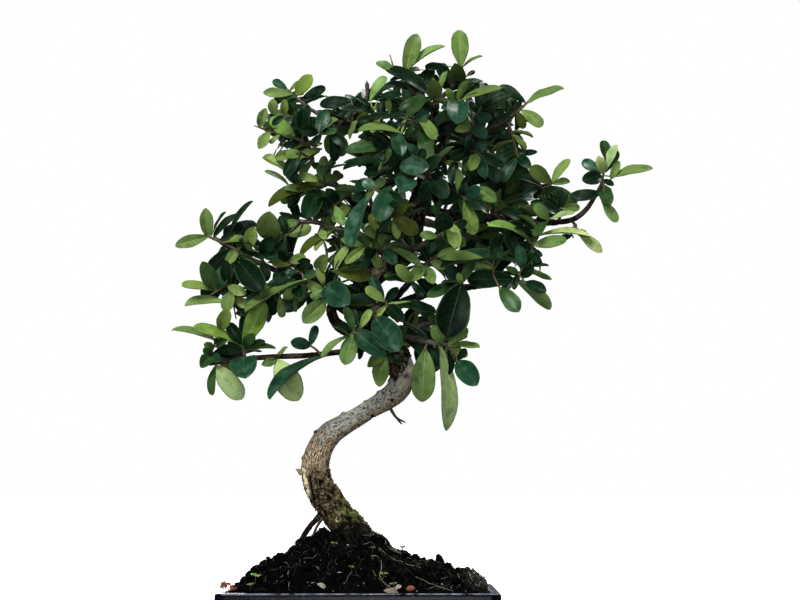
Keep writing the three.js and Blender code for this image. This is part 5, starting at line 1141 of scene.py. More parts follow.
@dataclass(frozen=True)
class BarkFinish:
    """Bark: flaky and dark below, silver grey in the middle, brown and rough above."""

    name: str = "bark"
    silver: Colour = tone(154, 153, 145)
    grey: Colour = tone(76, 76, 70)
    straw: Colour = tone(164, 151, 130)
    tan: Colour = tone(84, 68, 50)
    dark: Colour = tone(38, 32, 24)
    brown: Colour = tone(88, 78, 56)
    cream: Colour = tone(206, 194, 166)
    moss: Colour = tone(92, 98, 44)
    crack: Colour = tone(14, 11, 9)

    def material(self) -> bpy.types.Material:
        """Build the material."""
        recipe = Recipe(self.name)
        rough, moss, shade, under = recipe.parts_of("marks")
        upper = recipe.axes()[2].step(0.212, 0.24) * rough
        flow = recipe.node("ShaderNodeAttribute", {"attribute_name": "flow"}, {})
        along = Number(recipe, flow.outputs["Alpha"])

        def grain(scale: float, stretch: float, detail: float) -> Number:
            """Add noise that is drawn out along the wood; scale is in waves to the millimetre."""
            inputs = {"Vector": flow.outputs["Vector"], "W": along * stretch, "Scale": scale, "Detail": detail}
            return Number(recipe, recipe.node("ShaderNodeTexNoise", {"noise_dimensions": "4D"}, inputs).outputs["Fac"])

        streaks = grain(1.45, 0.3, 3)
        patches = grain(0.22, 0.5, 3)
        specks = grain(1.6, 0.45, 2)
        fine = recipe.noise(700, 4)
        dashes = streaks.step(0.4, 0.53)
        smooth = recipe.mix(dashes * 0.9 + patches.step(0.4, 0.7) * 0.1, self.grey, self.silver)
        warm = recipe.mix(streaks.step(0.42, 0.55), self.tan, self.straw)
        smooth = recipe.mix(under.most(patches.step(0.56, 0.72) * 0.35), smooth, warm)
        smooth = recipe.mix(specks.step(0.64, 0.7) * 0.8, smooth, self.crack)
        coarse = recipe.mix(fine.step(0.35, 0.65), self.dark, self.brown)
        coarse = recipe.mix(streaks.step(0.56, 0.68) * 0.32, coarse, self.straw)
        coarse = recipe.mix(upper * 0.75, coarse, self.crack)
        colour = recipe.mix(rough, smooth, coarse)
        colour = recipe.mix(moss * fine.step(0.3, 0.55), colour, self.moss)
        colour = recipe.mix(shade.step(0.54, 0.95), colour, self.cream)
        colour = recipe.mix(shade.step(0.48, 0.15), colour, self.crack)
        recipe.bump(streaks * 0.7 + fine * (0.2 + rough * 0.6) - specks.step(0.64, 0.7) * 0.5, 1.0, 0.0012)
        return recipe.finish(Base_Color=colour, Roughness=0.88 - fine * 0.1, Specular_IOR_Level=0.12)


@dataclass(frozen=True)
class PeatFinish:
    """Damp peat: nearly black, with brown fibres and a few paler grains."""

    name: str = "peat"
    black: Colour = tone(6, 6, 6)
    brown: Colour = tone(21, 18, 15)
    dust: Colour = tone(78, 76, 70)

    def material(self) -> bpy.types.Material:
        """Build the material."""
        recipe = Recipe(self.name)
        coarse = recipe.noise(260, 5)
        fine = recipe.noise(1500, 3)
        colour = recipe.mix(coarse.step(0.5, 0.8), self.black, self.brown)
        colour = recipe.mix(fine.step(0.68, 0.8) * 0.4, colour, self.dust)
        recipe.bump(coarse + fine * 0.4, 1.0, 0.0015)
        return recipe.finish(Base_Color=colour, Roughness=0.95 - coarse * 0.1, Specular_IOR_Level=0.03)


@dataclass(frozen=True)
class GlazeFinish:
    """Dark blue glaze that thins to a pale worn edge at the rim."""

    name: str = "glaze"
    deep: Colour = tone(3, 4, 11)
    lit: Colour = tone(10, 14, 32)
    worn: Colour = tone(146, 148, 150)

    def material(self) -> bpy.types.Material:
        """Build the material."""
        recipe = Recipe(self.name)
        cloud = recipe.noise(70, 4)
        speckle = recipe.noise(1100, 2)
        patch = recipe.noise(180, 4)
        x, y, z = recipe.axes()
        edge = (x.size() - 0.0988).most(y.size() - 0.0738).step(-0.0006, 0.0004)
        rim = z.step(0.0662, 0.0672)
        colour = recipe.mix(cloud.step(0.35, 0.7), self.deep, self.lit)
        colour = recipe.mix(speckle.step(0.68, 0.74) * 0.4, colour, self.worn)
        worn = edge * rim * patch.step(0.3, 0.55) + rim * patch.step(0.6, 0.72) * 0.5
        colour = recipe.mix(worn * 0.7, colour, self.worn)
        recipe.bump(cloud * 0.6 + patch * 0.3 + speckle * 0.15, 0.35, 0.001)
        return recipe.finish(Base_Color=colour, Roughness=0.2 + cloud * 0.12 + worn * 0.4, Specular_IOR_Level=0.1)


@dataclass(frozen=True)
class MeshFinish:
    """Black moulded plastic of the drain mesh."""

    name: str = "drain_plastic"
    black: Colour = tone(26, 26, 26)
    dust: Colour = tone(58, 54, 48)

    def material(self) -> bpy.types.Material:
        """Build the material."""
        recipe = Recipe(self.name)
        grain = recipe.noise(700, 3)
        recipe.bump(grain, 0.3, 0.0004)
        return recipe.finish(Base_Color=recipe.mix(grain.step(0.5, 0.8), self.black, self.dust), Roughness=0.6)


@dataclass(frozen=True)
class RootFinish:
    """Dead fine roots and stalks, from dark brown to bleached."""

    name: str = "dead_root"
    dark: Colour = tone(19, 17, 14)
    pale: Colour = tone(164, 154, 136)

    def material(self) -> bpy.types.Material:
        """Build the material."""
        recipe = Recipe(self.name)
        bleach, _, _, _ = recipe.parts_of("marks")
        grain = recipe.noise(800, 3)
        recipe.bump(grain, 0.4, 0.0004)
        return recipe.finish(Base_Color=recipe.mix(bleach * grain.step(0.2, 0.6), self.dark, self.pale),
                             Roughness=0.85 - grain * 0.1)


@dataclass(frozen=True)
class LitterFinish:
    """Dried bits: pale where bleached, red brown where fresh."""

    name: str = "litter"
    brown: Colour = tone(70, 56, 42)
    pale: Colour = tone(158, 153, 140)
    red: Colour = tone(122, 58, 40)

    def material(self) -> bpy.types.Material:
        """Build the material."""
        recipe = Recipe(self.name)
        bleach, red, _, _ = recipe.parts_of("marks")
        grain = recipe.noise(600, 3)
        colour = recipe.mix(bleach, self.brown, self.pale)
        colour = recipe.mix(red * 0.8, colour, self.red)
        shaded = recipe.mix(grain.step(0.3, 0.7) * 0.5, colour, self.brown)
        recipe.bump(grain, 0.5, 0.0005)
        return recipe.finish(Base_Color=shaded, Roughness=0.85 - grain * 0.1)


@dataclass(frozen=True)
class MossFinish:
    """Dark moss threads."""

    name: str = "moss"
    dark: Colour = tone(20, 26, 14)
    light: Colour = tone(62, 70, 34)

    def material(self) -> bpy.types.Material:
        """Build the material."""
        recipe = Recipe(self.name)
        own, _, _, _ = recipe.parts_of("marks")
        grain = recipe.noise(500, 2)
        recipe.bump(grain, 0.3, 0.0004)
        return recipe.finish(Base_Color=recipe.mix(own ** 3, self.dark, self.light), Roughness=0.9 - grain * 0.1)


class Tint(Enum):
    """The leaf colours that the tree shows."""

    DARK = "D"
    BLUE = "B"
    LIGHT = "L"
    YOUNG = "Y"
    UNDER = "U"
    OLD = "O"
    PALE = "P"
    MIDDLE = "M"
    # Near black: a painted shade, for leaves that show darkest in the crown's shade.
    DEEP = "E"


@dataclass(frozen=True)
class LeafTone:
    """The two sides of a leaf of one tint, and how much its upper side shines, in its gloss and in its painted sheen.
    """

    upper: Colour
    under: Colour
    sheen: float


LEAF, TWIG = 0, 1
TWIG_TONE = (0.1, 0.1, 0.1, 0.0)

LEAF_TONES: dict[Tint, LeafTone] = {
    Tint.DARK: LeafTone(tone(8, 35, 18), tone(98, 118, 76), 0.35),
    Tint.BLUE: LeafTone(tone(26, 60, 44), tone(92, 112, 78), 1.0),
    Tint.LIGHT: LeafTone(tone(98, 116, 68), tone(122, 138, 94), 0.25),
    Tint.YOUNG: LeafTone(tone(108, 130, 64), tone(130, 146, 90), 0.2),
    Tint.UNDER: LeafTone(tone(22, 52, 28), tone(102, 120, 80), 0.3),
    Tint.OLD: LeafTone(tone(70, 78, 28), tone(102, 106, 54), 0.2),
    Tint.PALE: LeafTone(tone(148, 160, 114), tone(140, 156, 112), 0.1),
    Tint.MIDDLE: LeafTone(tone(46, 70, 36), tone(102, 122, 78), 0.35),
    # The near black upper side is painted shade.
    Tint.DEEP: LeafTone(tone(3, 24, 11), tone(66, 84, 52), 0.1),
}


# How much nearer to the viewer a leaf's tip lies than the rule puts it, by spray and number of the leaf.
NEARER_TIPS: dict[tuple[str, int], float] = {
    ("spray_low_left_leaf", 0): 34.0, ("spray_low_left_round", 0): -12.0, ("spray_left_inner", 0): 24.0,
    ("spray_right_fork", 0): 26.0, ("spray_front_top", 2): 12.0, ("spray_front_low", 3): 14.0,
    ("spray_top_right", 2): 20.0, ("spray_centre_grey", 0): 14.0, ("spray_low_left_rosette", 1): 8.0,
    ("spray_under_right", 0): 16.0,
}

# The tints of leaves that are grown by rule: each up to a limit on a draw from 0 to 1. These leaves fill the crown's
# inside, so the near black tint, a painted shade, is drawn often.
GROWN_TINTS: tuple[tuple[float, Tint], ...] = (
    (0.36, Tint.DARK), (0.6, Tint.DEEP), (0.74, Tint.BLUE), (0.9, Tint.MIDDLE), (0.95, Tint.LIGHT),
    (0.97, Tint.YOUNG), (1.1, Tint.OLD),
)
# A third of the leaves that close gaps in the crown take the near black tint, a painted shade.
GAP_CODES = ["D", "D", "E", "E", "B", "M"]
GROWN_FOLD = 0.14
FIRST_GAP_SEED = 90001


@dataclass
class Blade:
    """One leaf: where it grows, which way it lies and how it is curved."""

    base: np.ndarray
    along: np.ndarray
    up: np.ndarray
    length: float
    width: float
    arch: float
    fold: float
    tint: Tint
    seat: np.ndarray
    seed: int

    def places(self, share: np.ndarray, across: np.ndarray) -> np.ndarray:
        """Find places on the leaf.

        Args:
            share: How far along, from 0 at the base to 1 at the tip.
            across: How far across, from -1 to 1 at the edges.

        Returns:
            The places, one to a row.
        """
        half = self.half_width(share)
        lift = self.arch * self.length * 4 * share * (1 - share) + self.fold * np.abs(across) * half
        side = np.cross(self.up, self.along)
        return (self.base + np.outer(self.length * share, self.along) + np.outer(lift, self.up)
                + np.outer(across * half, side))

    def half_width(self, share: np.ndarray) -> np.ndarray:
        """Give the half width along the leaf: widest about the middle, a wedge at the foot, blunt at the tip."""
        random = np.random.default_rng(self.seed)
        foot = random.uniform(0.6, 0.86)
        fullness = random.uniform(1.3, 2.2)
        blunt = random.uniform(0.42, 0.64)
        at = np.clip(share, 0.0, 1.0)
        outline = np.maximum(at, 0.004) ** foot * np.clip(1 - at ** fullness, 0.0015, None) ** blunt
        widest = (foot / (foot + fullness * blunt)) ** (1 / fullness)
        most = widest ** foot * (1 - widest ** fullness) ** blunt
        uneven = 1 + 0.035 * np.sin(at * random.uniform(9, 17) + random.uniform(0, 6))
        return self.width / 2 * outline * uneven / most

    def surface(self, blank: "LeafBlank") -> np.ndarray:
        """Bend the blank to this leaf.

        Args:
            blank: The flat leaf that is copied.

        Returns:
            The leaf's points in millimetres.
        """
        random = np.random.default_rng(self.seed + 7)
        share, across, sheet = blank.share, blank.across, blank.sheet
        places = self.places(share, across)
        cup = (random.uniform(-0.22, 0.12) * across ** 2 + 0.1 * np.abs(across)) * self.half_width(share)
        wave = random.uniform(0.1, 0.5) * across ** 2 * np.sin(share * random.uniform(7, 13) + random.uniform(0, 6))
        droop = -random.uniform(-0.02, 0.07) * self.length * share ** 3
        groove = -0.28 * np.exp(-(across * 3.2) ** 2) * (1 - 0.6 * share)
        thick = sheet * blank.thickness * (1 - 0.55 * across ** 4)
        twist = random.uniform(-0.16, 0.16) * across * self.half_width(share) * share
        return places + np.outer(cup + wave + droop + groove + thick + twist, self.up)


class LeafBlank:
    """A flat leaf, cut once: the share along, the share across and the side of the sheet at each point."""

    def __init__(self, thickness: float = 0.45, rows: int = 10, columns: int = 4) -> None:
        """Cut the blank from a grid and give it two sides.

        Args:
            thickness: Thickness of the leaf in millimetres.
            rows: Faces along the leaf.
            columns: Faces across the leaf.
        """
        piece = Bench.start(bpy.ops.mesh.primitive_grid_add, x_subdivisions=columns, y_subdivisions=rows, size=2)
        Bench.apply(piece, "SOLIDIFY", thickness=0.5, offset=0.0)
        points = Bench.points(piece) * MM
        even = (points[:, 1] + 1) / 2
        self.share = np.sin(even * np.pi / 2) ** 1.15
        self.across = points[:, 0]
        self.sheet = np.sign(points[:, 2])
        self.thickness = thickness / 2
        self.faces = Bench.faces(piece)
        Bench.discard(piece)

    def paint(self, blade: Blade) -> tuple[np.ndarray, np.ndarray]:
        """Give the two paints of a leaf's points.

        Args:
            blade: The leaf.

        Returns:
            Share across, share along, the leaf's own number and its side; then its colour and sheen.
        """
        random = np.random.default_rng(blade.seed + 3)
        upper = (self.sheet > 0).astype(float)
        own = np.full(len(upper), random.uniform())
        marks = np.stack([self.across / 2 + 0.5, self.share, own, upper], axis=1)
        pair = LEAF_TONES[blade.tint]
        shade = random.uniform(0.78, 1.22)
        warm = random.uniform(-0.08, 0.08)
        colours = np.where(upper[:, None] > 0.5, np.array(pair.upper), np.array(pair.under))
        colours = colours * shade * np.array([1 + warm, 1.0, 1 - warm])
        sheen = pair.sheen * random.uniform(0.5, 1.2)
        return marks, np.column_stack([colours, np.full(len(own), sheen)])


class Crowding:
    """What the leaves and the wood take up, as clouds of points."""

    SHARES = np.repeat([0.2, 0.4, 0.6, 0.8, 0.97], 3)
    ACROSS = np.tile([-0.8, 0.0, 0.8], 5)
    ROW = 3
    CLEAR_OF_WOOD = 0.8
    FARTHEST = 34
    SAME_SPRAY = 0.7
    BEFORE = 3.4
    TOUCHING = 2

    def __init__(self, wood: list[np.ndarray]) -> None:
        """Start with the wood.

        Args:
            wood: Paths of the trunk and the limbs.
        """
        self.wood = np.vstack(wood)
        self.clouds: list[np.ndarray] = []
        self.centres: list[np.ndarray] = []
        self.owners: list[str] = []
        self.kept_seen = np.empty((0, 2))
        self.kept_depth = np.empty(0)

    def cloud(self, blade: Blade) -> np.ndarray:
        """Give the points that stand for a leaf."""
        return blade.places(self.SHARES, self.ACROSS)

    def room(self, blade: Blade, owner: str, clear: float) -> bool:
        """Tell whether a leaf has room.

        Args:
            blade: The leaf.
            owner: Its spray.
            clear: The distance that it keeps to other leaves.

        Returns:
            True where it crosses neither a leaf nor the wood.
        """
        cloud = self.cloud(blade)
        outer = cloud[self.ROW:]
        gaps = np.linalg.norm(outer[:, None] - self.wood[None, :, :3], axis=2) - self.wood[None, :, 3]
        if gaps.min() < self.CLEAR_OF_WOOD:
            return False
        if not self.centres:
            return True
        near = np.linalg.norm(np.array(self.centres) - cloud.mean(axis=0), axis=1) < self.FARTHEST
        for index in np.flatnonzero(near):
            same = self.owners[index] == owner
            skipped = 2 * self.ROW if same else 0
            mine, theirs = cloud[skipped:], self.clouds[index][skipped:]
            least = clear * self.SAME_SPRAY if same else clear
            if np.linalg.norm(mine[:, None] - theirs[None], axis=2).min() < least:
                return False
        return True

    def hides_kept(self, blade: Blade) -> bool:
        """Tell whether a leaf would stand before one that was placed one by one."""
        cloud = self.cloud(blade)
        away = np.linalg.norm(seen_from_front(cloud)[:, None] - self.kept_seen[None], axis=2)
        before = cloud[:, 1][:, None] < self.kept_depth[None]
        return bool(((away < self.BEFORE) & before).sum() > self.TOUCHING)

    def take(self, blade: Blade, owner: str, kept: bool) -> None:
        """Note a leaf that is placed.

        Args:
            blade: The leaf.
            owner: Its spray.
            kept: Whether it was placed one by one.
        """
        cloud = self.cloud(blade)
        self.clouds.append(cloud)
        self.centres.append(cloud.mean(axis=0))
        self.owners.append(owner)
        if kept:
            self.kept_seen = np.vstack([self.kept_seen, seen_from_front(cloud)])
            self.kept_depth = np.concatenate([self.kept_depth, cloud[:, 1]])


@dataclass
class Spray:
    """A leafy spray while it grows."""

    rows: SprayRows
    seed: int
    paths: list[np.ndarray] = field(default_factory=list)
    blades: list[Blade] = field(default_factory=list)

    def take(self, blade: Blade, crowding: Crowding, kept: bool = False) -> None:
        """Add a leaf and note the room that it takes up; kept says that it is placed one by one."""
        crowding.take(blade, self.rows.name, kept)
        self.blades.append(blade)


class Daylight:
    """The cells of the view from the front, and which of them leaves or wood cover."""

    CELL = 1.6
    LOW = np.array([-130.0, 200.0])
    CELLS = (190, 170)
    SHARES, ACROSS = (
        grid.ravel() for grid in np.meshgrid(np.linspace(0.08, 0.98, 18), np.linspace(-0.95, 0.95, 13)))

    def __init__(self, wood: np.ndarray, blades: list[Blade]) -> None:
        """Cover what lies behind the wood and the leaves so far.

        Args:
            wood: Rows of x, y, z and a radius along the wood.
            blades: The leaves.
        """
        self.covered = np.zeros(self.CELLS, dtype=bool)
        for blade in blades:
            self.cover(blade)
        for row in wood:
            x, z = self.cell_of(seen_from_front(row[None, :3])[0])
            reach = int(row[3] / self.CELL)
            # A ring below the lowest cell has a negative end here, and so also covers the cells over it.
            self.covered[max(x - reach, 0):x + reach + 1, max(z - reach, 0):z + reach + 1] = True

    def cell_of(self, seen: np.ndarray) -> np.ndarray:
        """Give the cells in which seen points lie."""
        return ((seen - self.LOW) / self.CELL).astype(int)

    def cover(self, blade: Blade) -> None:
        """Cover the cells behind a leaf."""
        cells = self.cell_of(seen_from_front(blade.places(self.SHARES, self.ACROSS)))
        held = (cells >= 0).all(axis=1) & (cells < self.covered.shape).all(axis=1)
        self.covered[cells[held, 0], cells[held, 1]] = True

    def shows(self, place: np.ndarray) -> bool:
        """Tell whether daylight shows at a seen place."""
        x, z = self.cell_of(place)
        return not self.covered[x, z]

    def leafy_places(self, random: np.random.Generator) -> np.ndarray:
        """Give the middles of all the cells that the real crown's leaves cover, in a random order."""
        grid = np.argwhere(np.ones_like(self.covered)) * self.CELL + self.LOW + self.CELL / 2
        leafy = inside(grid, CROWN) | inside(grid, LOW_CROWN)
        for window in WINDOWS:
            leafy &= ~inside(grid, window)
        places = grid[leafy]
        random.shuffle(places)
        return places


@dataclass
class Foliage:
    """All the sprays: grown by the rule of the solids, then filled to the real number of leaves."""

    width_share: float = 0.42
    foreshortened: float = 0.52
    longest: float = 40.0
    far_seat: float = 5.5
    lengths: tuple[float, float] = (16.0, 29.0)
    golden_angle: float = 2.39996
    steps: int = 4
    depths: tuple[int, ...] = (0, -5, 5, -10, 10, -15)
    flatter: float = 0.7
    clear_placed: float = 1.6
    clear_grown: float = 1.7
    clear_gap: float = 1.1
    rounds_a_fill: float = 5.5
    least_rounds: int = 5
    grown_tries: int = 10
    gap_seats: int = 40
    gap_reach: float = 24.0
    gap_tries: int = 10
    gap_lengths: tuple[float, float] = (11.0, 33.0)
    gap_seed: int = 404
    twig_sides: int = 6
    thorny_from: float = 14.0
    thorny_share: float = 0.5
    sprays: list[Spray] = field(default_factory=list)

    def twig_paths(self, twigs: list[list[Place]]) -> list[np.ndarray]:
        """Lay a spray's twigs, each after the first starting on one of those before it."""
        paths: list[np.ndarray] = []
        for rows in twigs:
            path = np.array([[*from_front(x, z, depth), radius] for x, z, depth, radius in rows])
            if paths:
                others = np.vstack(paths)[:, :3]
                away = np.linalg.norm(others - path[0, :3], axis=1)
                if away.min() > path[0, 3] * 0.3:
                    path = np.vstack([[*others[away.argmin()], path[0, 3]], path])
            paths.append(smoothed(path, self.steps))
        return paths

    def nearest_seat(self, spray: Spray, x: float, z: float) -> tuple[np.ndarray, float]:
        """Find the place on a spray's twigs that is seen nearest to x, z, and how far off it is."""
        best = (spray.paths[0][0, :3], 1e9)
        for path in spray.paths:
            at = path[:-1, :3] if len(path) > 2 else path[:, :3]
            fine = np.vstack([at[:-1] + (at[1:] - at[:-1]) * t for t in (0.0, 0.25, 0.5, 0.75)])
            away = np.linalg.norm(seen_from_front(fine) - [x, z], axis=1)
            if away.min() < best[1]:
                best = (fine[away.argmin()], float(away.min()))
        return best

    def seated(self, spray: Spray, index: int, attempt: int) -> Blade:
        """Place a leaf that the photograph shows.

        Args:
            spray: Its spray.
            index: Its number in the spray.
            attempt: Which of the depths is tried, and past the last depth the same ones with a flatter roll.

        Returns:
            The leaf.
        """
        x, z, tip_x, tip_z, seen_width, code = spray.rows.leaves[index]
        seed = spray.seed * 101 + index
        random = seeded(seed)
        seat, away = self.nearest_seat(spray, x, z)
        seen = math.hypot(tip_x - x, tip_z - z)
        short = seen_width > seen * self.foreshortened
        length = min(seen_width / 0.5, self.longest) if short else seen
        shown = seen_width * (1.12 - 0.015 * min(seen_width, 12.0))
        width = max(shown, 0.9 * self.width_share * length * (0.9 + 0.2 * random()))
        sideways = seen * (0.15 - 0.4 * random())
        lean = -math.sqrt(max(length ** 2 - seen ** 2, 0)) if short else sideways
        again, depth = divmod(attempt, len(self.depths))
        nudge = self.depths[depth] - NEARER_TIPS.get((spray.rows.name, index), 0.0)
        roll = math.acos(min(shown / width, 1)) * (self.flatter if again else 1)
        base = from_front(x, z, seat[1]) if away > self.far_seat else seat
        tip = from_front(tip_x, tip_z, seat[1] + lean + nudge)
        along = unit(tip - base)
        facing = across_of(TOWARDS_VIEWER, along)
        side = np.cross(along, facing)
        side = -side if side[2] < 0 else side
        up = unit(side * math.sin(roll) + facing * math.cos(roll) * (-1 if code == "U" else 1))
        size = float(np.linalg.norm(tip - base))
        arch = 0.025 + 0.05 * min(seen_width / width, 1)
        return Blade(base, along, up, size, width, arch, 0.18 + 0.22 * random(), Tint(code), seat, seed)

    def grown(self, spray: Spray, index: int, attempt: int) -> Blade:
        """Place a leaf by rule.

        Args:
            spray: Its spray.
            index: Its number in the spray.
            attempt: Which of its places is tried.

        Returns:
            The leaf.
        """
        seed = spray.seed * 1009 + index * 31 + attempt * 7 + 5
        random = seeded(seed)
        path = spray.paths[index % len(spray.paths)]
        reach = 0.3 + 0.7 * ((index * 0.618 + 0.37 * attempt) % 1)
        place = reach * (len(path) - 1)
        i = min(int(place), len(path) - 2)
        base = path[i, :3] + (path[i + 1, :3] - path[i, :3]) * (place - i)
        twig = unit(path[i + 1, :3] - path[i, :3])
        across = unit(np.cross(twig, [0.1, 0.2, 1.0]))
        over = np.cross(twig, across)
        angle = index * self.golden_angle + attempt * 1.3 + random() * 0.6
        spread = math.radians(80 - 50 * reach + 25 * random())
        along = unit(twig * math.cos(spread) + across * math.sin(spread) * math.cos(angle)
                     + over * math.sin(spread) * math.sin(angle) + [0, 0, 0.2])
        shortest, longest = self.lengths
        length = shortest + (longest - shortest) * random() * (1 - attempt * 0.04)
        up = np.array([0, -0.25, 1]) - along * (along[2] - 0.25 * along[1])
        tilt = (random() - 0.5) * 1.6
        up = unit(up - along * (up @ along))
        up = up * math.cos(tilt) + np.cross(along, up) * math.sin(tilt)
        width = length * (0.36 + 0.12 * random())
        arch = 0.05 + 0.05 * random()
        pick = random()
        tint = next(tint for limit, tint in GROWN_TINTS if pick < limit)
        return Blade(base, along, up, length, width, arch, GROWN_FOLD, tint, base, seed)

    @staticmethod
    def in_crown(blade: Blade) -> bool:
        """Tell whether a leaf stays within the crown as seen from the front."""
        share = np.array([0.3, 0.3, 0.7, 0.7, 1.0])
        seen = seen_from_front(blade.places(share, np.array([1.0, -1.0, 1.0, -1.0, 0.0])))
        held = inside(seen, CROWN) | inside(seen, LOW_CROWN)
        return bool(held.all()) and not any(inside(seen, window).any() for window in WINDOWS)

    def fits(self, blade: Blade, spray: Spray, crowding: Crowding, clear: float) -> bool:
        """Tell whether a leaf that is grown by rule may stay.

        Args:
            blade: The leaf.
            spray: Its spray.
            crowding: What is taken up so far.
            clear: The distance that it keeps to other leaves.

        Returns:
            True where it stays in the crown, hides no placed leaf and has room.
        """
        return (self.in_crown(blade) and not crowding.hides_kept(blade)
                and crowding.room(blade, spray.rows.name, clear))

    def grow(self) -> None:
        """Grow every spray: the leaves placed one by one, then the rest in rounds."""
        crowding = Crowding([placed_path(rows, self.steps) for rows in (TRUNK, *LIMBS.values())])
        for number, rows in enumerate(SPRAYS):
            self.sprays.append(Spray(rows, number + 1, self.twig_paths(rows.twigs)))
        for spray in self.sprays:
            for index in range(len(spray.rows.leaves)):
                tries = [self.seated(spray, index, attempt) for attempt in range(2 * len(self.depths))]
                fitting = (blade for blade in tries if crowding.room(blade, spray.rows.name, self.clear_placed))
                spray.take(next(fitting, tries[0]), crowding, kept=True)
        rounds = [round(spray.rows.fill * self.rounds_a_fill + self.least_rounds) for spray in self.sprays]
        for index in range(max(rounds)):
            for spray, most in zip(self.sprays, rounds):
                if index < most:
                    self.grow_one(spray, index, crowding)
        self.close_gaps(crowding)
        log.info("%d leaves in %d sprays", sum(len(spray.blades) for spray in self.sprays), len(self.sprays))

    def grow_one(self, spray: Spray, index: int, crowding: Crowding) -> None:
        """Grow one leaf by rule, in the first of its places that has room for it.

        Args:
            spray: Its spray.
            index: Its number in the spray.
            crowding: What is taken up so far.
        """
        for attempt in range(self.grown_tries):
            blade = self.grown(spray, index, attempt)
            if self.fits(blade, spray, crowding, self.clear_grown):
                spray.take(blade, crowding)
                return

    def close_gaps(self, crowding: Crowding) -> None:
        """Add leaves where the crown would show daylight that the real one does not.

        Args:
            crowding: What is taken up so far.
        """
        daylight = Daylight(crowding.wood, [blade for spray in self.sprays for blade in spray.blades])
        seats = [(spray, row[:3]) for spray in self.sprays for path in spray.paths if len(path) > 3
                 for row in path[1:-1]]
        seen_seats = seen_from_front(np.array([place for _, place in seats]))
        random = np.random.default_rng(self.gap_seed)
        for number, target in enumerate(daylight.leafy_places(random)):
            if not daylight.shows(target):
                continue
            away = np.linalg.norm(seen_seats - target, axis=1)
            near = np.argsort(away)[:self.gap_seats]
            near = near[away[near] < self.gap_reach]
            for _ in range(min(self.gap_tries, len(near))):
                spray, seat = seats[near[int(random.uniform() ** 1.6 * len(near))]]
                blade = self.reaching(seat, target, random, number)
                if blade is not None and self.fits(blade, spray, crowding, self.clear_gap):
                    spray.take(blade, crowding)
                    daylight.cover(blade)
                    break

    def reaching(self, seat: np.ndarray, target: np.ndarray, random: np.random.Generator, seed: int) -> Blade | None:
        """Grow a leaf from a seat so that it covers a place.

        Args:
            seat: Place on a twig.
            target: The seen place to cover.
            random: Draws.
            seed: The leaf's own seed.

        Returns:
            The leaf, or nothing where the place is too near to its seat.
        """
        gap = float(np.linalg.norm(seen_from_front(seat[None])[0] - target))
        length = gap / random.uniform(0.4, 0.72)
        shortest, longest = self.gap_lengths
        if not shortest < length < longest:
            return None
        depth = seat[1] + gap * random.uniform(-0.5, 0.9)
        along = unit(from_front(target[0], target[1], depth) - seat)
        facing = TOWARDS_VIEWER + np.array([random.uniform(-0.6, 0.6), 0, random.uniform(0.1, 1.3)])
        up = across_of(facing, along)
        code = str(random.choice(GAP_CODES))
        return Blade(seat, along, up, length, length * random.uniform(0.36, 0.5), random.uniform(0.04, 0.1),
                     GROWN_FOLD, Tint(code), seat, FIRST_GAP_SEED + seed)

    def make_spray(self, spray: Spray, blank: LeafBlank, materials: list[bpy.types.Material]) -> bpy.types.Object:
        """Make the mesh of one spray.

        Args:
            spray: The grown spray.
            blank: The leaf that is copied.
            materials: The leaf's and the twig's materials.

        Returns:
            The piece, dressed.
        """
        shape = Shape()
        random = np.random.default_rng(spray.seed)
        for path in spray.paths:
            self.add_twig(shape, path, random)
        for blade in spray.blades:
            marks, colours = blank.paint(blade)
            shape.add(blade.surface(blank), blank.faces, LEAF, marks=marks, tone=colours)
            self.add_stalk(shape, blade, colours[-1])
        piece = shape.make(spray.rows.name.replace("spray_", "leaves_"), materials)
        return dress(piece, spray.rows.slot, spray.rows.name)

    def add_twig(self, shape: Shape, path: np.ndarray, random: np.random.Generator) -> None:
        """Add a twig with its swollen leaf scars and its thorns.

        Args:
            shape: What the twig is added to.
            path: Its path.
            random: Draws of the spray.
        """
        fine = smoothed(path, 2)
        knots = 1 + 0.16 * np.maximum(np.sin(np.arange(len(fine)) * 1.9 + random.uniform(0, 6)), 0)
        fine[:, 3] *= knots
        points, faces = tube(fine, self.twig_sides, tip=True)
        young = np.clip(1.3 - np.append(np.repeat(fine[:, 3], self.twig_sides), [2.0, 0.4]), 0, 1)
        marks = np.column_stack([young, np.full(len(points), random.uniform()), young * 0, young * 0])
        shape.add(points, faces, TWIG, marks=marks, tone=TWIG_TONE)
        length = np.linalg.norm(np.diff(path[:, :3], axis=0), axis=1).sum()
        if length > self.thorny_from and random.uniform() < self.thorny_share:
            self.add_thorn(shape, path, random)

    @staticmethod
    def add_thorn(shape: Shape, path: np.ndarray, random: np.random.Generator) -> None:
        """Add a straight thorn to a twig."""
        i = int(random.uniform(0.3, 0.75) * (len(path) - 1))
        twig = unit(path[i + 1, :3] - path[i, :3])
        out = unit(np.cross(twig, random.normal(size=3)))
        direction = unit(out + 0.55 * twig)
        size = random.uniform(5, 9)
        rows = [[*(path[i, :3] + direction * size * t), 0.5 * (1 - t) + 0.06] for t in (0.0, 0.5, 1.0)]
        shape.add(*tube(np.array(rows), 5, tip=True), TWIG, marks=(0.2, 0.5, 0, 0), tone=TWIG_TONE)

    @staticmethod
    def add_stalk(shape: Shape, blade: Blade, colour: np.ndarray) -> None:
        """Add a leaf's stalk, from the twig to the foot of its blade."""
        inner = blade.places(np.array([0.02, 0.13]), np.array([0.0, 0.0])) - blade.up * 0.15
        width = 0.3 + 0.012 * blade.length
        rows = np.column_stack([np.vstack([blade.seat, inner]), [width, width * 0.9, width * 0.5]])
        shape.add(*tube(rows, 4), LEAF, marks=(0.5, 0.02, 0.5, 1.0), tone=colour)


@dataclass(frozen=True)
class Mark:
    """A knot, notch or flake of the bark, or a patch of painted highlight, as seen from the front: its place, radius,
    height and paint.
    """

    x: float
    z: float
    radius: float
    height: float
    pale: float = 0.0
    dark: float = 0.0


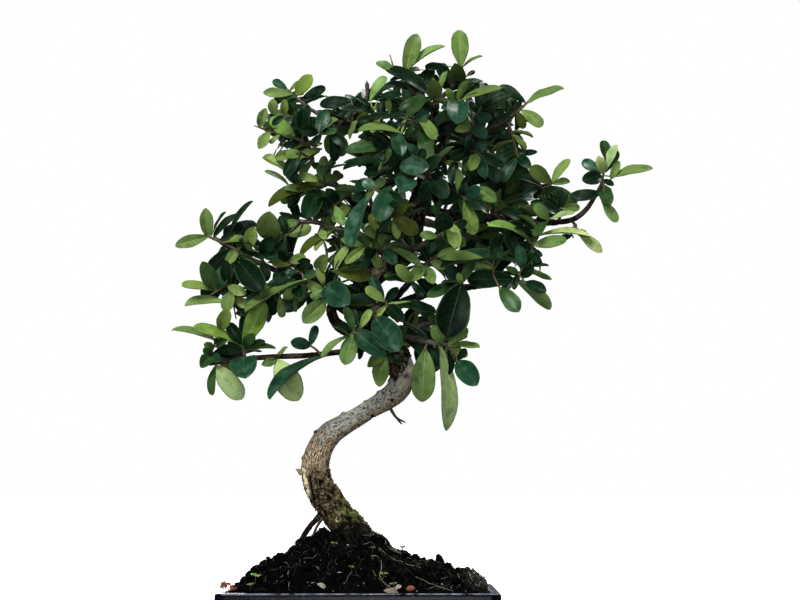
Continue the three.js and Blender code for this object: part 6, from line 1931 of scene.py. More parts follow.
BARK_MARKS = [
    Mark(-46.0, 154.0, 2.2, 2.6, pale=0.9), Mark(-44.6, 146.0, 1.6, 0.7, pale=0.8),
    Mark(-43.4, 138.0, 1.5, 0.7, pale=0.8), Mark(-40.8, 131.6, 1.5, 0.7, pale=0.7),
    Mark(-13.6, 139.2, 2.4, 2.4), Mark(-42.8, 162.4, 1.4, 1.6), Mark(-32.5, 123.2, 1.4, 1.6, dark=0.5),
    Mark(-32.6, 181.2, 1.4, 1.4, dark=0.5), Mark(24.0, 204.0, 1.3, -0.9, dark=1.0),
    Mark(34.4, 222.4, 1.6, -0.7, dark=1.0), Mark(38.0, 212.4, 1.4, -0.6, dark=0.9),
    Mark(9.6, 192.4, 1.4, -0.8, dark=0.9), Mark(10.0, 190.4, 1.0, -0.8, dark=0.9),
    Mark(17.4, 209.4, 1.2, -0.5, dark=0.6), Mark(2.8, 198.4, 1.2, -0.5, dark=0.6),
    Mark(14.4, 208.8, 2.0, 1.6), Mark(-12.2, 194.8, 1.8, 1.3), Mark(3.4, 203.4, 1.0, 0.9),
    Mark(-12.0, 94.0, 2.0, 1.0, pale=0.5), Mark(-9.4, 107.0, 1.8, 0.8, pale=0.8),
    # The next two flat pale patches on the right of the upper bend are a painted highlight.
    Mark(33.0, 216.0, 7.0, 0.0, pale=0.45), Mark(37.0, 226.0, 5.0, 0.0, pale=0.5),
    Mark(-20.0, 130.0, 2.0, 0.9, pale=0.35), Mark(-28.0, 144.0, 2.0, -0.8, dark=0.7),
    Mark(-17.0, 117.0, 2.0, 0.8, pale=0.3), Mark(-34.6, 128.0, 1.6, 0.6, pale=0.4),
]


# Dead stub twigs on the trunk's bend and the splinter on its left, each with its shade from 0 to 1.
STUBS: list[tuple[list[Place], float]] = [
    ([(22.5, 198, 1, 1.3), (25.5, 193.0, -1, 1.0), (28.0, 190.5, -2, 0.8), (32.8, 188.2, -3, 0.5)], 0.42),
    ([(27.0, 191.6, -1, 0.9), (28.6, 189.0, -1, 0.7), (30.6, 187.0, -1, 0.5)], 0.42),
    ([(-42.5, 151.0, -9, 2.4), (-44.6, 152.8, -10, 1.5), (-46.6, 153.6, -10, 0.3)], 0.68),
]


@dataclass(frozen=True)
class Skin:
    """Points on the fused wood, each with the core, the way outwards and the length along the limb it is on."""

    points: np.ndarray
    seen: np.ndarray
    core: np.ndarray
    out: np.ndarray
    length: np.ndarray
    trunk: np.ndarray
    grey: np.ndarray

    @property
    def round_core(self) -> np.ndarray:
        """Give the place round the core."""
        return self.out * self.core[:, 3:4]

    @property
    def wound(self) -> np.ndarray:
        """Give the place along and round the core, in which bark is drawn out along the wood."""
        return np.column_stack([self.length * 0.3, self.round_core])

    def beside(self, x: float, width: float) -> np.ndarray:
        """Give a narrow band up the left of the trunk's bend, which leans as the bend does; x counts to the left."""
        return np.exp(-((self.seen[:, 0] + x - 0.2 * (150 - self.seen[:, 1])) / width) ** 2)

    def rise(self, low: float, high: float) -> np.ndarray:
        """Rise from 0 at one seen height to 1 at another."""
        return smooth_step(low, high, self.seen[:, 1])


@dataclass
class Timber:
    """Trunk, limbs and roots: swept, fused by a remesh, and given their bark in relief."""

    voxel: float = 0.85
    thinnest: float = 1.7
    trunk_sides: int = 24
    limb_sides: int = 12
    thin_sides: int = 8
    limb_gap: float = 37.0
    silver_from: float = 152.0
    silver_to: float = 221.0
    rough_limb: float = 0.85
    rough_grey: float = 0.1
    dark_corner: Outline = field(default_factory=lambda: [
        (14.0, 262.0), (12.0, 246.0), (18.0, 232.0), (22.0, 222.0), (24.4, 216.4), (29.0, 222.0),
        (34.5, 229.0), (37.0, 236.0), (44.0, 262.0)])

    def paths(self) -> list[np.ndarray]:
        """Give the smooth paths of the trunk and the limbs."""
        return [placed_path(rows, 5) for rows in (TRUNK, *LIMBS.values())]

    def make(self, material: bpy.types.Material) -> bpy.types.Object:
        """Build the wood.

        Args:
            material: The bark.

        Returns:
            The piece, dressed.
        """
        paths = self.paths()
        thick = Shape()
        for number, path in enumerate(paths):
            stout = path[path[:, 3] >= self.thinnest]
            if len(stout) > 2:
                thick.add(*tube(stout, self.limb_sides if number else self.trunk_sides))
        core = thick.make("timber_core", [material])
        Bench.apply(core, "REMESH", mode="VOXEL", voxel_size=self.voxel * MM)
        Bench.apply(core, "SMOOTH", factor=0.5, iterations=4)
        points, marks, flow = self.carve(Bench.points(core), paths)
        faces = Bench.faces(core)
        Bench.discard(core)
        shape = Shape()
        shape.add(points, faces, marks=marks, flow=flow)
        for name, path in zip(LIMBS, paths[1:]):
            self.add_thin(shape, path, name == "limb_grey")
        self.add_stubs(shape)
        return dress(shape.make("timber", [material], 80), "bark", "trunk")

    def carve(self, points: np.ndarray, paths: list[np.ndarray]) -> tuple[np.ndarray, np.ndarray, np.ndarray]:
        """Raise the bark's relief on the fused wood and paint its zones.

        Args:
            points: Points of the fused wood.
            paths: The paths it was swept along.

        Returns:
            The new points; roughness, moss, shade and underside at each; and its place round and along.
        """
        skin = self.skin(points, paths)
        rough = self.roughness(skin)
        plates = 1 - np.abs(ripple(skin.wound * [1.5, 1, 1, 1], 5.2, 11)) * 2.2
        fine = ripple(points, 2.6, 5, 2)
        relief = self.relief(skin, rough, plates, fine)
        pale = rough * np.clip(0.4 * (plates - 0.1) + 0.34 * fine, -0.6, 0.3)
        # Darker towards the foot. The limbs are painted darker: partly their own dark bark, partly painted shade under
        # the crown.
        pale -= 0.42 * smooth_step(118, 100, points[:, 2]) + 0.45 * (~skin.trunk & ~skin.grey)
        front = skin.out[:, 1] < 0.35
        for mark in BARK_MARKS:
            away = np.linalg.norm(skin.seen - [mark.x, mark.z], axis=1)
            bell = np.exp(-(away / mark.radius) ** 2) * (front & skin.trunk)
            relief += bell * mark.height
            pale += bell * (mark.pale - mark.dark)
        moss = self.mossiness(points, skin.out)
        relief += moss * 0.4 * np.abs(ripple(points, 1.9, 77, 2))
        bare = skin.trunk * skin.beside(40.6, 1.25) * (skin.rise(126, 134) * skin.rise(158, 150))
        pale += bare * (0.7 + 0.9 * ripple(points, 3.2, 91, 2))
        pale -= 0.9 * skin.beside(37.2, 0.9) * skin.trunk * front * (skin.rise(124, 134) * skin.rise(152, 144))
        marks = np.column_stack([rough, moss, np.clip(pale * 0.5 + 0.5, 0, 1), self.underside(skin)])
        return points + skin.out * relief[:, None], marks, np.column_stack([skin.round_core, skin.length])

    def skin(self, points: np.ndarray, paths: list[np.ndarray]) -> Skin:
        """Find out, for each point of the fused wood, which limb it is on and where.

        Args:
            points: Points of the fused wood.
            paths: The paths it was swept along.

        Returns:
            The points with what is known of them.
        """
        rows, ways, kinds = self.sampled(paths)
        nearest = np.concatenate([
            np.argmin(np.linalg.norm(part[:, None] - rows[None, :, :3], axis=2) - rows[None, :, 3] * 0.7, axis=1)
            for part in np.array_split(points, max(len(points) // 400, 1))])
        core, way, kind = rows[nearest], ways[nearest], kinds[nearest]
        out = points - core[:, :3]
        out -= way * np.sum(out * way, axis=1, keepdims=True)
        out /= np.linalg.norm(out, axis=1, keepdims=True) + 1e-9
        length = core[:, 4] + np.sum((points - core[:, :3]) * way, axis=1)
        grey = kind == list(LIMBS).index("limb_grey") + 1
        return Skin(points, seen_from_front(points), core, out, length, kind == 0, grey)

    def sampled(self, paths: list[np.ndarray]) -> tuple[np.ndarray, np.ndarray, np.ndarray]:
        """Sample the paths: rows with their length so far, the way each runs, and whose it is."""
        rows, ways, kinds = [], [], []
        for number, path in enumerate(paths):
            rows.append(np.column_stack([path, lengths_along(path) + self.limb_gap * number]))
            way = np.gradient(path[:, :3], axis=0)
            ways.append(way / np.linalg.norm(way, axis=1, keepdims=True))
            kinds.append(np.full(len(path), number))
        return np.vstack(rows), np.vstack(ways), np.concatenate(kinds)

    def roughness(self, skin: Skin) -> np.ndarray:
        """Tell where the bark is rough and dark: below, above, and down the inner side of the upper bend. The right of
        the upper bend stays smooth and silver, partly its own bark and partly a painted highlight.
        """
        edge = 7 * ripple(skin.points, 16, 3, 2)
        height = skin.core[:, 2]
        low = smooth_step(self.silver_from + 7, self.silver_from - 9, height + edge)
        high = smooth_step(self.silver_to + 12, self.silver_to + 17, height + edge * 0.2)
        corner = inside(skin.seen + np.outer(edge * 0.16, [1, 1]), self.dark_corner)
        x, z = skin.seen.T
        # Smooth silver on the right of the upper bend: partly its own bark, partly a painted highlight.
        silver = (x > 29) & (z > 222) & (z < 236)
        rough = np.maximum(np.maximum(low, high * ~silver), corner)
        return np.where(skin.grey, self.rough_grey, np.where(skin.trunk, rough, self.rough_limb))

    @staticmethod
    def relief(skin: Skin, rough: np.ndarray, plates: np.ndarray, fine: np.ndarray) -> np.ndarray:
        """Give the height of the bark without its single knots and notches.

        Args:
            skin: The points.
            rough: Where the bark is rough.
            plates: The pattern of its plates.
            fine: The pattern of its grain.

        Returns:
            The height at each point.
        """
        streaks = ripple(skin.wound * [0.9, 1.4, 1.4, 1.4] + np.outer(skin.length, [0, 0.12, 0.1, 0]), 4.2, 23)
        girth = np.clip(skin.core[:, 3] / 9, 0.15, 1)
        relief = girth * (rough * (0.9 * plates + 0.45 * fine) + (1 - rough) * (0.16 * streaks + 0.1 * fine))
        relief += girth * 0.5 * ripple(skin.wound * [0.5, 0.6, 0.6, 0.6], 12, 31, 1)
        x, y, z = skin.points.T
        flutes = np.cos(np.arctan2(y - 2, x + 5) * 5 + 0.8 + 0.02 * z)
        return relief + skin.trunk * smooth_step(108.0, 84.0, z) * (1.2 + 1.8 * flutes)

    @staticmethod
    def underside(skin: Skin) -> np.ndarray:
        """Tell where the silver stretch is warm in colour: underneath, and low down all round."""
        lean = skin.out[:, 2] - 0.2 * skin.out[:, 0] + 0.15 * ripple(skin.points, 9, 41, 2)
        low = smooth_step(188, 168, skin.points[:, 2] + 6 * ripple(skin.points, 12, 43, 2))
        return np.maximum(smooth_step(0.1, -0.75, lean), low)

    @staticmethod
    def mossiness(points: np.ndarray, out: np.ndarray) -> np.ndarray:
        """Tell where moss grows: low on the tree, most on its right."""
        height = smooth_step(142, 100, points[:, 2] - 12 * out[:, 0]) * smooth_step(96, 104, points[:, 2])
        height *= smooth_step(-30, -14, points[:, 0])
        return height * smooth_step(-0.5, 0.4, out[:, 0] + 0.7 * ripple(points, 8, 61, 2))

    def add_thin(self, shape: Shape, path: np.ndarray, grey: bool) -> None:
        """Add the thin end of a limb as a tube, from just inside its stout part; a bare one is grey."""
        thin = np.flatnonzero(path[:, 3] < self.thinnest + 0.25)
        if len(thin) < 2:
            return
        part = path[max(thin[0] - 1, 0):]
        sides = self.thin_sides
        points, faces = tube(part, sides, tip=True)
        rough = np.full(len(points), self.rough_grey if grey else 0.8)
        under = smooth_step(0.2, -0.6, np.tile(np.sin(np.arange(sides) * math.pi / 4), len(part)))
        # Rough thin limbs are painted darker: partly their own dark bark, partly painted shade under the crown.
        marks = np.column_stack([rough, rough * 0, 0.56 - rough * 0.26, np.append(under, [0, 0])])
        length = lengths_along(part)
        centres = np.vstack([np.repeat(part[:, :3], sides, axis=0), part[0, :3], part[-1, :3]])
        flow = np.column_stack([points - centres, np.append(np.repeat(length, sides), [0, length[-1]])])
        shape.add(points, faces, marks=marks, flow=flow)

    @staticmethod
    def add_stubs(shape: Shape) -> None:
        """Add the dead stub twigs on the trunk's bend and the splinter on its left."""
        for rows, shade in STUBS:
            points, faces = tube(placed_path(rows, 3), 7, tip=True)
            flow = np.column_stack([points - points.mean(axis=0), points[:, 2]])
            shape.add(points, faces, marks=(0.9, 0, shade, 0), flow=flow)


# Dead roots that the front shows: x, y and the height over the mound at each point.
ROOTLETS: list[list[tuple[float, float, float]]] = [
    [(-56, -22, 1), (-50, -38, 2), (-49, -52, 1.5), (-48, -64, 0.5)],
    [(-32, -50, 0.6), (-28, -53, 0.8), (-26, -56, 0.3)], [(-1, -46, 0.6), (-5, -54, 1), (-10, -62, 0.4)],
    [(10, -54, 0.6), (16, -58, 1.0), (23, -62, 0.5)], [(40, -48, 0.8), (50, -56, 1.6), (66, -64, 0.4)],
    [(8, -18, 1.0), (12, -14, 5.5), (18, -14, 3.0), (20, -22, 0.5)],
    [(86, -18, 0.5), (88, -18, 8.0), (91, -20, 9.5), (94, -22, 3.0)],
    [(20, -18, 1.5), (34, -20, 1.5), (48, -26, 1.0), (60, -34, 0.5)],
    [(14, -30, 0.6), (26, -30, 1.4), (44, -36, 1.0)],
]


@dataclass(frozen=True)
class Crumbs:
    """One sort of clod: how fine its balls are, how many lie about, and its least and greatest radius."""

    level: int
    count: int
    small: float
    large: float


@dataclass
class Mound:
    """Soil: a peat mound with clods and rootlets."""

    half_x: float = 92.1
    half_y: float = 67.1
    edge_z: float = 64.5
    floor_z: float = 10.4
    cells: tuple[int, int] = (170, 124)
    waists: tuple[tuple[float, float], ...] = ((0.925, 0.9), (0.96, 0.95))
    foot: float = 3.0
    sorts: tuple[Crumbs, ...] = (Crumbs(2, 820, 1.0, 3.6), Crumbs(1, 4200, 0.4, 1.5))
    tuft: int = 170
    loose: int = 520
    clod_seed: int = 51
    rootlet_seed: int = 77
    profile: list[tuple[float, float]] = field(default_factory=lambda: [
        (-94, -1), (-89, 4), (-75, 14.5), (-52, 24.5), (-42, 35.5), (-28, 41.5), (-17, 38.5), (9, 38.5),
        (18, 34.5), (23, 27.5), (36, 22.5), (51, 18.5), (64, 16.5), (77, 10.5), (90, 5), (94, -1)])

    def heights(self, at: np.ndarray) -> np.ndarray:
        """Give the mound's height over places on the ground, x and y to a row."""
        x, y = at[:, 0], at[:, 1]
        knots = np.array(self.profile)
        ridge = np.interp(x, knots[:, 0], knots[:, 1])
        across = np.clip(np.abs(y) / 68, 0, 1)
        calm = np.clip(np.minimum((1 - across) * 4, (96 - np.abs(x)) / 14), 0, 1)
        lumps = 2.3 * ripple(at, 26, 8, 2) + 1.5 * np.abs(ripple(at, 9, 14, 2)) + 0.6 * ripple(at, 3.4, 19, 2)
        return 65.5 + ridge * (1 - across ** 2.2) + lumps * calm

    def make(self, material: bpy.types.Material) -> bpy.types.Object:
        """Build the mound: a sheet of peat raised into shape, with a skirt down to the pot's floor.

        Args:
            material: The peat.

        Returns:
            The piece, dressed.
        """
        columns, rows = self.cells
        piece = Bench.start(bpy.ops.mesh.primitive_grid_add, "peat_mound", x_subdivisions=columns,
                            y_subdivisions=rows, size=2)
        flat = Bench.points(piece) * MM
        corner = 1 - 0.05 * (flat[:, 0] * flat[:, 1]) ** 12
        at = np.column_stack([flat[:, 0] * self.half_x * corner, flat[:, 1] * self.half_y * corner])
        edge = np.maximum(np.abs(flat[:, 0]), np.abs(flat[:, 1])) > 0.999
        height = np.where(edge, self.edge_z, self.heights(at))
        Bench.move_points(piece, np.column_stack([at, height]))
        Bench.only(piece)
        bpy.ops.object.mode_set(mode="EDIT")
        bpy.ops.mesh.select_all(action="SELECT")
        bpy.ops.mesh.region_to_loop()
        for drop, waist in zip((self.floor_z + self.foot - self.edge_z, -self.foot), self.waists):
            bpy.ops.mesh.extrude_edges_move(TRANSFORM_OT_translate={"value": (0, 0, drop * MM)})
            bpy.ops.transform.resize(value=(*waist, 1), center_override=(0, 0, 0))
        bpy.ops.mesh.edge_face_add()
        bpy.ops.mesh.select_all(action="SELECT")
        bpy.ops.mesh.normals_make_consistent(inside=False)
        bpy.ops.object.mode_set(mode="OBJECT")
        bpy.ops.object.shade_smooth_by_angle(angle=math.radians(60))
        piece.data.materials.append(material)
        return dress(piece, "soil", "soil")

    def scatter(self, random: np.random.Generator, count: int) -> np.ndarray:
        """Choose places all over the mound."""
        x = random.uniform(-1, 1, count) * (self.half_x - 2)
        y = random.uniform(-1, 1, count) * (self.half_y - 2)
        at = np.column_stack([x, y])
        return np.column_stack([at, self.heights(at)])

    def make_clods(self, material: bpy.types.Material) -> bpy.types.Object:
        """Strew clods and crumbs over the mound.

        Args:
            material: The peat.

        Returns:
            The piece, dressed.
        """
        random = np.random.default_rng(self.clod_seed)
        shape = Shape()
        for sort in self.sorts:
            points, faces = Bench.ball(sort.level)
            for place in self.scatter(random, sort.count):
                edge = min(self.half_x - abs(place[0]), self.half_y - abs(place[1]))
                size = min(sort.small + (sort.large - sort.small) * random.uniform() ** 2.2, 0.5 + edge * 0.16)
                lump = lumpy(points, 0.35, 1.6, int(random.integers(SEEDS)), 1)
                lump = lump * random.uniform(0.6, 1.25, 3) @ self.turn(random)
                shape.add(lump * size + place + [0, 0, size * 0.25], faces)
        return dress(shape.make("peat_clods", [material], 30), "soil")

    @staticmethod
    def turn(random: np.random.Generator) -> np.ndarray:
        """Give a random turn."""
        turned, _ = np.linalg.qr(random.normal(size=(3, 3)))
        return turned if np.linalg.det(turned) > 0 else -turned

    def draped(self, rows: list[tuple[float, float, float]], radius: float) -> np.ndarray:
        """Lay a thread on the mound.

        Args:
            rows: x, y and the height over the mound at each point.
            radius: Radius of the thread.

        Returns:
            Its path.
        """
        at = np.array(rows)
        height = self.heights(at[:, :2]) + at[:, 2]
        path = np.column_stack([at[:, :2], height, np.full(len(at), radius)])
        return smoothed(path, 4)

    def make_rootlets(self, material: bpy.types.Material) -> bpy.types.Object:
        """Lay fine dead roots over the mound, a few as the front shows them and the rest by rule.

        Args:
            material: The material of dead roots.

        Returns:
            The piece, dressed.
        """
        random = np.random.default_rng(self.rootlet_seed)
        shape = Shape()
        for rows in ROOTLETS:
            path = self.draped(rows, 0.21)
            path[:, :3] += 0.5 * np.column_stack([ripple(path[:, :3], 7, axis + 3, 2) for axis in range(3)])
            shape.add(*tube(path, 5, tip=True), marks=(random.uniform(0.4, 1.0), 0, 0, 0))
        tuft = np.column_stack([
            random.uniform(81, 91, self.tuft), random.uniform(-64, 8, self.tuft), np.full(self.tuft, 6.5)])
        loose = self.scatter(random, self.loose)
        loose[:, 2] = np.where(random.uniform(size=self.loose) < 0.12, 4.2, 1.8)
        for start in np.vstack([tuft, loose]):
            path = self.draped(self.wander(start, random), random.uniform(0.1, 0.26))
            shape.add(*tube(path[::2], 3, tip=True), marks=(random.uniform() ** 9, 0, 0, 0))
        return dress(shape.make("rootlets", [material], 80), "bark")

    @staticmethod
    def wander(start: np.ndarray, random: np.random.Generator) -> list[tuple[float, float, float]]:
        """Lead a thread over the mound.

        Args:
            start: Its x, its y and the greatest height that it reaches over the mound.
            random: Draws.

        Returns:
            x, y and the height over the mound at each point.
        """
        heading = random.uniform(0, 2 * math.pi)
        at = start[:2].copy()
        rows = []
        for _ in range(4):
            rows.append((*np.clip(at, [-91, -66], [91, 66]), random.uniform(0.2, start[2])))
            at += 3.2 * np.array([math.cos(heading), math.sin(heading)])
            heading += random.normal() * 0.7
        return rows


@dataclass(frozen=True)
class Fallen:
    """A dried leaf or flake: its foot and its tip as seen from the front, its length and its colours."""

    foot: tuple[float, float]
    tip: tuple[float, float]
    length: float
    bleach: float
    red: float


@dataclass(frozen=True)
class MossPatch:
    """A patch of moss threads: its middle, its spread and the number of threads."""

    x: float
    y: float
    spread: float
    count: int


@dataclass
class Trimmings:
    """Small things on the soil: seedlings, pale bits, dried leaves, a stone, and moss at the tree's foot."""

    mound: Mound
    seedlings: list[tuple[float, float, float]] = field(default_factory=lambda: [
        (-76.0, 71.0, 3.4), (-79.0, 65.4, 2.6), (-18.0, 96.0, 2.4), (31.3, 96.0, 2.0), (-5.5, 80.6, 2.0),
        (17.3, 74.7, 2.4), (72.5, 77.7, 2.0), (9.2, 93.9, 1.8), (24.0, 66.0, 2.4), (-72.0, 78.0, 1.6)])
    bits: list[tuple[float, float, float]] = field(default_factory=lambda: [
        (-14.4, 78.4, 1.0), (-22.4, 77.0, 0.8), (-9.2, 98.2, 1.2), (-34.0, 71.0, 0.7), (10.0, 88.0, 0.6),
        (45.0, 80.0, 0.7), (-60.0, 72.0, 0.6), (60.0, 70.0, 0.6), (-40.0, 86.0, 0.5), (28.0, 78.0, 0.6)])
    more_bits: int = 26
    flakes: int = 11
    seedling_seed: int = 15
    litter_seed: int = 29
    moss_seed: int = 63
    pot_side: float = 92.0
    patches: tuple[MossPatch, ...] = (
        MossPatch(-2.0, 0.0, 15.0, 260), MossPatch(84.0, -20.0, 11.0, 420), MossPatch(0.0, -20.0, 60.0, 620),
        MossPatch(60.0, -30.0, 24.0, 240))

    def foothold(self, x: float, z: float) -> np.ndarray:
        """Find the place on the front of the mound that is seen at x, z."""
        depth = np.linspace(-66, 10, 200)
        at = np.column_stack([EYE[0] + (x - EYE[0]) * (1 + depth / -EYE[1]), depth])
        places = np.column_stack([at, self.mound.heights(at)])
        return places[np.argmin(np.abs(seen_from_front(places)[:, 1] - z))]

    def make_seedlings(self, blank: LeafBlank, materials: list[bpy.types.Material]) -> bpy.types.Object:
        """Grow tiny seedlings, each a stalk with a few round leaves.

        Args:
            blank: The leaf that is copied.
            materials: The leaf's and the twig's materials.

        Returns:
            The piece, dressed.
        """
        random = np.random.default_rng(self.seedling_seed)
        shape = Shape()
        for number, (x, z, size) in enumerate(self.seedlings):
            foot = self.foothold(x, z) - [0, 0, 0.5]
            top = foot + [random.uniform(-1, 1), random.uniform(-2.4, -0.6), size * random.uniform(1.3, 2.0)]
            stalk = np.array([[*foot, 0.28], [*(foot * 0.5 + top * 0.5), 0.24], [*top, 0.2]])
            shape.add(*tube(stalk, 5), TWIG, marks=(0.9, 0.5, 0, 0), tone=TWIG_TONE)
            turn = random.uniform(0, 2 * math.pi)
            for leaf in range(4):
                angle = turn + leaf * math.pi / 2 + random.uniform(-0.3, 0.3)
                along = unit(np.array([math.cos(angle), math.sin(angle), random.uniform(0.1, 0.7)]))
                blade = Blade(top, along, across_of(np.array([0, -0.5, 1.0]), along),
                              size * random.uniform(1.0, 1.5), size * 0.8, 0.1, 0.1,
                              Tint.YOUNG if number < 2 else Tint.LIGHT, top, 5000 + number * 7 + leaf)
                marks, colours = blank.paint(blade)
                shape.add(blade.surface(blank), blank.faces, LEAF, marks=marks, tone=colours)
        return dress(shape.make("seedlings", materials), "leaf_light")

    def make_litter(self, blank: LeafBlank, material: bpy.types.Material) -> bpy.types.Object:
        """Lay down the pale bits, the dried leaves and the flakes at the pot's corner.

        Args:
            blank: The leaf that is copied.
            material: The litter's material.

        Returns:
            The piece, dressed.
        """
        random = np.random.default_rng(self.litter_seed)
        shape = Shape()
        pebble, faces = Bench.ball(2)
        places = zip(random.uniform(-80, 80, self.more_bits), random.uniform(64, 92, self.more_bits))
        more = [(x, z, random.uniform(0.3, 0.6)) for x, z in places]
        for x, z, size in self.bits + more:
            place = self.foothold(x, z)
            lump = lumpy(pebble, 0.25, 1.5, int(random.integers(SEEDS)), 1)
            stretch = np.array([1.7, 1.0, 0.5]) if size > 0.6 else np.ones(3)
            shape.add(lump * size * stretch + place + [0, -0.4, size * 0.5], faces,
                      marks=(random.uniform(0.5, 1), 0, 0, 0))
        stone = lumpy(pebble, 0.12, 1.3, 8, 2) * [3.2, 2.4, 2.2]
        shape.add(stone + self.foothold(37.0, 66.0) + [0, -0.6, 1.2], faces, marks=(0.3, 1, 0, 0))
        fallen = [
            Fallen((-31.0, 69.5), (-25.0, 66.0), 7.0, 0.75, 0.0), Fallen((17.5, 64.5), (27.0, 61.0), 11.0, 0.45, 0.1),
            Fallen((25.0, 65.0), (31.0, 68.5), 6.0, 0.7, 0.0)]
        for number in range(self.flakes):
            x, z = -100.0 + 0.9 * number, 64.0 + random.uniform(0, 6)
            tip = (x + random.uniform(-3, 3), z + random.uniform(-1, 4))
            fallen.append(Fallen((x, z), tip, 4.2, 0.3, 1.0))
        for number, leaf in enumerate(fallen):
            (x0, z0), (x1, z1) = leaf.foot, leaf.tip
            foot = self.foothold(max(x0, -self.pot_side), z0) + [min(x0 + self.pot_side, 0), 0, 1.2]
            along = unit(np.array([x1 - x0, random.uniform(-1.5, 0.5), z1 - z0]))
            up = across_of(np.array([0.1, -1.0, 0.7]), along)
            blade = Blade(foot, along, up, leaf.length, leaf.length * 0.55, 0.16, 0.3, Tint.OLD, foot, 7100 + number)
            shape.add(blade.surface(blank), blank.faces, marks=(leaf.bleach, leaf.red, 0, 0))
        return dress(shape.make("litter", [material]), "soil")

    def make_moss(self, material: bpy.types.Material) -> bpy.types.Object:
        """Set moss threads at the tree's foot, on the mound's right end and thinly elsewhere.

        Args:
            material: The moss.

        Returns:
            The piece, dressed.
        """
        random = np.random.default_rng(self.moss_seed)
        shape = Shape()
        for patch in self.patches:
            at = [patch.x, patch.y] + random.normal(size=(patch.count, 2)) * patch.spread * [0.5, 0.7]
            at = at[(np.abs(at[:, 0]) < 91) & (np.abs(at[:, 1]) < 66)]
            for foot in np.column_stack([at, self.mound.heights(at)]):
                lean = random.normal(size=3) * [0.6, 0.6, 0.2] + [0, 0, 0.8]
                size = random.uniform(1.6, 4.2)
                bend = foot + lean * size * 0.5
                tip = foot + lean * size + random.normal(size=3) * 0.7
                thread = np.array([[*(foot - [0, 0, 0.4]), 0.2], [*bend, 0.16], [*tip, 0.06]])
                shape.add(*tube(thread, 3, tip=True), marks=(random.uniform(), 0, 0, 0))
        return dress(shape.make("moss", [material], 80), "leaf_dark")


@dataclass
class Pot:
    """The glazed pot, drawn up ring by ring from its foot, with channels and drain holes cut through."""

    half_x: float = 100.0
    half_y: float = 75.0
    corner: float = 7.0
    start_inset: float = 9.5
    drain_x: float = 50.0
    drain_z: float = 5.0
    drain: dict[str, float] = field(default_factory=lambda: {"radius": 0.008, "depth": 0.02, "vertices": 32})
    channel: tuple[float, float, float] = (0.056, 0.17, 0.008)
    round_edge: float = 0.0007
    rings: list[tuple[float, float]] = field(default_factory=lambda: [
        (8, 2), (3.2, 58), (3, 59.5), (1.5, 59.5), (0.5, 60.1), (0, 61.5), (0, 65.7), (0.5, 67), (1.8, 67.5),
        (5.6, 67.5), (6.9, 67.1), (7.5, 65.7), (13.6, 14.5), (14.6, 11.6), (17.5, 10)])

    def make(self, material: bpy.types.Material) -> bpy.types.Object:
        """Build the pot.

        Args:
            material: The glaze.

        Returns:
            The piece, dressed.
        """
        piece = Bench.start(bpy.ops.mesh.primitive_plane_add, "glazed_pot", size=1)
        width, depth = self.size(self.start_inset)
        bpy.ops.object.mode_set(mode="EDIT")
        bpy.ops.transform.resize(value=(width, depth, 1), center_override=(0, 0, 0))
        bpy.ops.mesh.bevel(affect="VERTICES", offset=self.corner * MM, segments=7)
        height = 0.0
        for inset, z in self.rings:
            bpy.ops.mesh.extrude_region_move(TRANSFORM_OT_translate={"value": (0, 0, (z - height) * MM)})
            new = self.size(inset)
            bpy.ops.transform.resize(value=(new[0] / width, new[1] / depth, 1), center_override=(0, 0, 0))
            (width, depth), height = new, z
        bpy.ops.mesh.select_all(action="SELECT")
        bpy.ops.mesh.normals_make_consistent(inside=False)
        bpy.ops.object.mode_set(mode="OBJECT")
        for x in (-self.drain_x, self.drain_x):
            self.cut(piece, bpy.ops.mesh.primitive_cube_add, (x, 0, 0), size=1, scale=self.channel)
            self.cut(piece, bpy.ops.mesh.primitive_cylinder_add, (x, 0, self.drain_z), **self.drain)
        Bench.apply(piece, "BEVEL", width=self.round_edge, segments=3, limit_method="ANGLE",
                    angle_limit=math.radians(35))
        bpy.ops.object.shade_smooth_by_angle(angle=math.radians(40))
        piece.data.materials.append(material)
        return dress(piece, "glazed_pot", "pot")

    def size(self, inset: float) -> tuple[float, float]:
        """Give the width and depth of a ring in metres; inset is in millimetres."""
        return 2 * (self.half_x - inset) * MM, 2 * (self.half_y - inset) * MM

    @staticmethod
    def cut(piece: bpy.types.Object, add: Callable, at: tuple[float, float, float], **settings: object) -> None:
        """Cut a primitive out of the pot.

        Args:
            piece: The pot.
            add: The operator that adds the cutter.
            at: Middle of the cutter in millimetres.
            settings: Sizes of the cutter in metres.
        """
        cutter = Bench.start(add, location=tuple(value * MM for value in at), **settings)
        Bench.apply(piece, "BOOLEAN", operation="DIFFERENCE", object=cutter, solver="EXACT")
        Bench.discard(cutter)


@dataclass(frozen=True)
class Lamp:
    """A large soft lamp: where it hangs, its width and its power."""

    name: str
    at: tuple[float, float, float]
    width: float
    power: float


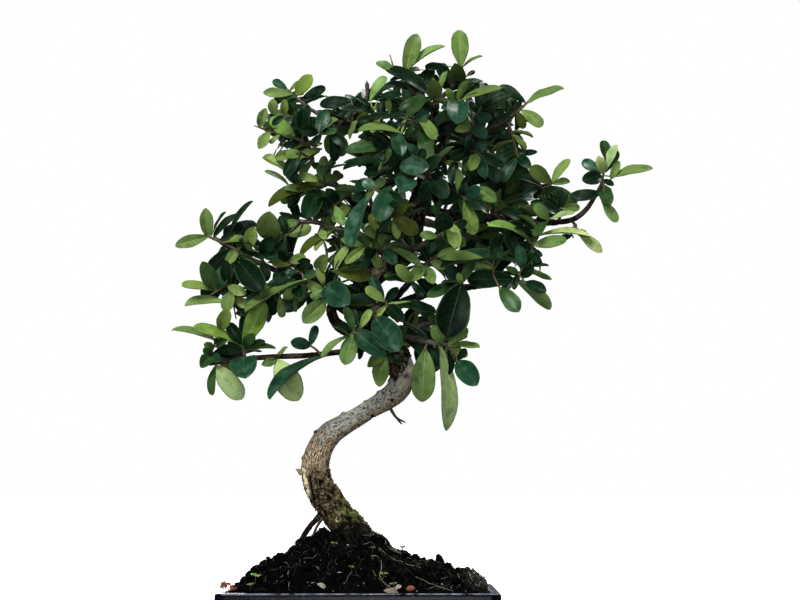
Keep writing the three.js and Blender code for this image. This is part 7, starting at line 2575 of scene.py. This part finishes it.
@dataclass(frozen=True)
class Studio:
    """A plain white room with soft lamps, and the camera where the viewer stood; in metres."""

    lens: float = 98.31
    eye: tuple[float, float, float] = (0.0294, -1.6, 0.144)
    tilt: float = 0.08341
    gamma: float = 0.78
    floor_size: float = 60.0
    floor_drop: float = 0.0002
    floor_glow: float = 0.95
    sky: tuple[float, float, float, float] = (0.86, 0.93, 1.0, 1.0)
    sky_strength: float = 0.5
    aim: tuple[float, float, float] = (0.0, 0.0, 0.28)
    lamps: tuple[Lamp, ...] = (
        Lamp("key", (-0.7, -1.5, 1.6), 0.9, 68.0), Lamp("front", (0.1, -2.3, 0.12), 1.1, 46.0),
        Lamp("rim", (0.9, 1.0, 1.5), 1.1, 52.0), Lamp("back", (-0.6, 2.1, 0.6), 1.1, 46.0),
    )

    def make(self) -> None:
        """Set up the camera, the floor, the sky and the lamps."""
        scene = bpy.context.scene
        view = bpy.data.cameras.new("viewer")
        view.lens = self.lens
        camera = bpy.data.objects.new("viewer", view)
        camera.location = self.eye
        camera.rotation_euler = (math.pi / 2 + self.tilt, 0, 0)
        scene.collection.objects.link(camera)
        scene.camera = camera
        scene.view_settings.view_transform = "Standard"
        scene.view_settings.gamma = self.gamma
        self.make_floor()
        scene.world = self.make_sky()
        for lamp in self.lamps:
            scene.collection.objects.link(self.hang(lamp))

    def make_floor(self) -> None:
        """Lay the white floor, which neither lights the part nor shows in its gloss."""
        floor = Bench.start(bpy.ops.mesh.primitive_plane_add, "floor", size=self.floor_size,
                            location=(0, 0, -self.floor_drop))
        recipe = Recipe("floor")
        white = recipe.mix(recipe.noise(2, 2), (0.93, 0.93, 0.93), (0.95, 0.95, 0.95))
        floor.data.materials.append(recipe.finish(
            Base_Color=white, Roughness=0.9, Emission_Color=(1, 1, 1), Emission_Strength=self.floor_glow))
        floor.visible_diffuse = False
        floor.visible_glossy = False

    def make_sky(self) -> bpy.types.World:
        """Make surroundings that look white and light the part softly and less brightly."""
        world = bpy.data.worlds.new("studio")
        world.use_nodes = True
        tree = world.node_tree
        tree.nodes.clear()
        path, seen, light, both, out = (tree.nodes.new(f"ShaderNode{kind}") for kind in (
            "LightPath", "Background", "Background", "MixShader", "OutputWorld"))
        seen.inputs["Color"].default_value = (1, 1, 1, 1)
        light.inputs["Color"].default_value = self.sky
        light.inputs["Strength"].default_value = self.sky_strength
        for source, target in ((path.outputs["Is Camera Ray"], both.inputs[0]), (light.outputs[0], both.inputs[1]),
                               (seen.outputs[0], both.inputs[2]), (both.outputs[0], out.inputs["Surface"])):
            tree.links.new(source, target)
        return world

    def hang(self, lamp: Lamp) -> bpy.types.Object:
        """Make one lamp and point it at the tree."""
        light = bpy.data.lights.new(lamp.name, "AREA")
        light.shape = "DISK"
        light.size = lamp.width
        light.energy = lamp.power
        holder = bpy.data.objects.new(lamp.name, light)
        holder.location = lamp.at
        holder.rotation_euler = (Vector(lamp.at) - Vector(self.aim)).to_track_quat("Z", "Y").to_euler()
        return holder


def main() -> None:
    """Build the bonsai from its pot upwards."""
    logging.basicConfig(level=logging.INFO, format="%(message)s")
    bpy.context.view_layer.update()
    Studio().make()
    plastic = MeshFinish().material()
    for side in ("left", "right"):
        for material_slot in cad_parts[f"drain_mesh_{side}"].material_slots:
            material_slot.material = plastic
    Pot().make(GlazeFinish().material())
    peat = PeatFinish().material()
    mound = Mound()
    mound.make(peat)
    mound.make_clods(peat)
    mound.make_rootlets(RootFinish().material())
    Timber().make(BarkFinish().material())
    foliage = Foliage()
    foliage.grow()
    blank = LeafBlank()
    wear = [LeafFinish().material(), TwigFinish().material()]
    for spray in foliage.sprays:
        foliage.make_spray(spray, blank, wear)
    trimmings = Trimmings(mound)
    trimmings.make_seedlings(blank, wear)
    trimmings.make_litter(blank, LitterFinish().material())
    trimmings.make_moss(MossFinish().material())


if __name__ == "__main__":
    main()
